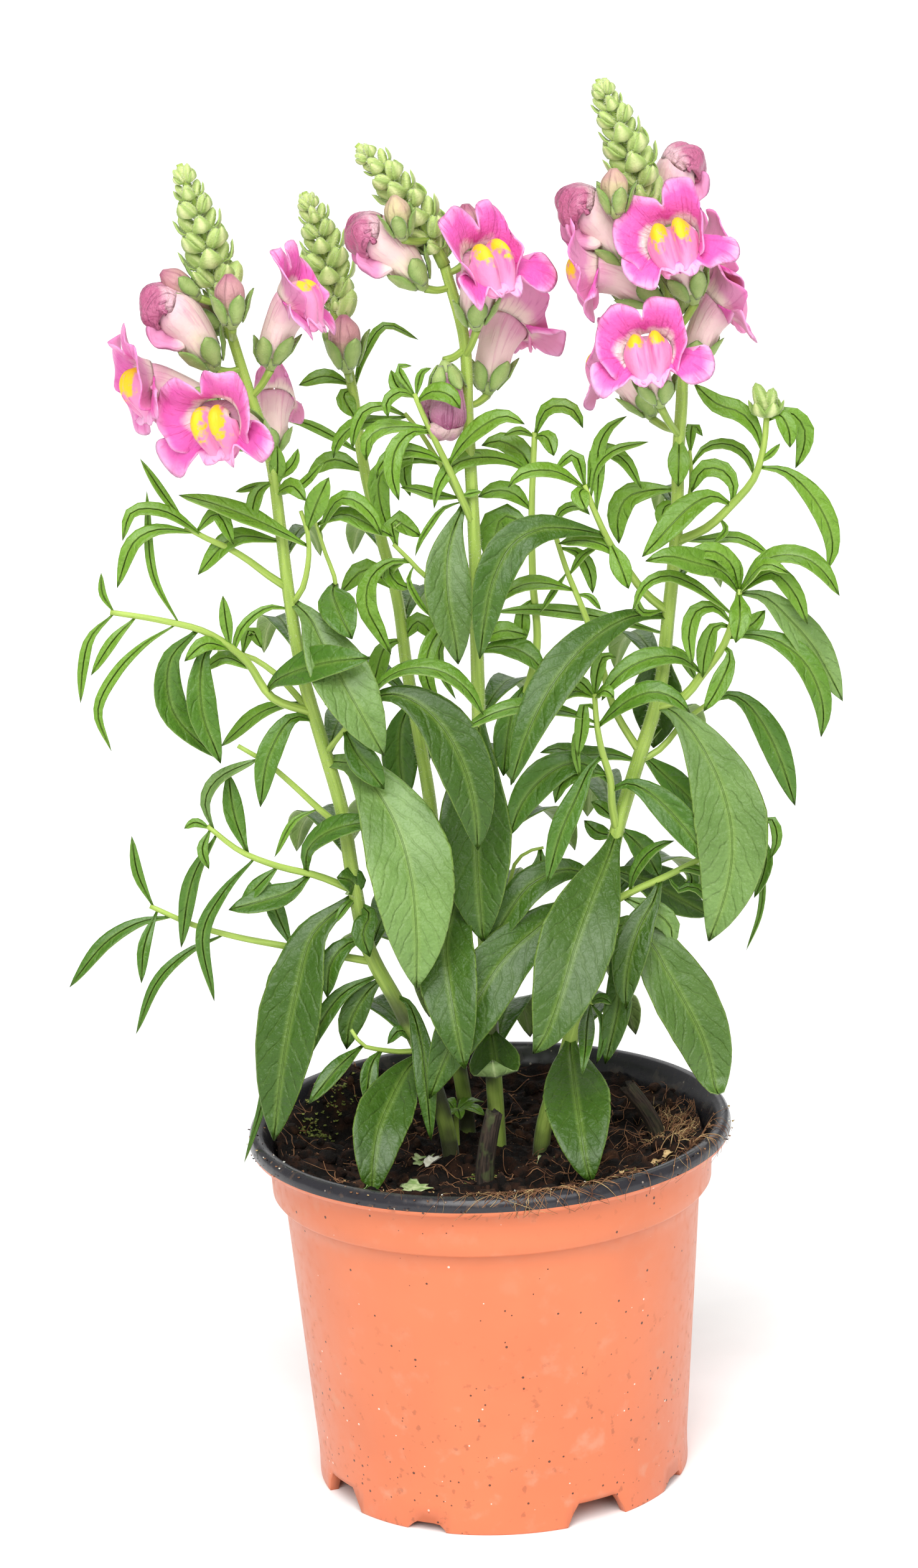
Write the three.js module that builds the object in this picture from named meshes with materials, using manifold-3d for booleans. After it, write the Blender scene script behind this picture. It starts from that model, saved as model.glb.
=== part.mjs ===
// A snapdragon in its nursery pot, in millimetres, with +Z up and the front towards -Y.
// The middle of the pot's floor stands at the origin.

import * as THREE from 'three';
import { mergeVertices } from 'three/addons/utils/BufferGeometryUtils.js';
import Module from 'manifold-3d';

const wasm = await Module();
wasm.setup();

// ---------------------------------------------------------------- driving dimensions

const POT_HEIGHT = 100;
const RIM_RADIUS = 65;
const BAND_RADIUS = 59.3;
const WALL_TOP_RADIUS = 56.2;
const FOOT_RADIUS = 50.5;
const POT_WALL = 1.4;
const POT_SIDES = 28;
const BAND_TOP = 94;
const BAND_BOTTOM = 81;
const FLOOR_THICKNESS = 1.6;
const FLOOR_UNDERSIDE = 7;
const CENTRE_PAD_RADIUS = 26;
const CHANNEL_INNER = 28;
const CHANNEL_OUTER = 46;
const DRAIN_RADIUS = 5;
const BROAD_NOTCH = { width: 15, height: 6.5, turn: 29 };
const SLIM_NOTCH = { width: 9, height: 2.6, turn: 65 };
const NOTCH_DEPTH = 8;

const SOIL_LEVEL = 90;
const SOIL_LUMP = 2.2;
const SOIL_SIDES = 24;
const SOIL_HEAP = { x: -38, y: 34, height: 9, spread: 160 };
const HOLE_DEPTH = 30;
const HOLE_SPARE = 0.5;
const GAP = 0.3;

// Places on the plant are given as (across, up) in the upright plane through the pot's axis, as
// the eye point sees them, and a depth then moves each one along that line of sight.
const EYE = new THREE.Vector3(0, -1200, 519);

const STEM_BENDS = 12;
const STEM_SIDES = 6;
const SHOOT_BENDS = 5;
const SHOOT_SIDES = 5;
const SHOOT_TAPER = 0.6;
const STUB_SIDES = 7;
const BUD_SIDES = 5;

// A leaf longer than FOLDED_FROM is folded along its midrib. A leaf turns up to LEAF_ROLL radians
// either way, and one seen edge on grows no wider than its seen width over LEAST_FACING.
const BLADE_THICKNESS = 0.9;
const BLADE_FOLD = 0.1;
const FOLDED_FROM = 38;
const LEAF_ROLL = 0.2;
const LEAST_FACING = 0.55;
const PETAL_THICKNESS = 0.8;

// A union drops pieces under SMALLEST_PART (mm3) and edges under SMALLEST_EDGE.
const SMALLEST_PART = 0.05;
const SMALLEST_EDGE = 0.03;
const AXIS_SPACING = 1.2;

const GREEN = { leaf: '#4f8a35', seedling: '#5c9a3a' };
const PINK = { open: '#ef66c4', bud: '#c26a90', withered: '#b8628a' };

// ---------------------------------------------------------------- small tools

const UP = new THREE.Vector3(0, 0, 1);

function seededRandom(seed) {
  let state = seed;
  return () => {
    state = (state * 1664525 + 1013904223) % 4294967296;
    return state / 4294967296;
  };
}

function seen(across, up, depth) {
  const onPlane = new THREE.Vector3(across, 0, up);
  const reach = (depth - EYE.y) / -EYE.y;
  return onPlane.sub(EYE).multiplyScalar(reach).add(EYE);
}

function pairs(numbers) {
  const list = [];
  for (let i = 0; i < numbers.length; i += 2) list.push([numbers[i], numbers[i + 1]]);
  return list;
}

function smoothCurve(points) {
  return new THREE.CatmullRomCurve3(points, false, 'centripetal');
}

function solid(positions, faces) {
  const mesh = new wasm.Mesh({
    numProp: 3,
    vertProperties: new Float32Array(positions.flatMap((p) => [p.x, p.y, p.z])),
    triVerts: new Uint32Array(faces.flat()),
  });
  return new wasm.Manifold(mesh);
}

function solidFromGeometry(geometry) {
  const bare = geometry.clone();
  bare.deleteAttribute('normal');
  bare.deleteAttribute('uv');
  const merged = mergeVertices(bare, 1e-4);
  const mesh = new wasm.Mesh({
    numProp: 3,
    vertProperties: new Float32Array(merged.attributes.position.array),
    triVerts: new Uint32Array(merged.index.array),
  });
  return new wasm.Manifold(mesh);
}

// Joins solids into one and drops the slivers that thin blades leave where they cross.
function join(solids) {
  let list = solids;
  while (list.length > 1) {
    const next = [];
    for (let i = 0; i < list.length; i += 2) {
      next.push(i + 1 < list.length ? list[i].add(list[i + 1]) : list[i]);
    }
    list = next;
  }
  const parts = list[0].simplify(SMALLEST_EDGE).decompose();
  return wasm.Manifold.compose(parts.filter((part) => part.volume() > SMALLEST_PART));
}

function toMesh(name, body, color, roughness) {
  const { numProp, vertProperties, triVerts } = body.getMesh();
  const positions = new Float32Array((vertProperties.length / numProp) * 3);
  for (let i = 0; i < positions.length / 3; i += 1) {
    for (let k = 0; k < 3; k += 1) positions[3 * i + k] = vertProperties[numProp * i + k];
  }
  const geometry = new THREE.BufferGeometry();
  geometry.setAttribute('position', new THREE.BufferAttribute(positions, 3));
  geometry.setIndex(new THREE.BufferAttribute(new Uint32Array(triVerts), 1));
  const material = new THREE.MeshStandardMaterial({ color, roughness, metalness: 0 });
  const mesh = new THREE.Mesh(geometry, material);
  mesh.name = name;
  return mesh;
}

// Skins a row of closed rings, each a list of points, and closes both ends. An end with one
// point closes as a fan.
function skin(rings) {
  const positions = rings.flat();
  const starts = [];
  let count = 0;
  for (const ring of rings) {
    starts.push(count);
    count += ring.length;
  }
  const faces = [];
  for (let r = 0; r + 1 < rings.length; r += 1) {
    const [a, b] = [rings[r].length, rings[r + 1].length];
    const sides = Math.max(a, b);
    for (let i = 0; i < sides; i += 1) {
      const j = (i + 1) % sides;
      const [p, q] = [starts[r] + (a > 1 ? i : 0), starts[r] + (a > 1 ? j : 0)];
      const [s, t] = [starts[r + 1] + (b > 1 ? i : 0), starts[r + 1] + (b > 1 ? j : 0)];
      if (a > 1) faces.push([p, q, s]);
      if (b > 1) faces.push([q, t, s]);
    }
  }
  for (let i = 1; i + 1 < rings[0].length; i += 1) {
    faces.push([starts[0], starts[0] + i + 1, starts[0] + i]);
  }
  const last = rings.length - 1;
  for (let i = 1; i + 1 < rings[last].length; i += 1) {
    faces.push([starts[last], starts[last] + i, starts[last] + i + 1]);
  }
  return solid(positions, faces);
}

function acrossFrame(tangent, hint) {
  const side = new THREE.Vector3().crossVectors(hint, tangent).normalize();
  const face = new THREE.Vector3().crossVectors(tangent, side).normalize();
  return { side, face };
}

// A round stalk through its bends, with a radius for its start and its end. Each length between
// two bends is a slim pyramid, cut at its far end by the plane that halves the bend, so every
// side of it is flat.
function stalk(centres, startRadius, endRadius, sides) {
  const steps = centres.length - 1;
  const chords = centres.slice(1).map((centre, k) => centre.clone().sub(centres[k]));
  const { side, face } = acrossFrame(chords[0].clone().normalize(), new THREE.Vector3(0, -1, 0));
  const first = [];
  for (let i = 0; i < sides; i += 1) {
    const angle = (2 * Math.PI * i) / sides;
    const corner = centres[0].clone().addScaledVector(side, Math.cos(angle) * startRadius);
    first.push(corner.addScaledVector(face, Math.sin(angle) * startRadius));
  }
  const rings = [first];
  const radiusAt = (k) => startRadius + ((endRadius - startRadius) * k) / steps;
  for (let k = 0; k < steps; k += 1) {
    const taper = Math.min(radiusAt(k + 1) / radiusAt(k), 0.9999);
    const apex = centres[k].clone().addScaledVector(chords[k], 1 / (1 - taper));
    const before = chords[k].clone().normalize();
    const halving = before.clone().add(chords[Math.min(k + 1, steps - 1)].clone().normalize());
    rings.push(
      rings[k].map((corner) => {
        const run = apex.clone().sub(corner);
        const share = centres[k + 1].clone().sub(corner).dot(halving) / run.dot(halving);
        return corner.clone().addScaledVector(run, share);
      }),
    );
  }
  return skin(rings);
}

const LEAF_OUTLINE = [
  [0, 0.16],
  [0.12, 0.3],
  [0.34, 0.82],
  [0.55, 1],
  [0.78, 0.74],
  [0.92, 0.36],
  [1, 0],
];
const SEPAL_OUTLINE = [
  [0, 0.6],
  [0.5, 1],
  [1, 0],
];

function outlineAt(outline, t) {
  for (let i = 1; i < outline.length; i += 1) {
    if (t <= outline[i][0]) {
      const [t0, w0] = outline[i - 1];
      const [t1, w1] = outline[i];
      return w0 + ((w1 - w0) * (t - t0)) / (t1 - t0);
    }
  }
  return outline[outline.length - 1][1];
}

// A thin blade along a curve. A folded blade has four points a station: the two edges, lifted, and
// the two sides of the midrib. A flat one has three: the two edges and the back of the midrib.
// The foot is a small copy of the next station, so the blade's sides are flat where it roots.
function blade(curve, width, facing, outline, stations, thickness, fold) {
  const sectionAt = (t, centre, size) => {
    const tangent = curve.getTangentAt(t);
    const { side, face } = acrossFrame(tangent, facing(centre, tangent));
    const share = outlineAt(outline, t);
    const half = (width * share * size) / 2;
    const lift = width * share * fold * size;
    const deep = thickness * size;
    const left = side.clone().multiplyScalar(half).addScaledVector(face, lift);
    const right = side.clone().multiplyScalar(-half).addScaledVector(face, lift);
    const back = face.clone().multiplyScalar(fold > 0 ? -deep / 2 : -deep);
    const front = face.clone().multiplyScalar(deep / 2);
    return (fold > 0 ? [left, front, right, back] : [left, right, back]).map((p) => p.add(centre));
  };
  const rings = stations.map((t, k) => {
    const centre = curve.getPointAt(t);
    if (outlineAt(outline, t) === 0) return [centre];
    if (k > 0) return sectionAt(t, centre, 1);
    const next = stations[1];
    return sectionAt(next, centre, outlineAt(outline, t) / outlineAt(outline, next));
  });
  return skin(rings);
}

// A thin wavy sheet from a grid of places. Its border is sharp and the middle is thick, so the
// two faces share the border and part over the inner places.
function sheet(grid, thickness) {
  const [rows, columns] = [grid.length, grid[0].length];
  const positions = [];
  const front = grid.map((row) => row.map(() => 0));
  const back = grid.map((row) => row.map(() => 0));
  grid.forEach((row, r) => {
    row.forEach((place, c) => {
      front[r][c] = positions.length;
      back[r][c] = positions.length;
      const inner = r > 0 && c > 0 && r + 1 < rows && c + 1 < columns;
      if (!inner) {
        positions.push(place);
        return;
      }
      const along = grid[r][c + 1].clone().sub(grid[r][c - 1]);
      const onward = grid[r + 1][c].clone().sub(grid[r - 1][c]);
      const normal = along.cross(onward).setLength(thickness / 2);
      positions.push(place.clone().add(normal), place.clone().sub(normal));
      back[r][c] += 1;
    });
  });
  const faces = [];
  for (let r = 0; r + 1 < rows; r += 1) {
    for (let c = 0; c + 1 < columns; c += 1) {
      const crossed = r < (rows - 1) / 2 !== c < (columns - 1) / 2;
      const corners = (side) => [side[r][c], side[r][c + 1], side[r + 1][c + 1], side[r + 1][c]];
      const [a, b, d, e] = corners(front);
      const [k, l, m, n] = corners(back);
      if (crossed) faces.push([a, b, e], [b, d, e], [l, k, n], [m, l, n]);
      else faces.push([a, b, d], [a, d, e], [l, k, m], [m, k, n]);
    }
  }
  return solid(positions, faces);
}

// A closed egg shape along an axis, used for buds.
function egg(from, to, radius, sides, shares) {
  const axis = to.clone().sub(from);
  const hint = Math.abs(axis.z) > 0.9 * axis.length() ? new THREE.Vector3(0, -1, 0) : UP;
  const { side, face } = acrossFrame(axis.clone().normalize(), hint);
  const rings = shares.map(([t, share]) => {
    const centre = from.clone().addScaledVector(axis, t);
    if (share === 0) return [centre];
    const ring = [];
    for (let i = 0; i < sides; i += 1) {
      const angle = (2 * Math.PI * i) / sides;
      const r = radius * share;
      ring.push(
        centre
          .clone()
          .addScaledVector(side, Math.cos(angle) * r)
          .addScaledVector(face, Math.sin(angle) * r),
      );
    }
    return ring;
  });
  return skin(rings);
}

// ---------------------------------------------------------------- the plant's layout
//
// line: (across, up) places along the stem, from the soil to the foot of its flower spike.
// depths: how deep the stem stands at its foot and at its top, with + away from the viewer.
// shoots: radius, how far the tip comes forward, then (across, up) places from the parent.
// leaves: width as seen, how far the tip comes forward, how flat it lies (0 upright and facing
// the front, 1 level), then (across, up) places along the midrib from its foot.
// backLeaves: height of the foot, bearing (0 front, 90 right, 180 back), length and width.

const LEFT_STEM = {
  name: 'leafy_stem_left',
  depths: [-6, -14],
  radii: [2.4, 1.3],
  line: [-11, 94, -14, 108, -21, 128, -29, 144, -33, 165, -34.5, 180, -36, 190, -39, 203.6,
    -42, 213, -44, 225, -46.3, 244.6, -47.6, 262, -48.2, 275, -50.8, 290, -54, 301, -57, 312, -59, 321],
  shoots: [
    [1.1, 4, -47, 248, -49.5, 250, -59.6, 258.2, -66.9, 262.1, -72.5, 265.5],
    [0.9, 5, -46, 243, -44, 245.3, -41.1, 253.6, -40.6, 261.8, -42.2, 268.4],
    [0.8, -3, -44, 225, -36, 238, -34, 248, -36.5, 257.5, -38.6, 265.5],
    [1.2, 8, -42.5, 214, -46, 213.6, -54.4, 221.2, -60.9, 232.2, -68.4, 237, -85.4, 242.1, -93.4, 243.6],
    [1.0, -4, -42.7, 214.5, -50, 224, -57.5, 230, -66, 231.5],
    [1.0, 3, -36, 182, -41.6, 187.9, -53.8, 200.3, -62, 206],
    [1.1, 6, -33, 164, -45.6, 170.5, -59.1, 174.5, -71.3, 184.4],
    [1.1, 2, -29, 144, -49.4, 149.5, -68.7, 154.4, -81.5, 159.4, -87.8, 163],
    [0.9, 10, -38.5, 203, -33, 210, -27, 217.5],
    [0.8, 8, -18, 119, -21, 119, -34, 122, -36, 126],
  ],
  leaves: [
    [5, 4, 0.6, -41.7, 258.3, -53, 266, -64, 271, -73.7, 274],
    [5, 3, 0.5, -47.5, 260, -60, 262, -69.9, 252.6],
    [4.5, 2, 0.3, -48, 274, -47.6, 280, -47.4, 286],
    [2, 0, 0.5, -48.5, 276, -58.9, 274.2],
    [4, 5, 0.3, -48.8, 277, -53, 274, -55.6, 265.5],
    [4, 7, 0.4, -47.8, 273, -44, 275, -40.7, 271],
    [3, 2, 0.3, -48.5, 277, -43.5, 281, -42, 285],
    [2.5, 3, 0.4, -48, 273, -42, 275, -35.4, 281.2],
    [2.5, 4, 0.5, -45.5, 242, -52, 243, -59, 238, -62.5, 230],
    [6.5, 8, 0.4, -41.5, 212, -47, 213, -54, 203, -57, 189],
    [4, -6, 0.4, -44, 217, -55, 215, -66.5, 206],
    [3.5, 3, 0.5, -66.9, 262, -78, 270, -86, 270, -89, 262.5],
    [4, 4, 0.5, -70, 264, -80, 265, -86, 262, -91.2, 250],
    [2.5, 0, 0.4, -72.5, 265.5, -78, 275, -83.1, 284.1],
    [4, 4, 0.4, -70, 263.5, -64, 268.6, -60.1, 260.2],
    [6, 4, 0.3, -40.8, 263, -38, 270, -34.4, 277],
    [5, 3, 0.5, -38.3, 264, -31, 267, -24, 263.5, -18.5, 260.5],
    [4, 5, 0.5, -38, 262, -32, 271, -28, 270.5, -23.5, 266, -21.5, 261],
    [10, 16, 0.35, -34, 249, -35, 246.5, -33.5, 241, -30.5, 233.5],
    [3, 10, 0.4, -37, 236, -33, 237, -35, 230.5],
    [15.5, 18, 0.25, -45, 243.8, -41.5, 240, -38.2, 232.5, -34.8, 225, -30.5, 216, -23.7, 201.7],
    [8, 6, 0.3, -33, 209, -31, 203, -27, 197, -24, 192.4],
    [9, 16, 0.4, -54, 220.5, -51, 223.2, -42, 226.6, -33, 228, -26, 228.2],
    [4.5, 6, 0.5, -27, 217.5, -22, 222.5, -15, 225, -7, 223.5, -1, 218.5, 3, 211.5],
    [14.5, 10, 0.3, -27, 217.5, -21, 218.2, -15, 216, -8, 209, -2.5, 197, -0.2, 185, 0, 174.5],
    [22.5, 24, 0.2, -37, 200.5, -32, 199.5, -26.5, 193, -21, 181.5, -18, 168, -17.3, 153, -18, 136.8],
    [2, 2, 0.4, -41.6, 187.5, -48, 185, -54, 175],
    [6, 8, 0.4, -45.5, 171, -45, 176.5, -40, 181, -32, 183.2, -23.2, 183.9],
    [7, 4, 0.4, -32, 163.5, -34, 167.5, -37.8, 168.7],
    [2.2, 4, 0.4, -32, 163, -36, 160.3, -39, 156],
    [6.5, 8, 0.3, -31.5, 161.5, -29.5, 158, -31.5, 153, -30, 146.2],
    [6.2, 6, 0.35, -30.5, 151, -35, 150.5, -40.5, 145, -42, 135.3],
    [16.5, 14, 0.25, -32, 163, -38, 159.5, -45, 153, -50, 138, -54.4, 119.5, -58.4, 95.5],
    [7.5, 2, 0.3, -27, 139.8, -31.5, 136, -36, 128.5, -37.5, 120.5],
    [5, 6, 0.35, -28.5, 141, -38, 136, -45.5, 126, -50, 115.5],
    [5, 12, 0.4, -33.5, 121.8, -40, 115.5, -48.5, 105.6],
    [5, 8, 0.3, -28, 121, -31, 116, -33, 105],
    [3, 3, 0.5, -18, 122, -23, 125.2, -26.5, 121.5],
    [6, 19, 0.2, -24, 135, -20.5, 133, -17.5, 122, -16.5, 108, -16, 93.6],
    [15, 34, 0.3, -17, 118, -21.5, 114, -26, 106, -30, 97, -32, 86, -33, 78],
    [4, 4, 0.35, -59, 174.3, -68, 166, -74.2, 154.7, -72.2, 135.7],
    [4, 2, 0.35, -53, 172, -58, 168, -64, 162],
    [7, 6, 0.35, -44.5, 170, -50, 165.5, -58, 163, -67, 161],
    [4.5, -2, 0.3, -69.7, 180.5, -76, 170, -80.2, 151.1],
    [5.5, -3, 0.3, -60.9, 176, -64, 187, -65, 199],
    [3.5, 0, 0.4, -69, 184, -71.5, 191, -68, 197, -56.5, 202.3],
    [2.5, 0, 0.3, -71, 184.4, -74.5, 185.5, -77.5, 184],
    [3, 4, 0.3, -71, 183.5, -73, 178, -71.5, 172.5],
    [3, 0, 0.3, -87.8, 163, -90.5, 172, -91.5, 182.6],
    [4, 4, 0.45, -81.5, 159.4, -91, 158.5, -100, 153.5, -110.7, 141.3],
    [3.5, 6, 0.3, -86, 161.5, -90, 152, -91.4, 141.6],
    [3, 4, 0.35, -67.7, 153.9, -78, 150, -87, 142, -93.7, 127.4],
    [5, 4, 0.3, -50, 150, -54, 144, -58, 132],
    [5, -4, 0.3, -50, 149.8, -54, 159, -57, 170],
    [2.8, 6, 0.3, -49, 149, -56, 128, -61, 106, -66.7, 89.6],
    [2, 0, 0.3, -93, 243.6, -95, 248.5, -95.1, 254.3],
    [3, 3, 0.4, -92.5, 243, -99, 237, -101.5, 229, -102.7, 219.5],
    [3, 3, 0.4, -86, 242, -93, 236, -99.5, 226.8],
    [3, 4, 0.3, -76, 239.8, -85, 234.6, -93, 227, -98.3, 217, -95.4, 206],
    [2.5, -2, 0.3, -75.5, 240, -81.5, 253, -81.9, 275.5],
    [3.5, 2, 0.3, -61.4, 233.5, -63.3, 240, -63.7, 246.8],
    [4, 0, 0.4, -60, 231, -57, 237.5, -54.2, 232.1],
    [4, 6, 0.4, -61.5, 232.5, -69, 234, -74.8, 229.5],
    [8, 6, 0.25, -64.5, 235.5, -69, 232, -71, 217, -66.8, 201.4],
    [8, -3, 0.3, -71, 237.5, -78.5, 230, -78.5, 216, -68, 203],
    [3.6, -2, 0.5, -57.3, 226, -64, 230, -70, 226.8],
  ],
  backLeaves: [
    [122, 215, 40, 11],
    [150, 160, 42, 12],
    [176, 205, 40, 11],
    [204, 165, 38, 10],
    [232, 200, 34, 8],
    [258, 160, 28, 6],
  ],
};

const BACK_LEFT_STEM = {
  name: 'leafy_stem_back_left',
  depths: [14, 17],
  radii: [2.2, 1.3],
  line: [-6, 97, -8, 120, -10, 145, -11, 165, -12, 187, -13.3, 200, -15.5, 216, -17, 230,
    -18.3, 245, -20.3, 256, -22.5, 264, -25, 278, -26.2, 288, -27.2, 300, -28.3, 307, -30, 317],
  shoots: [],
  leaves: [
    [5, 3, 0.3, -27.3, 300, -29.5, 298.5, -27, 292.5],
    [4, 0, 0.5, -27.5, 301, -34, 303.5, -41, 301.5],
    [2.6, -4, 0.5, -26.5, 299, -24, 308, -18, 316, -9.5, 312],
    [2.8, -2, 0.4, -25.7, 282.5, -31, 286.5, -40, 291.5, -46, 293],
    [5, -2, 0.4, -25, 278, -33, 281.5, -40, 278],
    [5.5, 4, 0.35, -18.6, 247, -26, 252, -33, 246],
    [5.5, 4, 0.35, -17.3, 233, -21.5, 231.5, -26, 219.5],
    [5, 2, 0.4, -17.2, 233, -13, 237.5, -8.5, 232.5],
    [10, -2, 0.2, -15.8, 217, -18.5, 210, -19.5, 200, -18.5, 188.5],
  ],
  backLeaves: [
    [118, 190, 46, 13],
    [136, 235, 44, 12],
    [154, 175, 46, 13],
    [172, 215, 44, 12],
    [192, 180, 42, 11],
    [212, 225, 38, 10],
    [232, 165, 36, 9],
    [252, 200, 30, 8],
  ],
};

const MIDDLE_STEM = {
  name: 'leafy_stem_middle',
  depths: [0, -4],
  radii: [2.4, 1.4],
  line: [2, 93, 1.5, 120, 1, 150, 1, 180, 1.8, 212, 2.1, 230, 2.6, 250, 2.6, 265, 2.4, 284,
    2.2, 300, 2, 315, 0, 323, -2, 331],
  shoots: [
    [1.1, 8, 2.4, 263, -0.5, 271, -3, 277.5, -6, 284.5, -9.7, 293.5, -11.3, 298],
    [0.9, -2, 2, 262, -1.5, 272, -5, 279, -9, 285, -11, 290, -14, 293],
    [0.9, 2, 2.5, 240, -4, 245, -11, 250, -14, 253.5, -18.5, 258.5],
    [1.3, -4, 1.5, 194, 9, 206, 16.5, 221, 18, 238, 17.3, 250, 16.8, 260, 18.8, 272, 19.5, 286.5],
    [0.7, 4, 1, 160, 7, 162, 9.5, 170, 13.5, 173.8, 17.5, 174.5],
  ],
  leaves: [
    [3, 4, 0.5, -11.3, 296.5, -15, 298.5, -18.5, 296, -18.3, 292],
    [5, 5, 0.4, -10.8, 295.5, -6.5, 298.3, -2, 297, 0.5, 293.5],
    [2.2, 0, 0.4, -11.2, 297.5, -9, 303.5, -6.5, 304.5],
    [4, -4, 0.4, -11.8, 296.5, -15.5, 300, -17, 304.5],
    [2.5, -3, 0.5, -11.5, 297.5, -15, 305, -11.5, 305.3],
    [5, 8, 0.3, -7.5, 288, -12.5, 287.8, -16.5, 284, -18, 277, -16.5, 270],
    [4, 2, 0.5, -8, 288.5, -14, 289.3, -20.5, 289, -24, 286, -24.5, 281],
    [4, 4, 0.4, -3.3, 279.5, -9.5, 282.2, -15.5, 283, -21, 279.5, -22, 276],
    [6, -2, 0.3, -5, 279, -14, 281, -21, 277, -21.5, 270, -19, 260],
    [5, 4, 0.4, -2.8, 279, 1, 284.5, 6.5, 289, 12, 291, 17, 288.7],
    [2, 1, 0.4, -0.5, 270.5, 5, 271.5],
    [3, 3, 0.5, -0.8, 270, -7, 271, -12, 272.7, -16, 273.5],
    [1.8, 2, 0.4, -0.5, 268.5, -5, 267.5, -8.5, 263.5, -11.5, 259, -13, 255],
    [12.5, 14, 0.25, 0.5, 268, -2.5, 262, -4.6, 254, -4.8, 243, -3.5, 232, -3, 225.5],
    [4, -2, 0.4, -6, 281, -12, 283, -14.8, 278, -13.5, 271],
    [3, 3, 0.5, -13.8, 292.8, -20, 295, -24.5, 293.8, -27.2, 288.5, -28, 284],
    [3.8, 0, 0.5, -13.5, 292, -21, 291, -27, 290.3, -31.7, 286, -33, 282],
    [5.5, 3, 0.35, -14, 253.6, -19.5, 253.8, -25, 249.5, -26.2, 242, -23.5, 235.5, -20.5, 229],
    [5, -3, 0.4, -15, 254.5, -20, 252, -17.5, 247.5, -14.5, 246.5],
    [1.8, 1, 0.4, -13.5, 253, -15, 249, -13, 243.5, -9.5, 238.5],
    [5, -2, 0.45, -18.3, 258, -18.5, 265, -15, 263, -11, 260],
    [4, 4, 0.5, 19.5, 286, 22.5, 292, 26, 293.2, 30, 291.5, 32, 287],
    [4.5, 6, 0.3, 19.5, 286, 22.5, 285, 24.2, 280],
    [2.2, 3, 0.5, 19.3, 285.5, 15.5, 287, 11.5, 286],
    [6, -4, 0.35, 18.7, 274, 16.5, 280.5, 10.5, 284.5, 5.5, 283.6],
    [4.5, 10, 0.45, 18.8, 275, 13, 279, 6, 280.5, -1.5, 279, -6, 273.5, -7.5, 267.5],
    [5, 0, 0.4, 17.6, 265.5, 13, 270.7, 8.5, 271.5, 4, 270],
    [9, -4, 0.3, 17, 262, 10.5, 264.5, 8, 259, 7, 251.5],
    [19.5, 16, 0.2, 1.8, 212, 1.5, 204, 0.2, 190, -0.3, 175, -0.2, 162, 0.4, 149],
    [5, 9, 0.3, 2, 238, -4, 237.5, -9.5, 232, -11.6, 223, -8.2, 213],
    [2.5, -4, 0.3, 2, 234, -7, 231.5, -7.5, 224, -4, 216],
    [6, 6, 0.4, 2.2, 229, 9, 229.8, 15, 227.5, 20, 221.8],
    [5, 2, 0.5, 2, 231.5, 9, 234, 15.5, 232.5],
    [4.5, 3, 0.3, 18, 242, 15, 240, 14, 234, 13.5, 229],
    [8, 5, 0.3, 15.5, 218.5, 12, 215.5, 9.5, 207, 7.6, 194.6],
    [6, 4, 0.3, 17.3, 174.3, 16.5, 169, 13.3, 160.5],
    [16, 34, 0.2, 1, 168, -5, 163, -9.5, 150, -9.3, 139, -8, 127, -6, 113.5],
    [14, 16, 0.5, 1.5, 124, 2, 118, 2.5, 110, 3, 102.5],
  ],
  backLeaves: [
    [116, 165, 46, 13],
    [134, 120, 46, 13],
    [152, 170, 46, 13],
    [172, 140, 44, 12],
    [190, 165, 40, 11],
    [210, 150, 36, 10],
    [232, 175, 30, 8],
  ],
};

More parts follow.
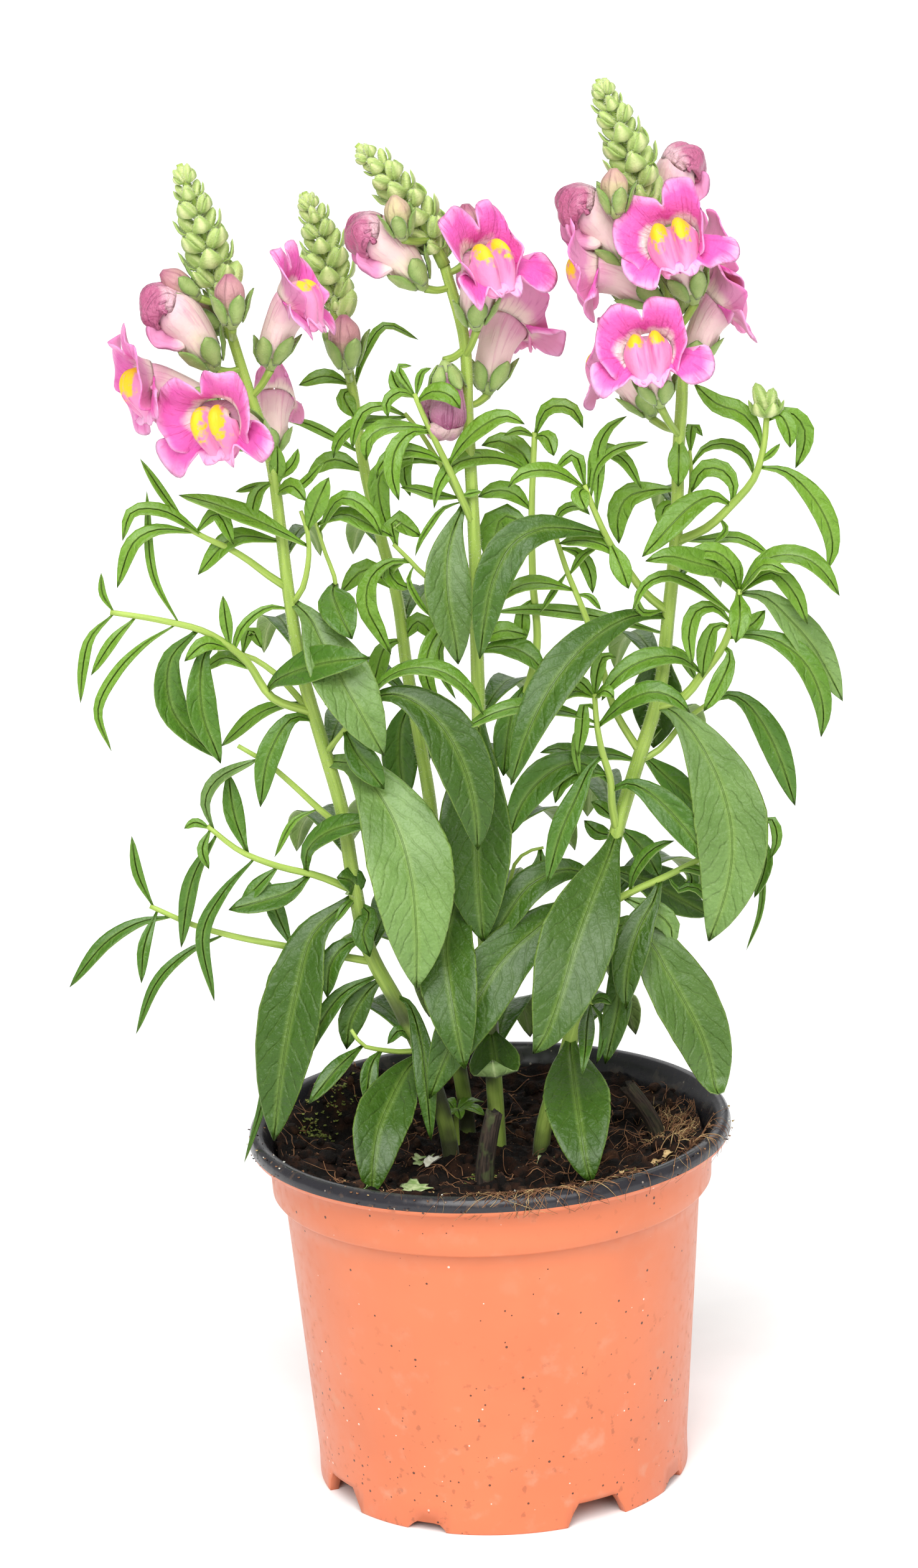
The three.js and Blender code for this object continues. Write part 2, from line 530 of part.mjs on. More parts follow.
const RIGHT_STEM = {
  name: 'leafy_stem_right',
  depths: [-3, -9],
  radii: [2.4, 1.4],
  line: [14, 94, 20, 112, 27, 135, 33, 157, 35.5, 169, 36.8, 178, 39.3, 186, 41.2, 191.5,
    44.7, 200.5, 47.5, 209, 49.8, 217, 51.3, 228, 52.3, 235, 54, 244, 55, 252, 55.4, 262,
    55.6, 272, 57, 283, 58.3, 295, 57, 308, 55, 320, 52, 333, 50, 342],
  shoots: [
    [1.3, 6, 56.5, 255, 60.7, 257.5, 70, 265, 73.8, 268.5, 76, 271.8, 78.3, 276, 78.7, 280, 79.8, 289],
    [1.2, 6, 50.8, 237, 48, 240.5, 45, 245.7, 41.8, 249.7, 37.5, 257, 35, 263, 32.9, 268.5, 31.8, 272],
    [1.4, 8, 50, 211, 54.7, 213.5, 58.5, 216, 61, 220, 64, 223.5, 67.5, 228.5, 69.3, 233.5, 71.5, 242.5],
    [1.1, 1, 42.5, 200, 39.5, 206, 37.5, 212, 35, 222, 32.3, 233.5, 29, 241, 27, 247.5, 24.5, 257, 23, 262],
    [1.2, 12, 36.8, 178.5, 36, 186, 35.8, 193, 34.3, 198.5, 33, 205, 32.7, 211, 32.5, 216],
    [1.0, -3, 46, 196, 50, 200.5, 54.3, 206, 58, 209, 61.5, 211.5, 64, 213],
    [1.1, 4, 34, 157.5, 40, 161, 48.5, 164.5, 53, 166.8, 58, 169, 66, 173, 73.5, 177.5],
    [0.8, -3, 55.3, 262, 59.3, 268, 59.5, 280],
    [0.8, 6, 25.5, 131, 28.8, 130.5],
  ],
  leaves: [
    [20, 36, 0.2, 36.5, 178, 34.2, 170, 30, 160, 25, 147, 20.5, 133, 16, 122, 12.5, 117],
    [9.5, 12, 0.3, 48.3, 164, 46, 158, 42.3, 151.5, 39.3, 143, 38, 135.5, 37.8, 128.5],
    [7.5, 10, 0.3, 30, 145, 35, 142, 36, 132, 33.8, 121, 31.7, 113.2],
    [17, 12, 0.25, 31, 149, 38, 152, 44.5, 147.5, 49.5, 138, 54.5, 128, 58.3, 119, 60.5, 109, 60.8, 99.8],
    [6.5, 3, 0.3, 38, 160, 46, 155.5, 50.5, 151, 50.7, 145.5],
    [16, 24, 0.3, 31, 153, 22, 156, 13, 150.5, 5, 143, -3, 131, -10, 119, -16, 105.5],
    [9, 10, 0.35, 34, 163, 24, 168, 14, 164.5, 7, 156, 1, 145],
    [18, 42, 0.3, 22, 121, 22.5, 117, 23, 111, 24.3, 97, 25.5, 86, 26.8, 79.3],
    [4.5, 30, 0.2, 28.5, 130.4, 27.2, 124, 26.5, 117, 25.4, 110.3],
    [2.5, 4, 0.4, 28.8, 130.5, 31.5, 131.8, 34.3, 130],
    [2.4, 6, 0.3, 28.8, 130.3, 31.3, 126, 31.4, 120, 29.4, 113.3],
    [3.5, 5, 0.4, 40, 161, 41, 165.5, 44.5, 171, 48.5, 173.7, 52.3, 174.8],
    [2.5, 3, 0.5, 52, 166, 56, 166.8, 62.5, 164.5],
    [2.8, 0, 0.4, 50, 165, 52.8, 161, 56.5, 162, 62, 157, 66, 151],
    [4, -3, 0.3, 54.5, 167, 56.5, 164.5, 56, 160.5],
    [3, 2, 0.3, 73.5, 177.5, 78, 179.5, 79.5, 174, 77.5, 168.5],
    [4, 2, 0.3, 73.5, 177.5, 76.5, 171, 75.5, 164, 73, 158],
    [1.8, 0, 0.3, 72.5, 177, 75.3, 165, 74.5, 154, 70.5, 143.5],
    [7, -3, 0.3, 37.5, 178.5, 42, 175, 45.5, 170, 48, 164.5],
    [11, -6, 0.35, 35.5, 168, 45, 163.5, 53, 158.5, 61, 153.5],
    [7, -4, 0.35, 45, 199, 51, 192, 56, 187, 60, 180],
    [19.5, 14, 0.25, 49.3, 213, 53, 210.3, 57.5, 205, 61.5, 198, 65.5, 188, 67.5, 177, 67, 166.5,
      64.3, 156, 60.5, 146.5],
    [4, 0, 0.3, 32.5, 216, 33.5, 222, 35.3, 226, 38.5, 225.5],
    [3.5, 2, 0.3, 32.5, 215.5, 28.5, 219.5, 25, 219.7],
    [3, 4, 0.5, 32.5, 215, 27, 216.8, 22, 214],
    [2.5, 4, 0.5, 32.6, 215, 35.5, 216.5, 37.6, 214.6],
    [4, 3, 0.3, 32.7, 211, 30, 213.5, 28.7, 206, 27.5, 199],
    [2.5, 0, 0.3, 33, 207, 28.5, 207, 27, 202, 27.8, 193],
    [4.2, 8, 0.5, 33, 207.5, 27, 210.5, 20.5, 212.3, 13.5, 213.3, 6, 211.8, -2.8, 207.5],
    [5.8, 6, 0.5, 33.1, 207.3, 36.5, 210, 42, 214, 48, 215.7, 53, 214, 57.5, 209.7],
    [6.5, 8, 0.3, 34, 199, 31, 196.3, 26.8, 188, 22.3, 178.5, 18, 164.5],
    [9, 4, 0.35, 35.6, 191.5, 31, 196, 25.5, 197.3, 18.5, 194, 12.3, 187, 8.5, 178],
    [8.5, 8, 0.35, 36, 189.5, 40.5, 191, 44.8, 189.2, 51, 183.3, 57, 175.5, 63, 166],
    [4.5, 3, 0.5, 42.3, 197, 36, 199.2, 29, 199.3, 22.5, 201.3, 17.5, 200.5],
    [4.5, 2, 0.3, 35.5, 194, 27, 194.5, 23, 192, 21, 186.5],
    [4, -4, 0.35, 36.6, 181, 33, 185, 30.5, 186.5],
    [4.5, -5, 0.3, 36.5, 177, 32, 178, 28.5, 181.5],
    [4, 6, 0.5, 28, 243.5, 21.5, 246, 16, 246.3, 11, 244.3, 8.5, 241.5],
    [1.8, 2, 0.5, 28.2, 243, 32, 242.2, 35, 238.5],
    [1.8, 0, 0.4, 27, 248.8, 22.5, 243.5, 19, 238.5],
    [2.2, 2, 0.4, 27, 248, 31, 253.5, 35, 255.5],
    [4, -2, 0.35, 25, 256, 29.5, 254, 32.3, 249, 33, 243],
    [2.5, 2, 0.5, 23.2, 261, 26, 265.5, 30.5, 266.3, 33, 264],
    [11, 28, 0.35, 50.7, 236, 45, 236.6, 39, 234.8, 31, 229.5, 22, 219.5, 14.5, 206, 9.5, 192],
    [3.8, -6, 0.4, 50.8, 231, 42, 234.5, 30, 237.5, 18, 239.3, 7, 239.2],
    [10.5, 16, 0.35, 37, 258, 29, 260.3, 20, 260.8, 12.5, 257, 7, 247.5, 4.6, 238, 2.7, 226.7],
    [4, 2, 0.45, 41, 250.5, 37, 255.3, 31, 257.3, 24.5, 256.7],
    [5.5, 5, 0.35, 38, 256, 39, 254, 41, 248.5, 42.4, 243.8],
    [4, 2, 0.35, 34.5, 264, 35.5, 273, 36, 282, 39, 287, 43.5, 289.7],
    [2.6, 3, 0.4, 33.2, 268, 35.5, 277, 40, 280.8, 49, 282.7],
    [3.8, -3, 0.45, 32.3, 270.5, 36, 281, 42, 278.5, 46.7, 270.3],
    [3.5, -2, 0.5, 32.2, 271, 29.5, 280, 24.2, 276.2],
    [5, 6, 0.3, 32.2, 271, 30.5, 270, 32, 265.3],
    [4, 7, 0.5, 32, 271.5, 24.5, 275.8, 19, 276.3, 15, 275.2, 12, 272.2],
    [2, 6, 0.4, 50.5, 237, 46, 237.2, 44.5, 240, 44.5, 243.5],
    [6.5, -3, 0.35, 55.6, 269.5, 49, 269.8, 43, 268.3, 40.3, 263.5, 40.3, 256],
    [4, -5, 0.3, 55.2, 266, 52.5, 265, 51.5, 259.5],
    [6, 5, 0.2, 57, 284, 56.6, 278, 56.2, 270.5],
    [3, -2, 0.4, 59.5, 279, 60.5, 286.5, 63, 283.5],
    [5.5, -2, 0.35, 78.6, 279, 76.5, 285, 73, 289.2, 67, 291.7, 61, 297.5],
    [5, 4, 0.3, 79.5, 287.5, 83, 288.3, 85.3, 284, 85.5, 279.5],
    [5, -2, 0.35, 79.5, 287, 85, 289, 89.3, 284.5, 89, 279, 86.8, 274],
    [5.8, 2, 0.35, 78.2, 274.5, 84, 273.2, 90.5, 267, 95, 258.5, 96, 252.5, 94.5, 246.5],
    [3, -2, 0.45, 59.5, 276, 63, 280, 67.5, 281.3, 72, 280, 75, 276.5, 75.8, 272.5],
    [5, -3, 0.4, 70, 265, 70.5, 270.5, 67.5, 274.5, 62.5, 274.5, 59.5, 268.7],
    [7, 10, 0.35, 69.7, 264.5, 65, 267.5, 59.5, 265.3, 54, 260.3, 50, 256, 46.2, 252.2],
    [1.8, 0, 0.3, 66, 262, 68.3, 258.5, 65, 255],
    [1.8, 2, 0.3, 78.3, 276, 81, 278.5, 83, 280.7],
    [5, 6, 0.45, 71.2, 242, 69.5, 249, 65.5, 252.6, 61, 252.6, 56.5, 249.2],
    [6.5, 12, 0.4, 71.2, 241.5, 67, 247.3, 60, 250, 53, 252, 47, 251],
    [5, 6, 0.5, 71.3, 242, 77.5, 249.3, 83, 251, 89, 249.8, 93.5, 246, 97.5, 239.5],
    [3, 8, 0.5, 71.4, 242, 78.5, 248.7, 84.5, 246],
    [9, -2, 0.3, 71, 241.5, 78, 240, 85, 233, 90, 226.5, 94, 219, 97.8, 211],
    [5, 1, 0.35, 71.2, 241.5, 80, 246.5, 85.5, 241, 89, 232.2],
    [6, 10, 0.15, 71.4, 242, 71.3, 239.5, 71.3, 235, 70, 228],
    [5, -2, 0.35, 68.3, 230.5, 74, 232.5, 78, 236.5],
    [3, 2, 0.3, 71.5, 242, 71, 248, 68.3, 253.5],
    [3, -3, 0.5, 57, 255, 64, 256, 71, 256.2, 76, 253.7, 80, 250.3],
    [3.2, 8, 0.5, 69.8, 235, 64.5, 240, 59, 244.3, 52.5, 246.8, 47, 244.8, 43, 237.5],
    [4.5, 4, 0.3, 69.2, 233, 64.5, 238, 60, 237, 57.8, 231, 58.5, 222.5],
    [5, -1, 0.3, 68.7, 232, 65, 233, 62, 226, 61, 219],
    [5.2, 6, 0.2, 67, 227.5, 68.5, 225, 65, 216, 61, 209.8],
    [6.5, 4, 0.35, 67.8, 229, 74, 230, 81, 228, 87.5, 222.5, 91.5, 214.5, 92.6, 207.5, 91.8, 201.5],
    [5.8, 6, 0.45, 61, 220.5, 55, 224.7, 47.5, 224.8, 41, 222, 36.8, 218.2, 34.3, 214],
    [7.5, 2, 0.35, 63.5, 212.8, 68, 214, 72.5, 211.5, 77.5, 204, 81.3, 194.5, 84.5, 183],
    [14, -8, 0.2, 51.2, 229, 50, 222, 49, 212, 47.5, 200.5],
    [3, -4, 0.3, 51.5, 229, 56, 225, 59.5, 218],
  ],
  backLeaves: [
    [118, 150, 44, 12],
    [138, 205, 46, 13],
    [158, 135, 44, 12],
    [180, 190, 44, 12],
    [200, 150, 40, 10],
    [222, 200, 36, 9],
    [244, 150, 32, 8],
    [264, 190, 26, 6],
  ],
};

// Each flower's name, kind, stem, seat (across, up), how far it stands in front of the stem,
// bearing (0 faces the front, 90 the right), lean from upright, and size.
const FLOWERS = [
  ['bloom_left_front', 'open', LEFT_STEM, -51, 285.5, 7, -60, 42, 1],
  ['bloom_left_side', 'open', LEFT_STEM, -58.5, 294, 0, -100, 38, 1],
  ['half_open_bud_left', 'half', LEFT_STEM, -60.5, 308.5, 3, -85, 48, 1.05],
  ['coloured_bud_left_outer', 'bud', LEFT_STEM, -66.8, 326.5, 3, -80, 52, 0.9],
  ['coloured_bud_left_low', 'bud', LEFT_STEM, -61, 317.5, -4, -100, 55, 1],
  ['coloured_bud_left_front', 'bud', LEFT_STEM, -57.3, 319.5, 12, -10, 5, 1.05],
  ['bloom_left_inner', 'open', LEFT_STEM, -48.5, 305, 2, 80, 0, 0.95],
  ['bloom_left_back', 'open', LEFT_STEM, -48.5, 287, -7, 175, 10, 0.8],
  ['coloured_bud_back_left', 'bud', BACK_LEFT_STEM, -28.3, 307, 8, -10, 8, 1.15],
  ['bloom_middle_front', 'open', MIDDLE_STEM, 5.4, 312.5, 6, 20, 0, 1],
  ['bloom_middle_back', 'open', MIDDLE_STEM, 7.8, 299, -6, 140, 5, 1],
  ['half_open_bud_middle', 'half', MIDDLE_STEM, -6.5, 327, 3, -85, 50, 1],
  ['coloured_bud_middle_back', 'bud', MIDDLE_STEM, 4.5, 335, -2, 90, -2, 1.05],
  ['coloured_bud_middle_front', 'bud', MIDDLE_STEM, -12.5, 340, 10, -40, 15, 0.9],
  ['withered_bloom_middle', 'withered', MIDDLE_STEM, -3, 304.5, 4, 40, 175, 0.8],
  ['bloom_right_upper', 'open', RIGHT_STEM, 61, 316.5, 7.5, -5, 2, 1],
  ['bloom_right_lower', 'open', RIGHT_STEM, 52, 289.5, 12.8, -15, 6, 0.93],
  ['bloom_right_side', 'open', RIGHT_STEM, 50, 315, 1, -90, 42, 1],
  ['half_open_bud_right', 'half', RIGHT_STEM, 45.5, 330.5, 2, -80, 40, 1],
  ['half_open_bud_right_back', 'half', RIGHT_STEM, 55.5, 337.5, -9.5, 100, 6, 0.95],
  ['bloom_right_rear', 'open', RIGHT_STEM, 57.5, 317, -5, 110, 10, 0.85],
  ['bloom_right_outer', 'open', RIGHT_STEM, 63, 301.5, -3, 95, 22, 0.95],
  ['bloom_right_back', 'open', RIGHT_STEM, 50.5, 290.5, -11, -110, 15, 0.9],
  ['coloured_bud_right_front', 'bud', RIGHT_STEM, 42.5, 343.5, 10.5, -20, 5, 0.95],
];

// The flower spike above each stem: its line to the tip, the bearings of the bigger buds round
// its foot, and its size.
const SPIKES = new Map([
  [LEFT_STEM, { line: [-59, 321, -61.8, 335, -65.5, 350, -68.5, 360], buds: [50, 100, 160], size: 1.05 }],
  [BACK_LEFT_STEM, { line: [-30, 317, -31.5, 328, -34, 342, -37, 351.5], buds: [60, 170, -100], size: 1 }],
  [MIDDLE_STEM, { line: [-2, 331, -7, 342, -14, 353, -23, 363], buds: [165, -135], size: 1 }],
  [RIGHT_STEM, { line: [50, 342, 47.5, 354, 43.5, 366, 39, 377], buds: [120, 170, -125], size: 1 }],
]);

// Green buds at the top of the right stem's upper shoot: seat and tip (across, up), and radius.
const SHOOT_BUDS = [
  [80, 288.5, 77, 297, 2.6],
  [80.3, 288.5, 81.6, 295.5, 2.4],
];

// ---------------------------------------------------------------- pot and soil

// The pot's section as (radius, height), from the middle of its foot up the outside, over the
// rolled rim and down the inside.
function potProfile() {
  const outline = [
    [0, 0],
    [CENTRE_PAD_RADIUS, 0],
    [CHANNEL_INNER, FLOOR_UNDERSIDE],
    [CHANNEL_OUTER, FLOOR_UNDERSIDE],
    [FOOT_RADIUS - 2.6, 0],
    [FOOT_RADIUS - 0.3, 0],
    [FOOT_RADIUS, 8],
    [WALL_TOP_RADIUS, BAND_BOTTOM],
    [BAND_RADIUS, BAND_BOTTOM + 1.2],
    [BAND_RADIUS + 0.6, BAND_TOP],
    [RIM_RADIUS - 1.5, BAND_TOP + 0.6],
    [RIM_RADIUS, BAND_TOP + 2.4],
    [RIM_RADIUS - 0.6, POT_HEIGHT - 0.7],
    [RIM_RADIUS - 2.2, POT_HEIGHT],
    [RIM_RADIUS - 3.8, POT_HEIGHT - 0.9],
    [BAND_RADIUS - POT_WALL + 0.7, BAND_TOP + 1],
    [BAND_RADIUS - POT_WALL, BAND_BOTTOM + 2.2],
    [WALL_TOP_RADIUS - POT_WALL, BAND_BOTTOM + 0.4],
    [FOOT_RADIUS - POT_WALL, FLOOR_UNDERSIDE + FLOOR_THICKNESS],
    [CHANNEL_INNER - 0.6, FLOOR_UNDERSIDE + FLOOR_THICKNESS],
    [CENTRE_PAD_RADIUS - 0.6, FLOOR_THICKNESS],
    [0, FLOOR_THICKNESS],
  ];
  return outline.map(([r, z]) => new THREE.Vector2(r, z));
}

function boxSolid(size, centre, turn) {
  const geometry = new THREE.BoxGeometry(size[0], size[1], size[2]);
  geometry.translate(centre[0], centre[1], centre[2]);
  geometry.rotateZ(turn);
  return solidFromGeometry(geometry);
}

function upright(radius, bottom, top, x, y, sides) {
  const geometry = new THREE.CylinderGeometry(radius, radius, top - bottom, sides);
  geometry.rotateX(Math.PI / 2);
  geometry.translate(x, y, (top + bottom) / 2);
  return solidFromGeometry(geometry);
}

// A cut through the foot that lets water out, a quarter turn on from the last.
function notchCut({ width, height, turn }, quarter) {
  const angle = THREE.MathUtils.degToRad(turn + 90 * quarter);
  return boxSolid([width, NOTCH_DEPTH, 2 * height], [0, 1 - FOOT_RADIUS, 0], angle);
}

function makePot() {
  const lathe = new THREE.LatheGeometry(potProfile(), POT_SIDES);
  lathe.rotateX(Math.PI / 2);
  let pot = solidFromGeometry(lathe);
  const channelMiddle = (CHANNEL_INNER + CHANNEL_OUTER) / 2;
  for (let quarter = 0; quarter < 4; quarter += 1) {
    pot = pot.subtract(notchCut(BROAD_NOTCH, quarter)).subtract(notchCut(SLIM_NOTCH, quarter));
    const angle = THREE.MathUtils.degToRad(45 + 90 * quarter);
    const [x, y] = [Math.cos(angle) * channelMiddle, Math.sin(angle) * channelMiddle];
    const [bottom, top] = [FLOOR_UNDERSIDE - 2, FLOOR_UNDERSIDE + FLOOR_THICKNESS + 2];
    pot = pot.subtract(upright(DRAIN_RADIUS, bottom, top, x, y, 8));
  }
  return pot;
}

// The lumpy top of the soil: three long ripples and a heap behind the stems.
function soilHeight(x, y) {
  const broad = Math.sin(x * 0.21 + 1.3) * Math.cos(y * 0.17 - 0.6);
  const slanting = 0.6 * Math.sin(x * 0.09 - y * 0.31);
  const fine = 0.5 * Math.sin(x * 0.47 + y * 0.29 + 2);
  const fromHeap = (x - SOIL_HEAP.x) ** 2 + (y - SOIL_HEAP.y) ** 2;
  const heap = SOIL_HEAP.height * Math.exp(-fromHeap / SOIL_HEAP.spread);
  return SOIL_LEVEL + SOIL_LUMP * 0.6 * (broad + slanting + fine) + heap;
}

function makeSoil(holes) {
  const ringAt = (radius, z) => {
    const ring = [];
    for (let i = 0; i < SOIL_SIDES; i += 1) {
      const angle = (2 * Math.PI * i) / SOIL_SIDES;
      const [x, y] = [Math.cos(angle) * radius, Math.sin(angle) * radius];
      ring.push(new THREE.Vector3(x, y, z === undefined ? soilHeight(x, y) : z));
    }
    return ring;
  };
  const topRadius = BAND_RADIUS - POT_WALL - 0.6;
  const floor = FLOOR_UNDERSIDE + FLOOR_THICKNESS + GAP;
  const rings = [
    [new THREE.Vector3(0, 0, FLOOR_THICKNESS + GAP)],
    ringAt(CENTRE_PAD_RADIUS - 1.2, FLOOR_THICKNESS + GAP),
    ringAt(CHANNEL_INNER - 1.2, floor),
    ringAt(FOOT_RADIUS - POT_WALL - 0.7, floor),
    ringAt(WALL_TOP_RADIUS - POT_WALL - 0.8, BAND_BOTTOM),
    ringAt(topRadius, BAND_BOTTOM + 3.4),
    ringAt(topRadius),
    ringAt(topRadius * 0.8),
    ringAt(topRadius * 0.58),
    ringAt(topRadius * 0.32),
    [new THREE.Vector3(0, 0, soilHeight(0, 0))],
  ];
  let soil = skin(rings);
  holes.forEach(([x, y, radius]) => {
    soil = soil.subtract(upright(radius, SOIL_LEVEL - HOLE_DEPTH, SOIL_LEVEL + 20, x, y, 8));
  });
  return soil;
}

// ---------------------------------------------------------------- stems and leaves

function depthAlong(stem, up) {
  const [low, high] = [stem.line[1], stem.line[stem.line.length - 1]];
  const share = THREE.MathUtils.clamp((up - low) / (high - low), 0, 1);
  return stem.depths[0] + (stem.depths[1] - stem.depths[0]) * share;
}

// The bends of a stalk as (across, up, depth), spaced evenly along its smooth line.
function bendsAlong(places, steps) {
  return smoothCurve(places.map(([a, u, d]) => new THREE.Vector3(a, u, d))).getSpacedPoints(steps);
}

// Close samples along a stalk, so that a foot can find the nearest one. The last sample is left
// out, so that nothing roots on the very tip.
function sampleAxis(bends) {
  const samples = [];
  bends.slice(1).forEach((bend, k) => {
    const count = Math.ceil(bend.distanceTo(bends[k]) / AXIS_SPACING);
    for (let i = 0; i < count; i += 1) samples.push(bends[k].clone().lerp(bend, i / count));
  });
  return samples;
}

function nearestOnAxes(axes, across, up) {
  let best = null;
  let shortest = Infinity;
  axes.forEach((axis) => {
    axis.forEach((sample) => {
      const distance = Math.hypot(sample.x - across, sample.y - up);
      if (distance < shortest) {
        shortest = distance;
        best = sample;
      }
    });
  });
  return best;
}

// Gives each place a depth: the parent's at the foot, then forward by a quarter wave.
function withDepths(places, foot, forward) {
  const flat = places.map(([a, u]) => new THREE.Vector2(a, u));
  flat[0].set(foot.x, foot.y);
  let total = 0;
  const runs = flat.map((p, i) => {
    total += i === 0 ? 0 : p.distanceTo(flat[i - 1]);
    return total;
  });
  return flat.map((p, i) => {
    const ease = Math.sin((runs[i] / total) * (Math.PI / 2));
    return [p.x, p.y, foot.z - forward * ease];
  });
}

function curveOf(places) {
  return smoothCurve(places.map(([a, u, d]) => seen(a, u, d)));
}

function stationsFor(length) {
  if (length < 20) return [0, 0.5, 1];
  if (length < 38) return [0, 0.36, 0.72, 1];
  if (length < 66) return [0, 0.24, 0.52, 0.8, 1];
  return [0, 0.14, 0.34, 0.56, 0.8, 1];
}

function facingViewer(flat, roll) {
  return (centre, tangent) => {
    const toEye = EYE.clone().sub(centre).normalize();
    const level = UP.clone().addScaledVector(tangent, -UP.dot(tangent));
    const mix = toEye.multiplyScalar(1 - flat).addScaledVector(level, flat);
    return mix.applyAxisAngle(tangent, roll);
  };
}

function leafSolid(leaf, axes, random) {
  const [seenWidth, forward, flat, ...numbers] = leaf;
  const places = pairs(numbers);
  const foot = nearestOnAxes(axes, places[0][0], places[0][1]);
  const curve = curveOf(withDepths(places, foot, forward));
  const roll = (2 * random() - 1) * LEAF_ROLL;
  const facing = facingViewer(flat, roll);
  const middle = curve.getPointAt(0.5);
  const tangent = curve.getTangentAt(0.5);
  const { face } = acrossFrame(tangent, facing(middle, tangent));
  const facingShare = Math.abs(face.dot(EYE.clone().sub(middle).normalize()));
  const width = seenWidth / Math.max(LEAST_FACING, facingShare);
  const length = curve.getLength();
  const fold = length > FOLDED_FROM ? BLADE_FOLD : 0;
  return blade(curve, width, facing, LEAF_OUTLINE, stationsFor(length), BLADE_THICKNESS, fold);
}

function bearingVector(degrees) {
  const angle = THREE.MathUtils.degToRad(degrees);
  return new THREE.Vector3(Math.sin(angle), -Math.cos(angle), 0);
}

function backLeafSolid(centres, [height, bearing, length, width]) {
  const above = centres.findIndex((centre) => centre.z > height);
  const below = centres[above - 1];
  const foot = below.clone().lerp(centres[above], (height - below.z) / (centres[above].z - below.z));
  const out = bearingVector(bearing);
  const reaches = [
    [0, 0],
    [0.28, 0.16],
    [0.55, 0.2],
    [0.78, 0.06],
    [0.9, -0.16],
  ];
  const points = reaches.map(([along, rise]) => {
    return foot.clone().addScaledVector(out, along * length).addScaledVector(UP, rise * length);
  });
  const facing = (centre, tangent) => UP.clone().addScaledVector(tangent, -UP.dot(tangent));
  return blade(
    smoothCurve(points),
    width,
    facing,
    LEAF_OUTLINE,
    [0, 0.3, 0.65, 1],
    BLADE_THICKNESS,
    0,
  );
}

const BUD_SHARES = [
  [0, 0.5],
  [0.42, 1],
  [0.84, 0.58],
  [1, 0],
];

// The tip of a spike: close whorls of small buds, four to a whorl, each whorl turned by half a
// step from the one below. Every point of the skin is the tip of a bud or the dip between four.
// Each whorl is given as its place along the spike and its reach.
const WHORL_SIDES = 8;
const WHORL_DIP = 0.52;
const BUD_RISE = 2.6;
const DIP_FALL = 0.6;
const SPIKE_ROOT = 4;
const WHORLS = [
  [0.14, 3.4],
  [0.25, 5.2],
  [0.37, 5.8],
  [0.48, 5.5],
  [0.59, 5],
  [0.7, 4.3],
  [0.8, 3.5],
  [0.9, 2.7],
];

function whorlSolid(curve, size) {
  const rings = WHORLS.map(([t, reach], row) => {
    const centre = curve.getPointAt(t);
    const tangent = curve.getTangentAt(t);
    const { side, face } = acrossFrame(tangent, new THREE.Vector3(0, -1, 0));
    const ring = [];
    for (let i = 0; i < WHORL_SIDES; i += 1) {
      const isTip = (i + row) % 2 === 0;
      const angle = (2 * Math.PI * i) / WHORL_SIDES;
      const radius = reach * size * (isTip ? 1 : WHORL_DIP);
      const rise = size * (isTip ? BUD_RISE : -DIP_FALL);
      ring.push(
        centre
          .clone()
          .addScaledVector(side, Math.cos(angle) * radius)
          .addScaledVector(face, Math.sin(angle) * radius)
          .addScaledVector(tangent, rise),
      );
    }
    return ring;
  });
  const root = curve.getPointAt(0).addScaledVector(curve.getTangentAt(0), -SPIKE_ROOT);
  return skin([[root], ...rings, [curve.getPointAt(1)]]);
}

// Bigger buds stand out round the foot of the spike, each over a small pointed bract.
function spikeSolids(stem) {
  const { line, buds, size } = SPIKES.get(stem);
  const curve = curveOf(pairs(line).map(([a, u]) => [a, u, stem.depths[1]]));
  const solids = [whorlSolid(curve, size)];
  buds.forEach((bearing, i) => {
    const t = 0.05 + 0.07 * i;
    const centre = curve.getPointAt(t);
    const tangent = curve.getTangentAt(t);
    const out = bearingVector(bearing);
    out.addScaledVector(tangent, -out.dot(tangent)).normalize();
    const from = centre.clone().addScaledVector(out, 2 * size);
    const to = centre.clone().addScaledVector(out, 6.2 * size).addScaledVector(tangent, 7.4 * size);
    const middle = centre.clone().addScaledVector(out, 5.4 * size).addScaledVector(tangent, -1.6 * size);
    const tip = centre.clone().addScaledVector(out, 8.6 * size).addScaledVector(tangent, 3 * size);
    const bract = smoothCurve([centre, middle, tip]);
    solids.push(
      egg(from, to, 2.9 * size, BUD_SIDES, BUD_SHARES),
      blade(bract, 4.4 * size, () => out, SEPAL_OUTLINE, [0, 0.5, 1], BLADE_THICKNESS, 0),
    );
  });
  return solids;
}

function shootBuds(axes) {
  return SHOOT_BUDS.map(([across, up, tipAcross, tipUp, radius]) => {
    const foot = nearestOnAxes(axes, across, up);
    const from = seen(foot.x, foot.y, foot.z);
    return egg(from, seen(tipAcross, tipUp, foot.z), radius, BUD_SIDES, BUD_SHARES);
  });
}

// ---------------------------------------------------------------- flowers

function flowerFrame(bearing, leanDegrees, size, seat) {
  const lean = THREE.MathUtils.degToRad(leanDegrees);
  const forward = bearingVector(bearing);
  const up = UP.clone().multiplyScalar(Math.cos(lean)).addScaledVector(forward, Math.sin(lean));
  const ahead = forward.multiplyScalar(Math.cos(lean)).addScaledVector(UP, -Math.sin(lean));
  const left = new THREE.Vector3().crossVectors(up, ahead);
  return (x, y, z) =>
    seat
      .clone()
      .addScaledVector(ahead, x * size)
      .addScaledVector(left, y * size)
      .addScaledVector(up, z * size);
}

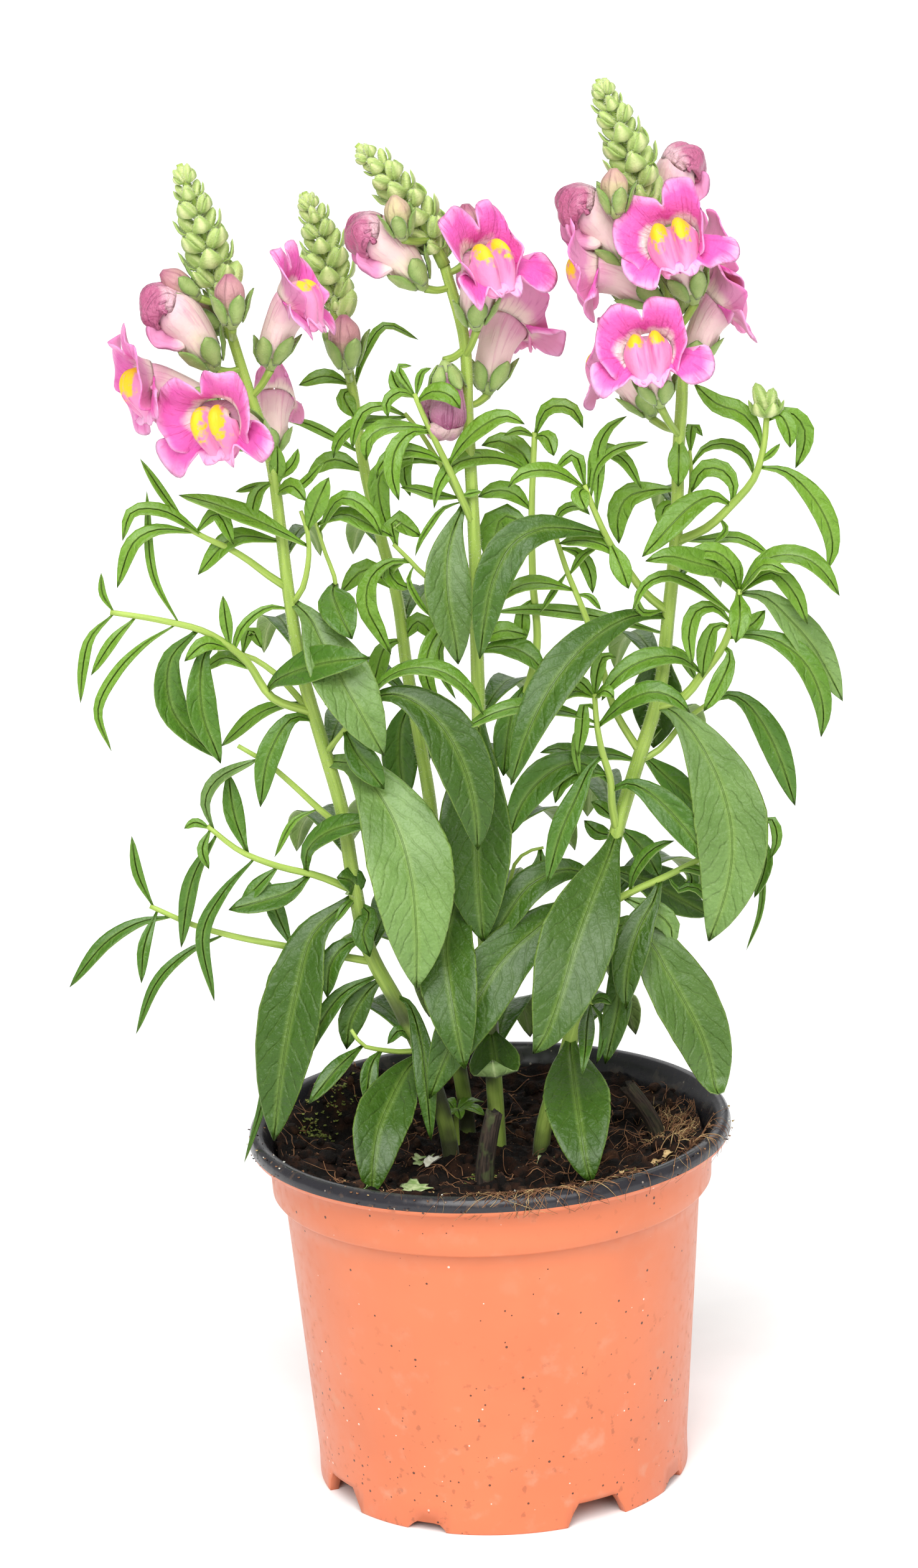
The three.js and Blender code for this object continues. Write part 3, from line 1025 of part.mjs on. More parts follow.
// Rows along a flower's body, from its foot to the face of its lip: forward place, height, how
// far the row tips forward in degrees, half width, half depth and how deep its middle is grooved.
const TUBE_ROWS = {
  open: [
    [0.1, 0.3, 0, 2.2, 2.2, 0],
    [1.2, 3.8, 14, 4.3, 4.2, 0],
    [3.4, 10, 24, 4.9, 4.7, 0],
    [7, 15.4, 46, 6.4, 6, 0.1],
    [11.4, 17.8, 74, 7, 6.2, 0.26],
    [14.6, 18, 84, 4.4, 3.4, 0.42],
  ],
  half: [
    [0, 0.3, 0, 2.2, 2.2, 0],
    [0, 3.8, 0, 4.3, 4.2, 0],
    [0, 11, 4, 5, 4.8, 0],
    [1, 17, 24, 5.4, 5.2, 0.12],
    [3, 20.6, 40, 3.6, 3.2, 0.36],
  ],
  bud: [
    [0, 0.3, 0, 2, 2, 0],
    [0, 3.2, 0, 3.3, 3.3, 0],
    [0, 7.6, 0, 3.5, 3.5, 0],
    [0, 11, 0, 1, 1, 0],
  ],
};
TUBE_ROWS.withered = TUBE_ROWS.half;
const TUBE_SIDES = 8;

function tubeSolid(place, rows) {
  const rings = rows.map(([x, z, tipped, wide, deep, groove]) => {
    const tip = THREE.MathUtils.degToRad(tipped);
    const ring = [];
    for (let i = 0; i < TUBE_SIDES; i += 1) {
      const angle = (2 * Math.PI * i) / TUBE_SIDES;
      const dent = i === 0 || i * 2 === TUBE_SIDES ? 1 - groove : 1;
      const ahead = Math.cos(angle) * deep * dent;
      ring.push(place(x + ahead * Math.cos(tip), Math.sin(angle) * wide, z - ahead * Math.sin(tip)));
    }
    return ring;
  });
  return skin(rings);
}

// Columns run across a lip from its left to its right, and rows from its root to its edge.
const UPPER_LIP = [
  [-1, 13.4, 29],
  [-0.72, 12.4, 35.4],
  [-0.34, 6.4, 38],
  [0, 0, 30],
  [0.34, 6.4, 38],
  [0.72, 12.4, 35.4],
  [1, 13.4, 29],
];

function upperLip(place) {
  const grid = [0, 0.5, 1].map((share) =>
    UPPER_LIP.map(([across, reach, top]) => {
      const spread = Math.sin((share * Math.PI) / 2);
      const side = THREE.MathUtils.lerp(across * 5, Math.sign(across) * reach, spread);
      const height = THREE.MathUtils.lerp(18.5, top, share);
      const curl = 5 * share * share + 2.4 * Math.abs(across) * share;
      const cleft = across === 0 ? -1.4 * share : 0;
      return place(5.6 + 2 * across * across - curl + cleft, side, height);
    }),
  );
  return sheet(grid, PETAL_THICKNESS);
}

// Bearing of each column round the lower lip (0 straight down) and its reach.
const LOWER_LIP = [
  [-100, 12],
  [-74, 16.5],
  [-40, 9.4],
  [-15, 13.4],
  [15, 13.4],
  [40, 9.4],
  [74, 16.5],
  [100, 12],
];
const LOWER_LIP_ROOT = [10.5, 16];

function lowerLip(place) {
  const grid = [0.3, 0.66, 1].map((share) =>
    LOWER_LIP.map(([degrees, reach]) => {
      const angle = THREE.MathUtils.degToRad(degrees);
      const out = reach * share;
      const wave = share === 1 ? 1.6 * Math.cos(3 * angle) : 0;
      const ahead = LOWER_LIP_ROOT[0] + 3.6 * share + wave;
      return place(ahead, Math.sin(angle) * out, LOWER_LIP_ROOT[1] - Math.cos(angle) * out * 0.85);
    }),
  );
  return sheet(grid, PETAL_THICKNESS);
}

function openBloom(place) {
  return join([tubeSolid(place, TUBE_ROWS.open), upperLip(place), lowerLip(place)]);
}

const FLOWER_COLOURS = { open: PINK.open, half: PINK.bud, bud: PINK.bud, withered: PINK.withered };

function flowerBody(kind, place) {
  return kind === 'open' ? openBloom(place) : tubeSolid(place, TUBE_ROWS[kind]);
}

const PEDICEL_DROP = 5;
const CUP = { floor: 2.5, notch: 3.1, half: 0.42, middle: 3.2, tip: 6, swell: 0.9, spare: 0.8 };

// The green cup under a flower, with its five sepals, and the short stalk that carries it.
function calyxSolid(kind, place, stemPoint) {
  const rows = TUBE_ROWS[kind];
  const spread = rows[1][3] + CUP.spare;
  const at = (angle, radius, height) => {
    const shift = (rows[1][0] * Math.max(0, height)) / rows[1][1];
    return place(shift + Math.cos(angle) * radius, Math.sin(angle) * radius, height);
  };
  const left = place(0, 1, 0).sub(place(0, 0, 0)).normalize();
  const low = place(0, 0, -2.2);
  const tangent = low.clone().sub(stemPoint).normalize();
  const ahead = new THREE.Vector3().crossVectors(left, tangent).normalize();
  const square = new THREE.Vector3().crossVectors(tangent, ahead);
  const positions = [];
  const add = (point) => positions.push(point) - 1;
  const fifths = [0, 1, 2, 3, 4];
  const angles = fifths.map((i) => (2 * Math.PI * i) / 5);
  const ringRound = (centre, radius) =>
    angles.map((a) =>
      add(
        centre
          .clone()
          .addScaledVector(ahead, Math.cos(a) * radius)
          .addScaledVector(square, Math.sin(a) * radius),
      ),
    );
  const foot = ringRound(stemPoint, 0.8);
  const neck = ringRound(low, 1);
  const notch = angles.map((a) => add(at(a, CUP.notch, -0.1)));
  const floor = angles.map((a) => add(at(a, CUP.floor, 0)));
  const faces = [
    [foot[0], foot[2], foot[1]],
    [foot[0], foot[3], foot[2]],
    [foot[0], foot[4], foot[3]],
    [floor[0], floor[1], floor[2]],
    [floor[0], floor[2], floor[3]],
    [floor[0], floor[3], floor[4]],
  ];
  fifths.forEach((i) => {
    const j = (i + 1) % 5;
    faces.push([foot[i], foot[j], neck[i]], [foot[j], neck[j], neck[i]]);
    faces.push([neck[i], neck[j], notch[i]], [neck[j], notch[j], notch[i]]);
    const middle = angles[i] + Math.PI / 5;
    const before = add(at(middle - CUP.half, spread, CUP.middle));
    const after = add(at(middle + CUP.half, spread, CUP.middle));
    const tip = add(at(middle, spread + 0.7, CUP.tip));
    const swell = add(at(middle, spread + CUP.swell, CUP.middle - 0.2));
    const rim = [notch[i], notch[j], after, tip, before];
    rim.forEach((corner, k) => faces.push([corner, rim[(k + 1) % 5], swell]));
    faces.push([floor[j], floor[i], notch[i]], [floor[j], notch[i], before]);
    faces.push([notch[j], floor[j], before], [notch[j], before, after], [after, before, tip]);
  });
  return solid(positions, faces);
}

function placeFlower([name, kind, stem, across, up, forward, bearing, lean, size]) {
  const depth = depthAlong(stem, up) - forward;
  const seat = seen(across, up, depth);
  const drop = PEDICEL_DROP * Math.cos(THREE.MathUtils.degToRad(lean));
  return { name, kind, stem, across, root: up - drop, place: flowerFrame(bearing, lean, size, seat) };
}

// ---------------------------------------------------------------- assembly

const plant = new THREE.Group();
const flowers = FLOWERS.map(placeFlower);
const soilHoles = [];

function makeLeafyStem(stem, seed) {
  const random = seededRandom(seed);
  const mainPlaces = pairs(stem.line).map(([a, u]) => [a, u, depthAlong(stem, u)]);
  const spikePlaces = pairs(SPIKES.get(stem).line).map(([a, u]) => [a, u, stem.depths[1]]);
  const mainBends = bendsAlong(mainPlaces, STEM_BENDS);
  const spikeBends = spikePlaces.slice(1).map((p) => new THREE.Vector3(...p));
  const axes = [sampleAxis([...mainBends, ...spikeBends])];
  const centres = mainBends.map((bend) => seen(bend.x, bend.y, bend.z));
  centres[0].z = SOIL_LEVEL + 4;
  centres.unshift(centres[0].clone().setZ(SOIL_LEVEL - HOLE_DEPTH + GAP));
  soilHoles.push([centres[0].x, centres[0].y, stem.radii[0] + HOLE_SPARE]);
  const solids = [stalk(centres, stem.radii[0], stem.radii[1], STEM_SIDES)];
  stem.shoots.forEach(([radius, forward, ...numbers]) => {
    const places = pairs(numbers);
    const foot = nearestOnAxes(axes, places[0][0], places[0][1]);
    const bends = bendsAlong(withDepths(places, foot, forward), Math.min(SHOOT_BENDS, places.length));
    axes.push(sampleAxis(bends));
    const line = bends.map((bend) => seen(bend.x, bend.y, bend.z));
    solids.push(stalk(line, radius, radius * SHOOT_TAPER, SHOOT_SIDES));
  });
  stem.leaves.forEach((leaf) => solids.push(leafSolid(leaf, axes, random)));
  stem.backLeaves.forEach((leaf) => solids.push(backLeafSolid(centres, leaf)));
  solids.push(...spikeSolids(stem));
  if (stem === RIGHT_STEM) solids.push(...shootBuds(axes));
  flowers
    .filter((flower) => flower.stem === stem)
    .forEach(({ kind, place, across, root }) => {
      const near = nearestOnAxes([axes[0]], across, root);
      const stemPoint = seen(near.x, near.y, near.z);
      solids.push(calyxSolid(kind, place, stemPoint));
    });
  return join(solids);
}

[LEFT_STEM, BACK_LEFT_STEM, MIDDLE_STEM, RIGHT_STEM].forEach((stem, i) => {
  plant.add(toMesh(stem.name, makeLeafyStem(stem, 11 + i), GREEN.leaf, 0.6));
});

flowers.forEach(({ name, kind, place }) => {
  plant.add(toMesh(name, flowerBody(kind, place), FLOWER_COLOURS[kind], 0.55));
});

// A dry stub of an older stem: broken off slanting, with a straight foot in the soil.
function makeStub({ places, radii }) {
  const points = places.map((place) => new THREE.Vector3(...place));
  soilHoles.push([points[0].x, points[0].y, radii[0] + HOLE_SPARE]);
  return stalk(points, radii[0], radii[1], STUB_SIDES);
}

const STUB_FRONT = {
  places: [[-2, -25, 76], [-2, -25, 92], [-0.5, -24.5, 102], [1.5, -23.5, 110]],
  radii: [2.9, 2.4],
  colour: '#3d3128',
};
const STUB_RIGHT = {
  places: [[45, 3, 76], [45, 3, 92], [42.4, 2.4, 98.5], [37, 1.6, 107]],
  radii: [2.6, 2.2],
  colour: '#3d2f29',
};

// Bearing and length of each leaf of the small seedling.
const SEEDLING_LEAVES = [
  [-80, 10],
  [-150, 9],
  [10, 7],
  [60, 9],
  [130, 10],
  [-25, 8],
];
const SEEDLING_PLACE = [-9, 7];
const SEEDLING_HEIGHT = 10;
const SEEDLING_ROOT = 8;
const SEEDLING_HOLE = 1.2;

function makeSeedling() {
  const [x, y] = SEEDLING_PLACE;
  const foot = new THREE.Vector3(x, y, SOIL_LEVEL - SEEDLING_ROOT);
  const crown = new THREE.Vector3(x, y, SOIL_LEVEL + SEEDLING_HEIGHT);
  soilHoles.push([x, y, SEEDLING_HOLE]);
  const leaves = SEEDLING_LEAVES.map(([bearing, length]) => {
    const out = bearingVector(bearing);
    const curve = smoothCurve([
      crown.clone().addScaledVector(UP, -1.2),
      crown.clone().addScaledVector(out, length * 0.5).addScaledVector(UP, 0.8),
      crown.clone().addScaledVector(out, length).addScaledVector(UP, -0.8),
    ]);
    return blade(curve, length * 0.55, () => UP, LEAF_OUTLINE, [0, 0.5, 1], BLADE_THICKNESS, 0);
  });
  return join([stalk([foot, crown], 0.8, 0.7, 5), ...leaves]);
}

plant.add(toMesh('woody_stub_front', makeStub(STUB_FRONT), STUB_FRONT.colour, 0.9));
plant.add(toMesh('woody_stub_right', makeStub(STUB_RIGHT), STUB_RIGHT.colour, 0.9));
plant.add(toMesh('seedling', makeSeedling(), GREEN.seedling, 0.6));
plant.add(toMesh('pot', makePot(), '#ef8d68', 0.45));
plant.add(toMesh('soil', makeSoil(soilHoles), '#2a1c14', 0.95));

export default plant;
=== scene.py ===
"""A pink snapdragon in its terracotta-coloured nursery pot.

The plant, its soil and its pot stand in the row frame: +Z up, the front towards -Y, and the
middle of the pot's foot at the origin. Sizes are in millimetres until a mesh is made, and then
in metres.
"""

import logging
import math
from collections.abc import Callable, Iterable, Sequence
from dataclasses import dataclass, field
from enum import Enum
from functools import partial

import bmesh
import bpy
import numpy as np
from mathutils import Matrix, Vector, noise


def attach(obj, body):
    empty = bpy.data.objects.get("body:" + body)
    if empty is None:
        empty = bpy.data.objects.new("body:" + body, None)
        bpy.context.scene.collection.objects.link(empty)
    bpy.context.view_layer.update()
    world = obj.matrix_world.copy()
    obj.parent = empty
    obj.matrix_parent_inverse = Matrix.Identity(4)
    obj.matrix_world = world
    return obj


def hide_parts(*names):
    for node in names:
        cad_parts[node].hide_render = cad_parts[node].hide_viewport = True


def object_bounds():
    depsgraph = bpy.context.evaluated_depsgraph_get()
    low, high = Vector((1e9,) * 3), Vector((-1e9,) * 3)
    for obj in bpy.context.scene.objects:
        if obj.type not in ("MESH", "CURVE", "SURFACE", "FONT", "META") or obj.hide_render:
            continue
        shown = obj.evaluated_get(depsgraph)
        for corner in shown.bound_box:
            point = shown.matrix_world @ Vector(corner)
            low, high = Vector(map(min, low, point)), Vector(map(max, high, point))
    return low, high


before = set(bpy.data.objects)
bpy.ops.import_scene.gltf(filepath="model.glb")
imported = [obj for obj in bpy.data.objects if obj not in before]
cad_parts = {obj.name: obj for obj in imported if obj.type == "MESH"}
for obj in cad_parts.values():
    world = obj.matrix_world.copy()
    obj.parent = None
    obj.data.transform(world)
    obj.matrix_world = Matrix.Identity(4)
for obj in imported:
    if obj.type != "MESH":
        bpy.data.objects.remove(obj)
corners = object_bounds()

LOG = logging.getLogger("snapdragon")
MM = 0.001

Array = np.ndarray
Socket = bpy.types.NodeSocket


def box_numbers(box: Iterable[Iterable[float]]) -> list[list[float]]:
    """Returns the two corners of a box as plain lists."""
    return [[float(value) for value in corner] for corner in box]


# The CAD model's box in metres, which every finished piece stays in.
CAD_BOX = box_numbers(corners)


# ------------------------------------------------------------------ driving sizes, in mm

POT_HEIGHT = 100.0
RIM_RADIUS = 65.0
BAND_RADIUS = 59.3
WALL_TOP_RADIUS = 56.2
FOOT_RADIUS = 50.5
POT_WALL = 1.4
BAND_TOP = 94.0
BAND_BOTTOM = 81.0
FLOOR_THICKNESS = 1.6
FLOOR_UNDERSIDE = 7.0
CENTRE_PAD_RADIUS = 26.0
CHANNEL_INNER = 28.0
CHANNEL_OUTER = 46.0
DRAIN_RADIUS = 5.0

SOIL_LEVEL = 90.0
SOIL_LUMP = 2.2
HOLE_DEPTH = 30.0
GAP = 0.3

STEM_BENDS = 12
SHOOT_BENDS = 5
SHOOT_TAPER = 0.6
AXIS_SPACING = 1.2
PEDICEL_DROP = 5.0

# How far a leaf may be turned about its midrib, in radians, and the least share of its width
# that the eye is taken to see.
LEAF_ROLL = 0.2
LEAST_FACING = 0.55

# The eye stands in front of the plant. Places on the plant are given as (across, up) in the
# upright plane through the pot's axis as the eye sees them, and a depth moves them along that
# line of sight.
EYE = np.array([0.0, -1200.0, 519.0])
PITCH_DOWN = math.radians(15.2)
ROLL = math.radians(-2.545)
YAW = math.radians(-0.2)
LENS = 107.93
SENSOR = 36.0

UP = np.array([0.0, 0.0, 1.0])
FRONT = np.array([0.0, -1.0, 0.0])


class Bloom(Enum):
    """How far a flower has opened."""

    OPEN = "open"
    HALF = "half"
    BUD = "bud"
    WITHERED = "withered"


# ------------------------------------------------------------------ the plant's layout


@dataclass(frozen=True)
class StemPlan:
    """Where one leafy stem and what grows on it stand.

    line holds (across, up) places from the soil to the foot of the flower spike, and depths how
    deep the stem stands at its foot and at its top. A shoot is a radius, how far its tip comes
    forward, and places from its parent. A leaf is its width as seen, how far its tip comes
    forward, how flat it lies (0 upright, 1 level), and places along its midrib. A back leaf is
    the height of its foot, its bearing (0 front, 90 right), its length and its width. spike is
    the line of the flower spike, and spike_buds the bearings of the bigger buds round its foot.
    """

    node: str
    depths: tuple[float, float]
    radii: tuple[float, float]
    line: tuple[float, ...]
    shoots: tuple[tuple[float, ...], ...]
    leaves: tuple[tuple[float, ...], ...]
    back_leaves: tuple[tuple[float, ...], ...]
    spike: tuple[float, ...]
    spike_buds: tuple[float, ...]
    spike_size: float


LEFT = StemPlan(
    node="leafy_stem_left",
    depths=(-6, -14),
    radii=(2.4, 1.3),
    line=(-11, 94, -14, 108, -21, 128, -29, 144, -33, 165, -34.5, 180, -36, 190, -39, 203.6, -42,
        213, -44, 225, -46.3, 244.6, -47.6, 262, -48.2, 275, -50.8, 290, -54, 301, -57, 312, -59,
        321),
    shoots=(
        (1.1, 4, -47, 248, -49.5, 250, -59.6, 258.2, -66.9, 262.1, -72.5, 265.5),
        (0.9, 5, -46, 243, -44, 245.3, -41.1, 253.6, -40.6, 261.8, -42.2, 268.4),
        (0.8, -3, -44, 225, -36, 238, -34, 248, -36.5, 257.5, -38.6, 265.5),
        (1.2, 8, -42.5, 214, -46, 213.6, -54.4, 221.2, -60.9, 232.2, -68.4, 237, -85.4, 242.1,
            -93.4, 243.6),
        (1, -4, -42.7, 214.5, -50, 224, -57.5, 230, -66, 231.5),
        (1, 3, -36, 182, -41.6, 187.9, -53.8, 200.3, -62, 206),
        (1.1, 6, -33, 164, -45.6, 170.5, -59.1, 174.5, -71.3, 184.4),
        (1.1, 2, -29, 144, -49.4, 149.5, -68.7, 154.4, -81.5, 159.4, -87.8, 163),
        (0.9, 10, -38.5, 203, -33, 210, -27, 217.5),
        (0.8, 8, -18, 119, -21, 119, -34, 122, -36, 126),
    ),
    leaves=(
        (5, 4, 0.6, -41.7, 258.3, -53, 266, -64, 271, -73.7, 274),
        (5, 3, 0.5, -47.5, 260, -60, 262, -69.9, 252.6),
        (4.5, 2, 0.3, -48, 274, -47.6, 280, -47.4, 286),
        (2, 0, 0.5, -48.5, 276, -58.9, 274.2),
        (4, 5, 0.3, -48.8, 277, -53, 274, -55.6, 265.5),
        (4, 7, 0.4, -47.8, 273, -44, 275, -40.7, 271),
        (3, 2, 0.3, -48.5, 277, -43.5, 281, -42, 285),
        (2.5, 3, 0.4, -48, 273, -42, 275, -35.4, 281.2),
        (2.5, 4, 0.5, -45.5, 242, -52, 243, -59, 238, -62.5, 230),
        (6.5, 8, 0.4, -41.5, 212, -47, 213, -54, 203, -57, 189),
        (4, -6, 0.4, -44, 217, -55, 215, -66.5, 206),
        (3.5, 3, 0.5, -66.9, 262, -78, 270, -86, 270, -89, 262.5),
        (4, 4, 0.5, -70, 264, -80, 265, -86, 262, -91.2, 250),
        (2.5, 0, 0.4, -72.5, 265.5, -78, 275, -83.1, 284.1),
        (4, 4, 0.4, -70, 263.5, -64, 268.6, -60.1, 260.2),
        (6, 4, 0.3, -40.8, 263, -38, 270, -34.4, 277),
        (5, 3, 0.5, -38.3, 264, -31, 267, -24, 263.5, -18.5, 260.5),
        (4, 5, 0.5, -38, 262, -32, 271, -28, 270.5, -23.5, 266, -21.5, 261),
        (10, 16, 0.35, -34, 249, -35, 246.5, -33.5, 241, -30.5, 233.5),
        (3, 10, 0.4, -37, 236, -33, 237, -35, 230.5),
        (15.5, 18, 0.25, -45, 243.8, -41.5, 240, -38.2, 232.5, -34.8, 225, -30.5, 216, -23.7, 201.7),
        (8, 6, 0.3, -33, 209, -31, 203, -27, 197, -24, 192.4),
        (9, 16, 0.4, -54, 220.5, -51, 223.2, -42, 226.6, -33, 228, -26, 228.2),
        (4.5, 6, 0.5, -27, 217.5, -22, 222.5, -15, 225, -7, 223.5, -1, 218.5, 3, 211.5),
        (14.5, 10, 0.3, -27, 217.5, -21, 218.2, -15, 216, -8, 209, -2.5, 197, -0.2, 185, 0, 174.5),
        (22.5, 24, 0.2, -37, 200.5, -32, 199.5, -26.5, 193, -21, 181.5, -18, 168, -17.3, 153, -18,
            136.8),
        (2, 2, 0.4, -41.6, 187.5, -48, 185, -54, 175),
        (6, 8, 0.4, -45.5, 171, -45, 176.5, -40, 181, -32, 183.2, -23.2, 183.9),
        (7, 4, 0.4, -32, 163.5, -34, 167.5, -37.8, 168.7),
        (2.2, 4, 0.4, -32, 163, -36, 160.3, -39, 156),
        (6.5, 8, 0.3, -31.5, 161.5, -29.5, 158, -31.5, 153, -30, 146.2),
        (6.2, 6, 0.35, -30.5, 151, -35, 150.5, -40.5, 145, -42, 135.3),
        (16.5, 14, 0.25, -32, 163, -38, 159.5, -45, 153, -50, 138, -54.4, 119.5, -58.4, 95.5),
        (7.5, 2, 0.3, -27, 139.8, -31.5, 136, -36, 128.5, -37.5, 120.5),
        (5, 6, 0.35, -28.5, 141, -38, 136, -45.5, 126, -50, 115.5),
        (5, 12, 0.4, -33.5, 121.8, -40, 115.5, -48.5, 105.6),
        (5, 8, 0.3, -28, 121, -31, 116, -33, 105),
        (3, 3, 0.5, -18, 122, -23, 125.2, -26.5, 121.5),
        (6, 19, 0.2, -24, 135, -20.5, 133, -17.5, 122, -16.5, 108, -16, 93.6),
        (15, 34, 0.3, -17, 118, -21.5, 114, -26, 106, -30, 97, -32, 86, -33, 78),
        (4, 4, 0.35, -59, 174.3, -68, 166, -74.2, 154.7, -72.2, 135.7),
        (4, 2, 0.35, -53, 172, -58, 168, -64, 162),
        (7, 6, 0.35, -44.5, 170, -50, 165.5, -58, 163, -67, 161),
        (4.5, -2, 0.3, -69.7, 180.5, -76, 170, -80.2, 151.1),
        (5.5, -3, 0.3, -60.9, 176, -64, 187, -65, 199),
        (3.5, 0, 0.4, -69, 184, -71.5, 191, -68, 197, -56.5, 202.3),
        (2.5, 0, 0.3, -71, 184.4, -74.5, 185.5, -77.5, 184),
        (3, 4, 0.3, -71, 183.5, -73, 178, -71.5, 172.5),
        (3, 0, 0.3, -87.8, 163, -90.5, 172, -91.5, 182.6),
        (4, 4, 0.45, -81.5, 159.4, -91, 158.5, -100, 153.5, -110.7, 141.3),
        (3.5, 6, 0.3, -86, 161.5, -90, 152, -91.4, 141.6),
        (3, 4, 0.35, -67.7, 153.9, -78, 150, -87, 142, -93.7, 127.4),
        (5, 4, 0.3, -50, 150, -54, 144, -58, 132),
        (5, -4, 0.3, -50, 149.8, -54, 159, -57, 170),
        (2.8, 6, 0.3, -49, 149, -56, 128, -61, 106, -66.7, 89.6),
        (2, 0, 0.3, -93, 243.6, -95, 248.5, -95.1, 254.3),
        (3, 3, 0.4, -92.5, 243, -99, 237, -101.5, 229, -102.7, 219.5),
        (3, 3, 0.4, -86, 242, -93, 236, -99.5, 226.8),
        (3, 4, 0.3, -76, 239.8, -85, 234.6, -93, 227, -98.3, 217, -95.4, 206),
        (2.5, -2, 0.3, -75.5, 240, -81.5, 253, -81.9, 275.5),
        (3.5, 2, 0.3, -61.4, 233.5, -63.3, 240, -63.7, 246.8),
        (4, 0, 0.4, -60, 231, -57, 237.5, -54.2, 232.1),
        (4, 6, 0.4, -61.5, 232.5, -69, 234, -74.8, 229.5),
        (8, 6, 0.25, -64.5, 235.5, -69, 232, -71, 217, -66.8, 201.4),
        (8, -3, 0.3, -71, 237.5, -78.5, 230, -78.5, 216, -68, 203),
        (3.6, -2, 0.5, -57.3, 226, -64, 230, -70, 226.8),
    ),
    back_leaves=(
        (122, 215, 40, 11),
        (150, 160, 42, 12),
        (176, 205, 40, 11),
        (204, 165, 38, 10),
        (232, 200, 34, 8),
        (258, 160, 28, 6),
    ),
    spike=(-59, 321, -61.8, 335, -65.5, 350, -68.5, 360),
    spike_buds=(50, 100, 160),
    spike_size=1.05,
)

BACK_LEFT = StemPlan(
    node="leafy_stem_back_left",
    depths=(14, 17),
    radii=(2.2, 1.3),
    line=(-6, 97, -8, 120, -10, 145, -11, 165, -12, 187, -13.3, 200, -15.5, 216, -17, 230, -18.3,
        245, -20.3, 256, -22.5, 264, -25, 278, -26.2, 288, -27.2, 300, -28.3, 307, -30, 317),
    shoots=(),
    leaves=(
        (5, 3, 0.3, -27.3, 300, -29.5, 298.5, -27, 292.5),
        (4, 0, 0.5, -27.5, 301, -34, 303.5, -41, 301.5),
        (2.6, -4, 0.5, -26.5, 299, -24, 308, -18, 316, -9.5, 312),
        (2.8, -2, 0.4, -25.7, 282.5, -31, 286.5, -40, 291.5, -46, 293),
        (5, -2, 0.4, -25, 278, -33, 281.5, -40, 278),
        (5.5, 4, 0.35, -18.6, 247, -26, 252, -33, 246),
        (5.5, 4, 0.35, -17.3, 233, -21.5, 231.5, -26, 219.5),
        (5, 2, 0.4, -17.2, 233, -13, 237.5, -8.5, 232.5),
        (10, -2, 0.2, -15.8, 217, -18.5, 210, -19.5, 200, -18.5, 188.5),
    ),
    back_leaves=(
        (118, 190, 46, 13),
        (136, 235, 44, 12),
        (154, 175, 46, 13),
        (172, 215, 44, 12),
        (192, 180, 42, 11),
        (212, 225, 38, 10),
        (232, 165, 36, 9),
        (252, 200, 30, 8),
    ),
    spike=(-30, 317, -31.5, 328, -34, 342, -37, 351.5),
    spike_buds=(60, 170, -100),
    spike_size=1,
)

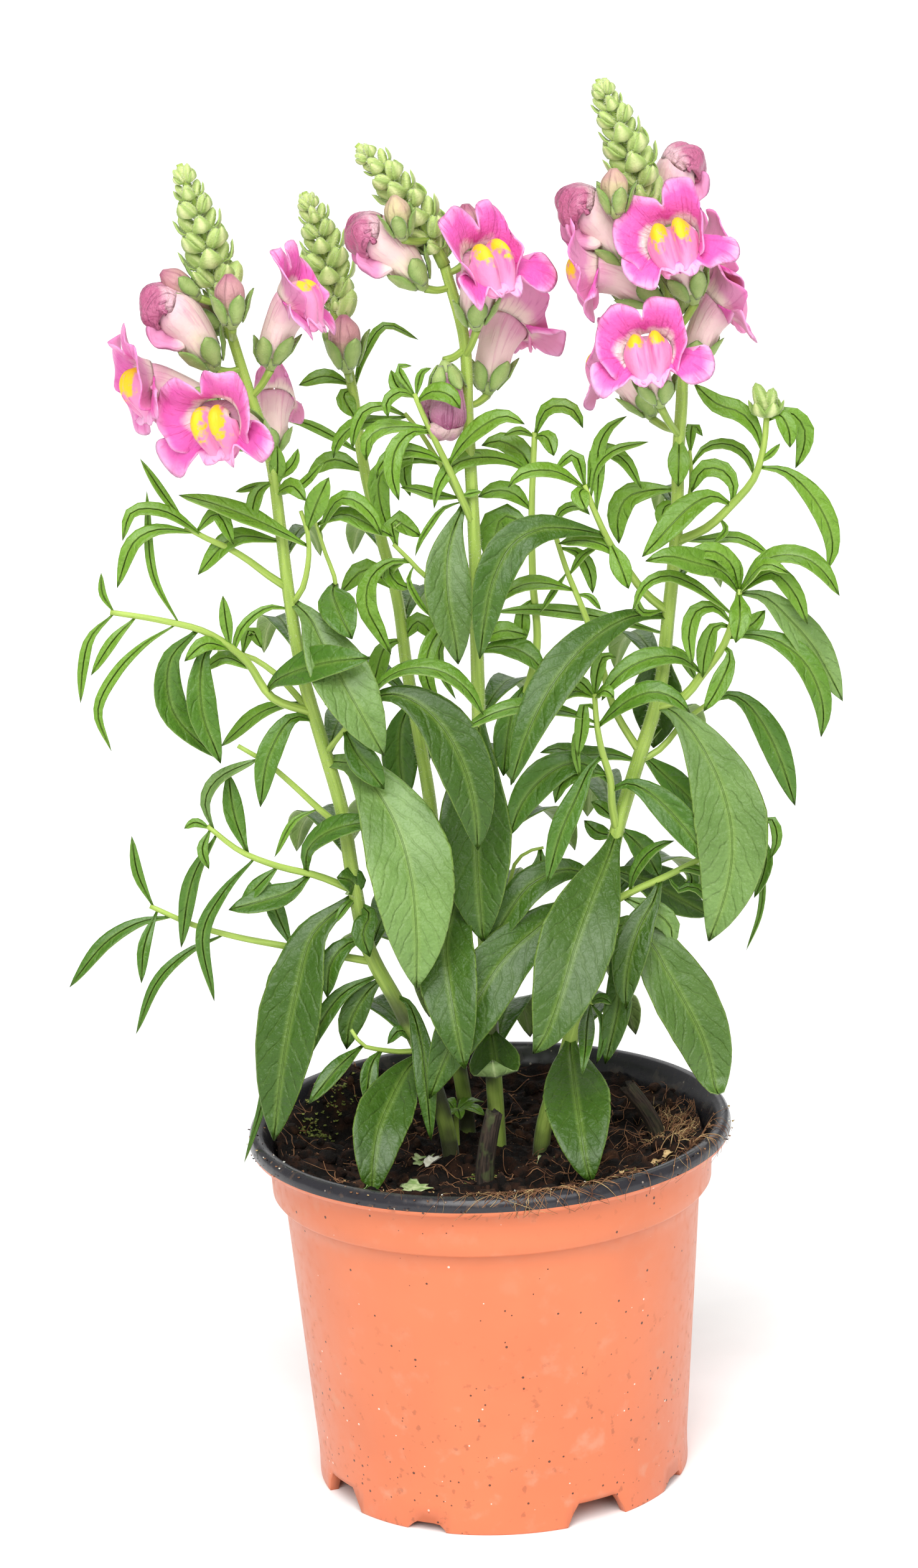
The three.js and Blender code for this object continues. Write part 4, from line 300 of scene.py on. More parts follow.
MIDDLE = StemPlan(
    node="leafy_stem_middle",
    depths=(0, -4),
    radii=(2.4, 1.4),
    line=(2, 93, 1.5, 120, 1, 150, 1, 180, 1.8, 212, 2.1, 230, 2.6, 250, 2.6, 265, 2.4, 284, 2.2,
        300, 2, 315, 0, 323, -2, 331),
    shoots=(
        (1.1, 8, 2.4, 263, -0.5, 271, -3, 277.5, -6, 284.5, -9.7, 293.5, -11.3, 298),
        (0.9, -2, 2, 262, -1.5, 272, -5, 279, -9, 285, -11, 290, -14, 293),
        (0.9, 2, 2.5, 240, -4, 245, -11, 250, -14, 253.5, -18.5, 258.5),
        (1.3, -4, 1.5, 194, 9, 206, 16.5, 221, 18, 238, 17.3, 250, 16.8, 260, 18.8, 272, 19.5, 286.5),
        (0.7, 4, 1, 160, 7, 162, 9.5, 170, 13.5, 173.8, 17.5, 174.5),
    ),
    leaves=(
        (3, 4, 0.5, -11.3, 296.5, -15, 298.5, -18.5, 296, -18.3, 292),
        (5, 5, 0.4, -10.8, 295.5, -6.5, 298.3, -2, 297, 0.5, 293.5),
        (2.2, 0, 0.4, -11.2, 297.5, -9, 303.5, -6.5, 304.5),
        (4, -4, 0.4, -11.8, 296.5, -15.5, 300, -17, 304.5),
        (2.5, -3, 0.5, -11.5, 297.5, -15, 305, -11.5, 305.3),
        (5, 8, 0.3, -7.5, 288, -12.5, 287.8, -16.5, 284, -18, 277, -16.5, 270),
        (4, 2, 0.5, -8, 288.5, -14, 289.3, -20.5, 289, -24, 286, -24.5, 281),
        (4, 4, 0.4, -3.3, 279.5, -9.5, 282.2, -15.5, 283, -21, 279.5, -22, 276),
        (6, -2, 0.3, -5, 279, -14, 281, -21, 277, -21.5, 270, -19, 260),
        (5, 4, 0.4, -2.8, 279, 1, 284.5, 6.5, 289, 12, 291, 17, 288.7),
        (2, 1, 0.4, -0.5, 270.5, 5, 271.5),
        (3, 3, 0.5, -0.8, 270, -7, 271, -12, 272.7, -16, 273.5),
        (1.8, 2, 0.4, -0.5, 268.5, -5, 267.5, -8.5, 263.5, -11.5, 259, -13, 255),
        (12.5, 14, 0.25, 0.5, 268, -2.5, 262, -4.6, 254, -4.8, 243, -3.5, 232, -3, 225.5),
        (4, -2, 0.4, -6, 281, -12, 283, -14.8, 278, -13.5, 271),
        (3, 3, 0.5, -13.8, 292.8, -20, 295, -24.5, 293.8, -27.2, 288.5, -28, 284),
        (3.8, 0, 0.5, -13.5, 292, -21, 291, -27, 290.3, -31.7, 286, -33, 282),
        (5.5, 3, 0.35, -14, 253.6, -19.5, 253.8, -25, 249.5, -26.2, 242, -23.5, 235.5, -20.5, 229),
        (5, -3, 0.4, -15, 254.5, -20, 252, -17.5, 247.5, -14.5, 246.5),
        (1.8, 1, 0.4, -13.5, 253, -15, 249, -13, 243.5, -9.5, 238.5),
        (5, -2, 0.45, -18.3, 258, -18.5, 265, -15, 263, -11, 260),
        (4, 4, 0.5, 19.5, 286, 22.5, 292, 26, 293.2, 30, 291.5, 32, 287),
        (4.5, 6, 0.3, 19.5, 286, 22.5, 285, 24.2, 280),
        (2.2, 3, 0.5, 19.3, 285.5, 15.5, 287, 11.5, 286),
        (6, -4, 0.35, 18.7, 274, 16.5, 280.5, 10.5, 284.5, 5.5, 283.6),
        (4.5, 10, 0.45, 18.8, 275, 13, 279, 6, 280.5, -1.5, 279, -6, 273.5, -7.5, 267.5),
        (5, 0, 0.4, 17.6, 265.5, 13, 270.7, 8.5, 271.5, 4, 270),
        (9, -4, 0.3, 17, 262, 10.5, 264.5, 8, 259, 7, 251.5),
        (19.5, 16, 0.2, 1.8, 212, 1.5, 204, 0.2, 190, -0.3, 175, -0.2, 162, 0.4, 149),
        (5, 9, 0.3, 2, 238, -4, 237.5, -9.5, 232, -11.6, 223, -8.2, 213),
        (2.5, -4, 0.3, 2, 234, -7, 231.5, -7.5, 224, -4, 216),
        (6, 6, 0.4, 2.2, 229, 9, 229.8, 15, 227.5, 20, 221.8),
        (5, 2, 0.5, 2, 231.5, 9, 234, 15.5, 232.5),
        (4.5, 3, 0.3, 18, 242, 15, 240, 14, 234, 13.5, 229),
        (8, 5, 0.3, 15.5, 218.5, 12, 215.5, 9.5, 207, 7.6, 194.6),
        (6, 4, 0.3, 17.3, 174.3, 16.5, 169, 13.3, 160.5),
        (16, 34, 0.2, 1, 168, -5, 163, -9.5, 150, -9.3, 139, -8, 127, -6, 113.5),
        (14, 16, 0.5, 1.5, 124, 2, 118, 2.5, 110, 3, 102.5),
    ),
    back_leaves=(
        (116, 165, 46, 13),
        (134, 120, 46, 13),
        (152, 170, 46, 13),
        (172, 140, 44, 12),
        (190, 165, 40, 11),
        (210, 150, 36, 10),
        (232, 175, 30, 8),
    ),
    spike=(-2, 331, -7, 342, -14, 353, -23, 363),
    spike_buds=(165, -135),
    spike_size=1,
)

RIGHT = StemPlan(
    node="leafy_stem_right",
    depths=(-3, -9),
    radii=(2.4, 1.4),
    line=(14, 94, 20, 112, 27, 135, 33, 157, 35.5, 169, 36.8, 178, 39.3, 186, 41.2, 191.5, 44.7,
        200.5, 47.5, 209, 49.8, 217, 51.3, 228, 52.3, 235, 54, 244, 55, 252, 55.4, 262, 55.6, 272,
        57, 283, 58.3, 295, 57, 308, 55, 320, 52, 333, 50, 342),
    shoots=(
        (1.3, 6, 56.5, 255, 60.7, 257.5, 70, 265, 73.8, 268.5, 76, 271.8, 78.3, 276, 78.7, 280,
            79.8, 289),
        (1.2, 6, 50.8, 237, 48, 240.5, 45, 245.7, 41.8, 249.7, 37.5, 257, 35, 263, 32.9, 268.5,
            31.8, 272),
        (1.4, 8, 50, 211, 54.7, 213.5, 58.5, 216, 61, 220, 64, 223.5, 67.5, 228.5, 69.3, 233.5,
            71.5, 242.5),
        (1.1, 1, 42.5, 200, 39.5, 206, 37.5, 212, 35, 222, 32.3, 233.5, 29, 241, 27, 247.5, 24.5,
            257, 23, 262),
        (1.2, 12, 36.8, 178.5, 36, 186, 35.8, 193, 34.3, 198.5, 33, 205, 32.7, 211, 32.5, 216),
        (1, -3, 46, 196, 50, 200.5, 54.3, 206, 58, 209, 61.5, 211.5, 64, 213),
        (1.1, 4, 34, 157.5, 40, 161, 48.5, 164.5, 53, 166.8, 58, 169, 66, 173, 73.5, 177.5),
        (0.8, -3, 55.3, 262, 59.3, 268, 59.5, 280),
        (0.8, 6, 25.5, 131, 28.8, 130.5),
    ),
    leaves=(
        (20, 36, 0.2, 36.5, 178, 34.2, 170, 30, 160, 25, 147, 20.5, 133, 16, 122, 12.5, 117),
        (9.5, 12, 0.3, 48.3, 164, 46, 158, 42.3, 151.5, 39.3, 143, 38, 135.5, 37.8, 128.5),
        (7.5, 10, 0.3, 30, 145, 35, 142, 36, 132, 33.8, 121, 31.7, 113.2),
        (17, 12, 0.25, 31, 149, 38, 152, 44.5, 147.5, 49.5, 138, 54.5, 128, 58.3, 119, 60.5, 109,
            60.8, 99.8),
        (6.5, 3, 0.3, 38, 160, 46, 155.5, 50.5, 151, 50.7, 145.5),
        (16, 24, 0.3, 31, 153, 22, 156, 13, 150.5, 5, 143, -3, 131, -10, 119, -16, 105.5),
        (9, 10, 0.35, 34, 163, 24, 168, 14, 164.5, 7, 156, 1, 145),
        (18, 42, 0.3, 22, 121, 22.5, 117, 23, 111, 24.3, 97, 25.5, 86, 26.8, 79.3),
        (4.5, 30, 0.2, 28.5, 130.4, 27.2, 124, 26.5, 117, 25.4, 110.3),
        (2.5, 4, 0.4, 28.8, 130.5, 31.5, 131.8, 34.3, 130),
        (2.4, 6, 0.3, 28.8, 130.3, 31.3, 126, 31.4, 120, 29.4, 113.3),
        (3.5, 5, 0.4, 40, 161, 41, 165.5, 44.5, 171, 48.5, 173.7, 52.3, 174.8),
        (2.5, 3, 0.5, 52, 166, 56, 166.8, 62.5, 164.5),
        (2.8, 0, 0.4, 50, 165, 52.8, 161, 56.5, 162, 62, 157, 66, 151),
        (4, -3, 0.3, 54.5, 167, 56.5, 164.5, 56, 160.5),
        (3, 2, 0.3, 73.5, 177.5, 78, 179.5, 79.5, 174, 77.5, 168.5),
        (4, 2, 0.3, 73.5, 177.5, 76.5, 171, 75.5, 164, 73, 158),
        (1.8, 0, 0.3, 72.5, 177, 75.3, 165, 74.5, 154, 70.5, 143.5),
        (7, -3, 0.3, 37.5, 178.5, 42, 175, 45.5, 170, 48, 164.5),
        (11, -6, 0.35, 35.5, 168, 45, 163.5, 53, 158.5, 61, 153.5),
        (7, -4, 0.35, 45, 199, 51, 192, 56, 187, 60, 180),
        (19.5, 14, 0.25, 49.3, 213, 53, 210.3, 57.5, 205, 61.5, 198, 65.5, 188, 67.5, 177, 67,
            166.5, 64.3, 156, 60.5, 146.5),
        (4, 0, 0.3, 32.5, 216, 33.5, 222, 35.3, 226, 38.5, 225.5),
        (3.5, 2, 0.3, 32.5, 215.5, 28.5, 219.5, 25, 219.7),
        (3, 4, 0.5, 32.5, 215, 27, 216.8, 22, 214),
        (2.5, 4, 0.5, 32.6, 215, 35.5, 216.5, 37.6, 214.6),
        (4, 3, 0.3, 32.7, 211, 30, 213.5, 28.7, 206, 27.5, 199),
        (2.5, 0, 0.3, 33, 207, 28.5, 207, 27, 202, 27.8, 193),
        (4.2, 8, 0.5, 33, 207.5, 27, 210.5, 20.5, 212.3, 13.5, 213.3, 6, 211.8, -2.8, 207.5),
        (5.8, 6, 0.5, 33.1, 207.3, 36.5, 210, 42, 214, 48, 215.7, 53, 214, 57.5, 209.7),
        (6.5, 8, 0.3, 34, 199, 31, 196.3, 26.8, 188, 22.3, 178.5, 18, 164.5),
        (9, 4, 0.35, 35.6, 191.5, 31, 196, 25.5, 197.3, 18.5, 194, 12.3, 187, 8.5, 178),
        (8.5, 8, 0.35, 36, 189.5, 40.5, 191, 44.8, 189.2, 51, 183.3, 57, 175.5, 63, 166),
        (4.5, 3, 0.5, 42.3, 197, 36, 199.2, 29, 199.3, 22.5, 201.3, 17.5, 200.5),
        (4.5, 2, 0.3, 35.5, 194, 27, 194.5, 23, 192, 21, 186.5),
        (4, -4, 0.35, 36.6, 181, 33, 185, 30.5, 186.5),
        (4.5, -5, 0.3, 36.5, 177, 32, 178, 28.5, 181.5),
        (4, 6, 0.5, 28, 243.5, 21.5, 246, 16, 246.3, 11, 244.3, 8.5, 241.5),
        (1.8, 2, 0.5, 28.2, 243, 32, 242.2, 35, 238.5),
        (1.8, 0, 0.4, 27, 248.8, 22.5, 243.5, 19, 238.5),
        (2.2, 2, 0.4, 27, 248, 31, 253.5, 35, 255.5),
        (4, -2, 0.35, 25, 256, 29.5, 254, 32.3, 249, 33, 243),
        (2.5, 2, 0.5, 23.2, 261, 26, 265.5, 30.5, 266.3, 33, 264),
        (11, 28, 0.35, 50.7, 236, 45, 236.6, 39, 234.8, 31, 229.5, 22, 219.5, 14.5, 206, 9.5, 192),
        (3.8, -6, 0.4, 50.8, 231, 42, 234.5, 30, 237.5, 18, 239.3, 7, 239.2),
        (10.5, 16, 0.35, 37, 258, 29, 260.3, 20, 260.8, 12.5, 257, 7, 247.5, 4.6, 238, 2.7, 226.7),
        (4, 2, 0.45, 41, 250.5, 37, 255.3, 31, 257.3, 24.5, 256.7),
        (5.5, 5, 0.35, 38, 256, 39, 254, 41, 248.5, 42.4, 243.8),
        (4, 2, 0.35, 34.5, 264, 35.5, 273, 36, 282, 39, 287, 43.5, 289.7),
        (2.6, 3, 0.4, 33.2, 268, 35.5, 277, 40, 280.8, 49, 282.7),
        (3.8, -3, 0.45, 32.3, 270.5, 36, 281, 42, 278.5, 46.7, 270.3),
        (3.5, -2, 0.5, 32.2, 271, 29.5, 280, 24.2, 276.2),
        (5, 6, 0.3, 32.2, 271, 30.5, 270, 32, 265.3),
        (4, 7, 0.5, 32, 271.5, 24.5, 275.8, 19, 276.3, 15, 275.2, 12, 272.2),
        (2, 6, 0.4, 50.5, 237, 46, 237.2, 44.5, 240, 44.5, 243.5),
        (6.5, -3, 0.35, 55.6, 269.5, 49, 269.8, 43, 268.3, 40.3, 263.5, 40.3, 256),
        (4, -5, 0.3, 55.2, 266, 52.5, 265, 51.5, 259.5),
        (6, 5, 0.2, 57, 284, 56.6, 278, 56.2, 270.5),
        (3, -2, 0.4, 59.5, 279, 60.5, 286.5, 63, 283.5),
        (5.5, -2, 0.35, 78.6, 279, 76.5, 285, 73, 289.2, 67, 291.7, 61, 297.5),
        (5, 4, 0.3, 79.5, 287.5, 83, 288.3, 85.3, 284, 85.5, 279.5),
        (5, -2, 0.35, 79.5, 287, 85, 289, 89.3, 284.5, 89, 279, 86.8, 274),
        (5.8, 2, 0.35, 78.2, 274.5, 84, 273.2, 90.5, 267, 95, 258.5, 96, 252.5, 94.5, 246.5),
        (3, -2, 0.45, 59.5, 276, 63, 280, 67.5, 281.3, 72, 280, 75, 276.5, 75.8, 272.5),
        (5, -3, 0.4, 70, 265, 70.5, 270.5, 67.5, 274.5, 62.5, 274.5, 59.5, 268.7),
        (7, 10, 0.35, 69.7, 264.5, 65, 267.5, 59.5, 265.3, 54, 260.3, 50, 256, 46.2, 252.2),
        (1.8, 0, 0.3, 66, 262, 68.3, 258.5, 65, 255),
        (1.8, 2, 0.3, 78.3, 276, 81, 278.5, 83, 280.7),
        (5, 6, 0.45, 71.2, 242, 69.5, 249, 65.5, 252.6, 61, 252.6, 56.5, 249.2),
        (6.5, 12, 0.4, 71.2, 241.5, 67, 247.3, 60, 250, 53, 252, 47, 251),
        (5, 6, 0.5, 71.3, 242, 77.5, 249.3, 83, 251, 89, 249.8, 93.5, 246, 97.5, 239.5),
        (3, 8, 0.5, 71.4, 242, 78.5, 248.7, 84.5, 246),
        (9, -2, 0.3, 71, 241.5, 78, 240, 85, 233, 90, 226.5, 94, 219, 97.8, 211),
        (5, 1, 0.35, 71.2, 241.5, 80, 246.5, 85.5, 241, 89, 232.2),
        (6, 10, 0.15, 71.4, 242, 71.3, 239.5, 71.3, 235, 70, 228),
        (5, -2, 0.35, 68.3, 230.5, 74, 232.5, 78, 236.5),
        (3, 2, 0.3, 71.5, 242, 71, 248, 68.3, 253.5),
        (3, -3, 0.5, 57, 255, 64, 256, 71, 256.2, 76, 253.7, 80, 250.3),
        (3.2, 8, 0.5, 69.8, 235, 64.5, 240, 59, 244.3, 52.5, 246.8, 47, 244.8, 43, 237.5),
        (4.5, 4, 0.3, 69.2, 233, 64.5, 238, 60, 237, 57.8, 231, 58.5, 222.5),
        (5, -1, 0.3, 68.7, 232, 65, 233, 62, 226, 61, 219),
        (5.2, 6, 0.2, 67, 227.5, 68.5, 225, 65, 216, 61, 209.8),
        (6.5, 4, 0.35, 67.8, 229, 74, 230, 81, 228, 87.5, 222.5, 91.5, 214.5, 92.6, 207.5, 91.8,
            201.5),
        (5.8, 6, 0.45, 61, 220.5, 55, 224.7, 47.5, 224.8, 41, 222, 36.8, 218.2, 34.3, 214),
        (7.5, 2, 0.35, 63.5, 212.8, 68, 214, 72.5, 211.5, 77.5, 204, 81.3, 194.5, 84.5, 183),
        (14, -8, 0.2, 51.2, 229, 50, 222, 49, 212, 47.5, 200.5),
        (3, -4, 0.3, 51.5, 229, 56, 225, 59.5, 218),
    ),
    back_leaves=(
        (118, 150, 44, 12),
        (138, 205, 46, 13),
        (158, 135, 44, 12),
        (180, 190, 44, 12),
        (200, 150, 40, 10),
        (222, 200, 36, 9),
        (244, 150, 32, 8),
        (264, 190, 26, 6),
    ),
    spike=(50, 342, 47.5, 354, 43.5, 366, 39, 377),
    spike_buds=(120, 170, -125),
    spike_size=1,
)

FLOWERS: tuple[tuple, ...] = (
    ("bloom_left_front", Bloom.OPEN, LEFT, -51, 285.5, 7, -60, 42, 1),
    ("bloom_left_side", Bloom.OPEN, LEFT, -58.5, 294, 0, -100, 38, 1),
    ("half_open_bud_left", Bloom.HALF, LEFT, -60.5, 308.5, 3, -85, 48, 1.05),
    ("coloured_bud_left_outer", Bloom.BUD, LEFT, -66.8, 326.5, 3, -80, 52, 0.9),
    ("coloured_bud_left_low", Bloom.BUD, LEFT, -61, 317.5, -4, -100, 55, 1),
    ("coloured_bud_left_front", Bloom.BUD, LEFT, -57.3, 319.5, 12, -10, 5, 1.05),
    ("bloom_left_inner", Bloom.OPEN, LEFT, -48.5, 305, 2, 80, 0, 0.95),
    ("bloom_left_back", Bloom.OPEN, LEFT, -48.5, 287, -7, 175, 10, 0.8),
    ("coloured_bud_back_left", Bloom.BUD, BACK_LEFT, -28.3, 307, 8, -10, 8, 1.15),
    ("bloom_middle_front", Bloom.OPEN, MIDDLE, 5.4, 312.5, 6, 20, 0, 1),
    ("bloom_middle_back", Bloom.OPEN, MIDDLE, 7.8, 299, -6, 140, 5, 1),
    ("half_open_bud_middle", Bloom.HALF, MIDDLE, -6.5, 327, 3, -85, 50, 1),
    ("coloured_bud_middle_back", Bloom.BUD, MIDDLE, 4.5, 335, -2, 90, -2, 1.05),
    ("coloured_bud_middle_front", Bloom.BUD, MIDDLE, -12.5, 340, 10, -40, 15, 0.9),
    ("withered_bloom_middle", Bloom.WITHERED, MIDDLE, -3, 304.5, 4, 40, 175, 0.8),
    ("bloom_right_upper", Bloom.OPEN, RIGHT, 61, 316.5, 7.5, -5, 2, 1),
    ("bloom_right_lower", Bloom.OPEN, RIGHT, 52, 289.5, 12.8, -15, 6, 0.93),
    ("bloom_right_side", Bloom.OPEN, RIGHT, 50, 315, 1, -90, 42, 1),
    ("half_open_bud_right", Bloom.HALF, RIGHT, 45.5, 330.5, 2, -80, 40, 1),
    ("half_open_bud_right_back", Bloom.HALF, RIGHT, 55.5, 337.5, -9.5, 100, 6, 0.95),
    ("bloom_right_rear", Bloom.OPEN, RIGHT, 57.5, 317, -5, 110, 10, 0.85),
    ("bloom_right_outer", Bloom.OPEN, RIGHT, 63, 301.5, -3, 95, 22, 0.95),
    ("bloom_right_back", Bloom.OPEN, RIGHT, 50.5, 290.5, -11, -110, 15, 0.9),
    ("coloured_bud_right_front", Bloom.BUD, RIGHT, 42.5, 343.5, 10.5, -20, 5, 0.95),
)

SHOOT_BUDS = (
    (80, 288.5, 77, 297, 2.6),
    (80.3, 288.5, 81.6, 295.5, 2.4),
)


# ------------------------------------------------------------------ lines and frames


def unit(vector: Array) -> Array:
    """Returns the vector, or each row of it, at length 1."""
    length = np.linalg.norm(vector, axis=-1, keepdims=True)
    return vector / np.maximum(length, 1e-9)


def seen(across: float, up: float, depth: float) -> Array:
    """Moves a place of the upright plane along its line of sight.

    Args:
        across: Place to the right of the pot's axis.
        up: Height in the upright plane.
        depth: How far behind that plane the place lies.

    Returns:
        The place in the row frame, in mm.
    """
    reach = (depth - EYE[1]) / -EYE[1]
    return EYE + (np.array([across, 0.0, up]) - EYE) * reach


def bell(away: Array, reach: float) -> Array:
    """Returns 1 at no distance away, and nearly 0 from twice the reach."""
    return np.exp(-((away / reach) ** 2))


def pairs(numbers: Sequence[float]) -> list[tuple[float, float]]:
    """Returns a flat list of numbers as (across, up) pairs."""
    return list(zip(numbers[0::2], numbers[1::2]))


def bearing_vector(degrees: float) -> Array:
    """Returns the level direction of a bearing, 0 to the front and 90 to the right."""
    angle = math.radians(degrees)
    return np.array([math.sin(angle), -math.cos(angle), 0.0])


class SmoothLine:
    """A smooth line through given places, measured along its length."""

    STEPS = 12

    def __init__(self, points: Iterable[Sequence[float]]) -> None:
        """Args: points: The places that the line passes through."""
        knots = np.array([np.asarray(p, float) for p in points])
        first = 2 * knots[0] - knots[1]
        last = 2 * knots[-1] - knots[-2]
        padded = np.vstack([first, knots, last])
        runs = [self._span(padded[i : i + 4]) for i in range(len(knots) - 1)]
        self.samples = np.vstack([*runs, knots[-1:]])
        steps = np.linalg.norm(np.diff(self.samples, axis=0), axis=1)
        self.runs = np.concatenate([[0.0], np.cumsum(steps)])

    def _span(self, four: Array) -> Array:
        """Returns close places between the two middle ones of four, with centripetal spacing."""
        gaps = np.sqrt(np.maximum(np.linalg.norm(np.diff(four, axis=0), axis=1), 1e-6))
        t0 = 0.0
        t1, t2, t3 = np.cumsum(gaps)
        t = np.linspace(t1, t2, self.STEPS, endpoint=False)[:, None]
        a = (t1 - t) / (t1 - t0) * four[0] + (t - t0) / (t1 - t0) * four[1]
        b = (t2 - t) / (t2 - t1) * four[1] + (t - t1) / (t2 - t1) * four[2]
        c = (t3 - t) / (t3 - t2) * four[2] + (t - t2) / (t3 - t2) * four[3]
        d = (t2 - t) / (t2 - t0) * a + (t - t0) / (t2 - t0) * b
        e = (t3 - t) / (t3 - t1) * b + (t - t1) / (t3 - t1) * c
        return (t2 - t) / (t2 - t1) * d + (t - t1) / (t2 - t1) * e

    @property
    def length(self) -> float:
        """Length of the whole line."""
        return float(self.runs[-1])

    def at(self, shares: float | Array) -> Array:
        """Returns the places at shares of the line's length, from 0 to 1."""
        run = np.atleast_1d(np.asarray(shares, float)) * self.length
        return np.stack([np.interp(run, self.runs, self.samples[:, k]) for k in range(3)], axis=1)

    def spaced(self, steps: int) -> Array:
        """Returns steps + 1 places, evenly spaced along the line."""
        return self.at(np.linspace(0, 1, steps + 1))

    def tangents(self, shares: Array) -> Array:
        """Returns the line's direction at shares of its length."""
        step = 0.004
        ahead = self.at(np.clip(shares + step, 0, 1))
        behind = self.at(np.clip(shares - step, 0, 1))
        return unit(ahead - behind)


def turned(vectors: Array, axes: Array, angle: float) -> Array:
    """Turns each vector about the axis beside it.

    Args:
        vectors: The vectors, one to a row.
        axes: The axis of each, of length 1.
        angle: The turn in radians.

    Returns:
        The turned vectors.
    """
    cos, sin = math.cos(angle), math.sin(angle)
    along = np.sum(vectors * axes, axis=-1, keepdims=True)
    return vectors * cos + np.cross(axes, vectors) * sin + axes * along * (1 - cos)


def smooth_rows(rows: Sequence[Sequence[float]], count: int) -> Array:
    """Fills in a table of rows with a smooth change from each row to the next.

    Args:
        rows: The given rows of numbers.
        count: How many rows to return, spread evenly over the given ones.

    Returns:
        The filled table, whose first and last rows are the given ones.
    """
    table = np.asarray(rows, float)
    padded = np.vstack([2 * table[0] - table[1], table, 2 * table[-1] - table[-2]])
    place = np.linspace(0, len(table) - 1, count)
    index = np.minimum(place.astype(int), len(table) - 2)
    t = (place - index)[:, None]
    p0, p1, p2, p3 = (padded[index + k] for k in range(4))
    bend = 2 * p1 + (p2 - p0) * t + (2 * p0 - 5 * p1 + 4 * p2 - p3) * t**2
    return (bend + (3 * p1 - p0 - 3 * p2 + p3) * t**3) / 2


class SeededDraw:
    """A repeatable stream of numbers from 0 to 1."""

    def __init__(self, seed: int) -> None:
        """Args: seed: The stream's first state."""
        self.state = seed

    def __call__(self) -> float:
        """Returns the next number."""
        self.state = (self.state * 1664525 + 1013904223) % 4294967296
        return self.state / 4294967296

    def between(self, low: float, high: float) -> float:
        """Returns the next number, from low to high."""
        return low + (high - low) * self()


# ------------------------------------------------------------------ mesh making


def linked(name: str, data: bpy.types.ID) -> bpy.types.Object:
    """Makes an object and links it to the scene.

    Args:
        name: Its name.
        data: Its mesh, light or camera.

    Returns:
        The new object.
    """
    made = bpy.data.objects.new(name, data)
    bpy.context.scene.collection.objects.link(made)
    return made


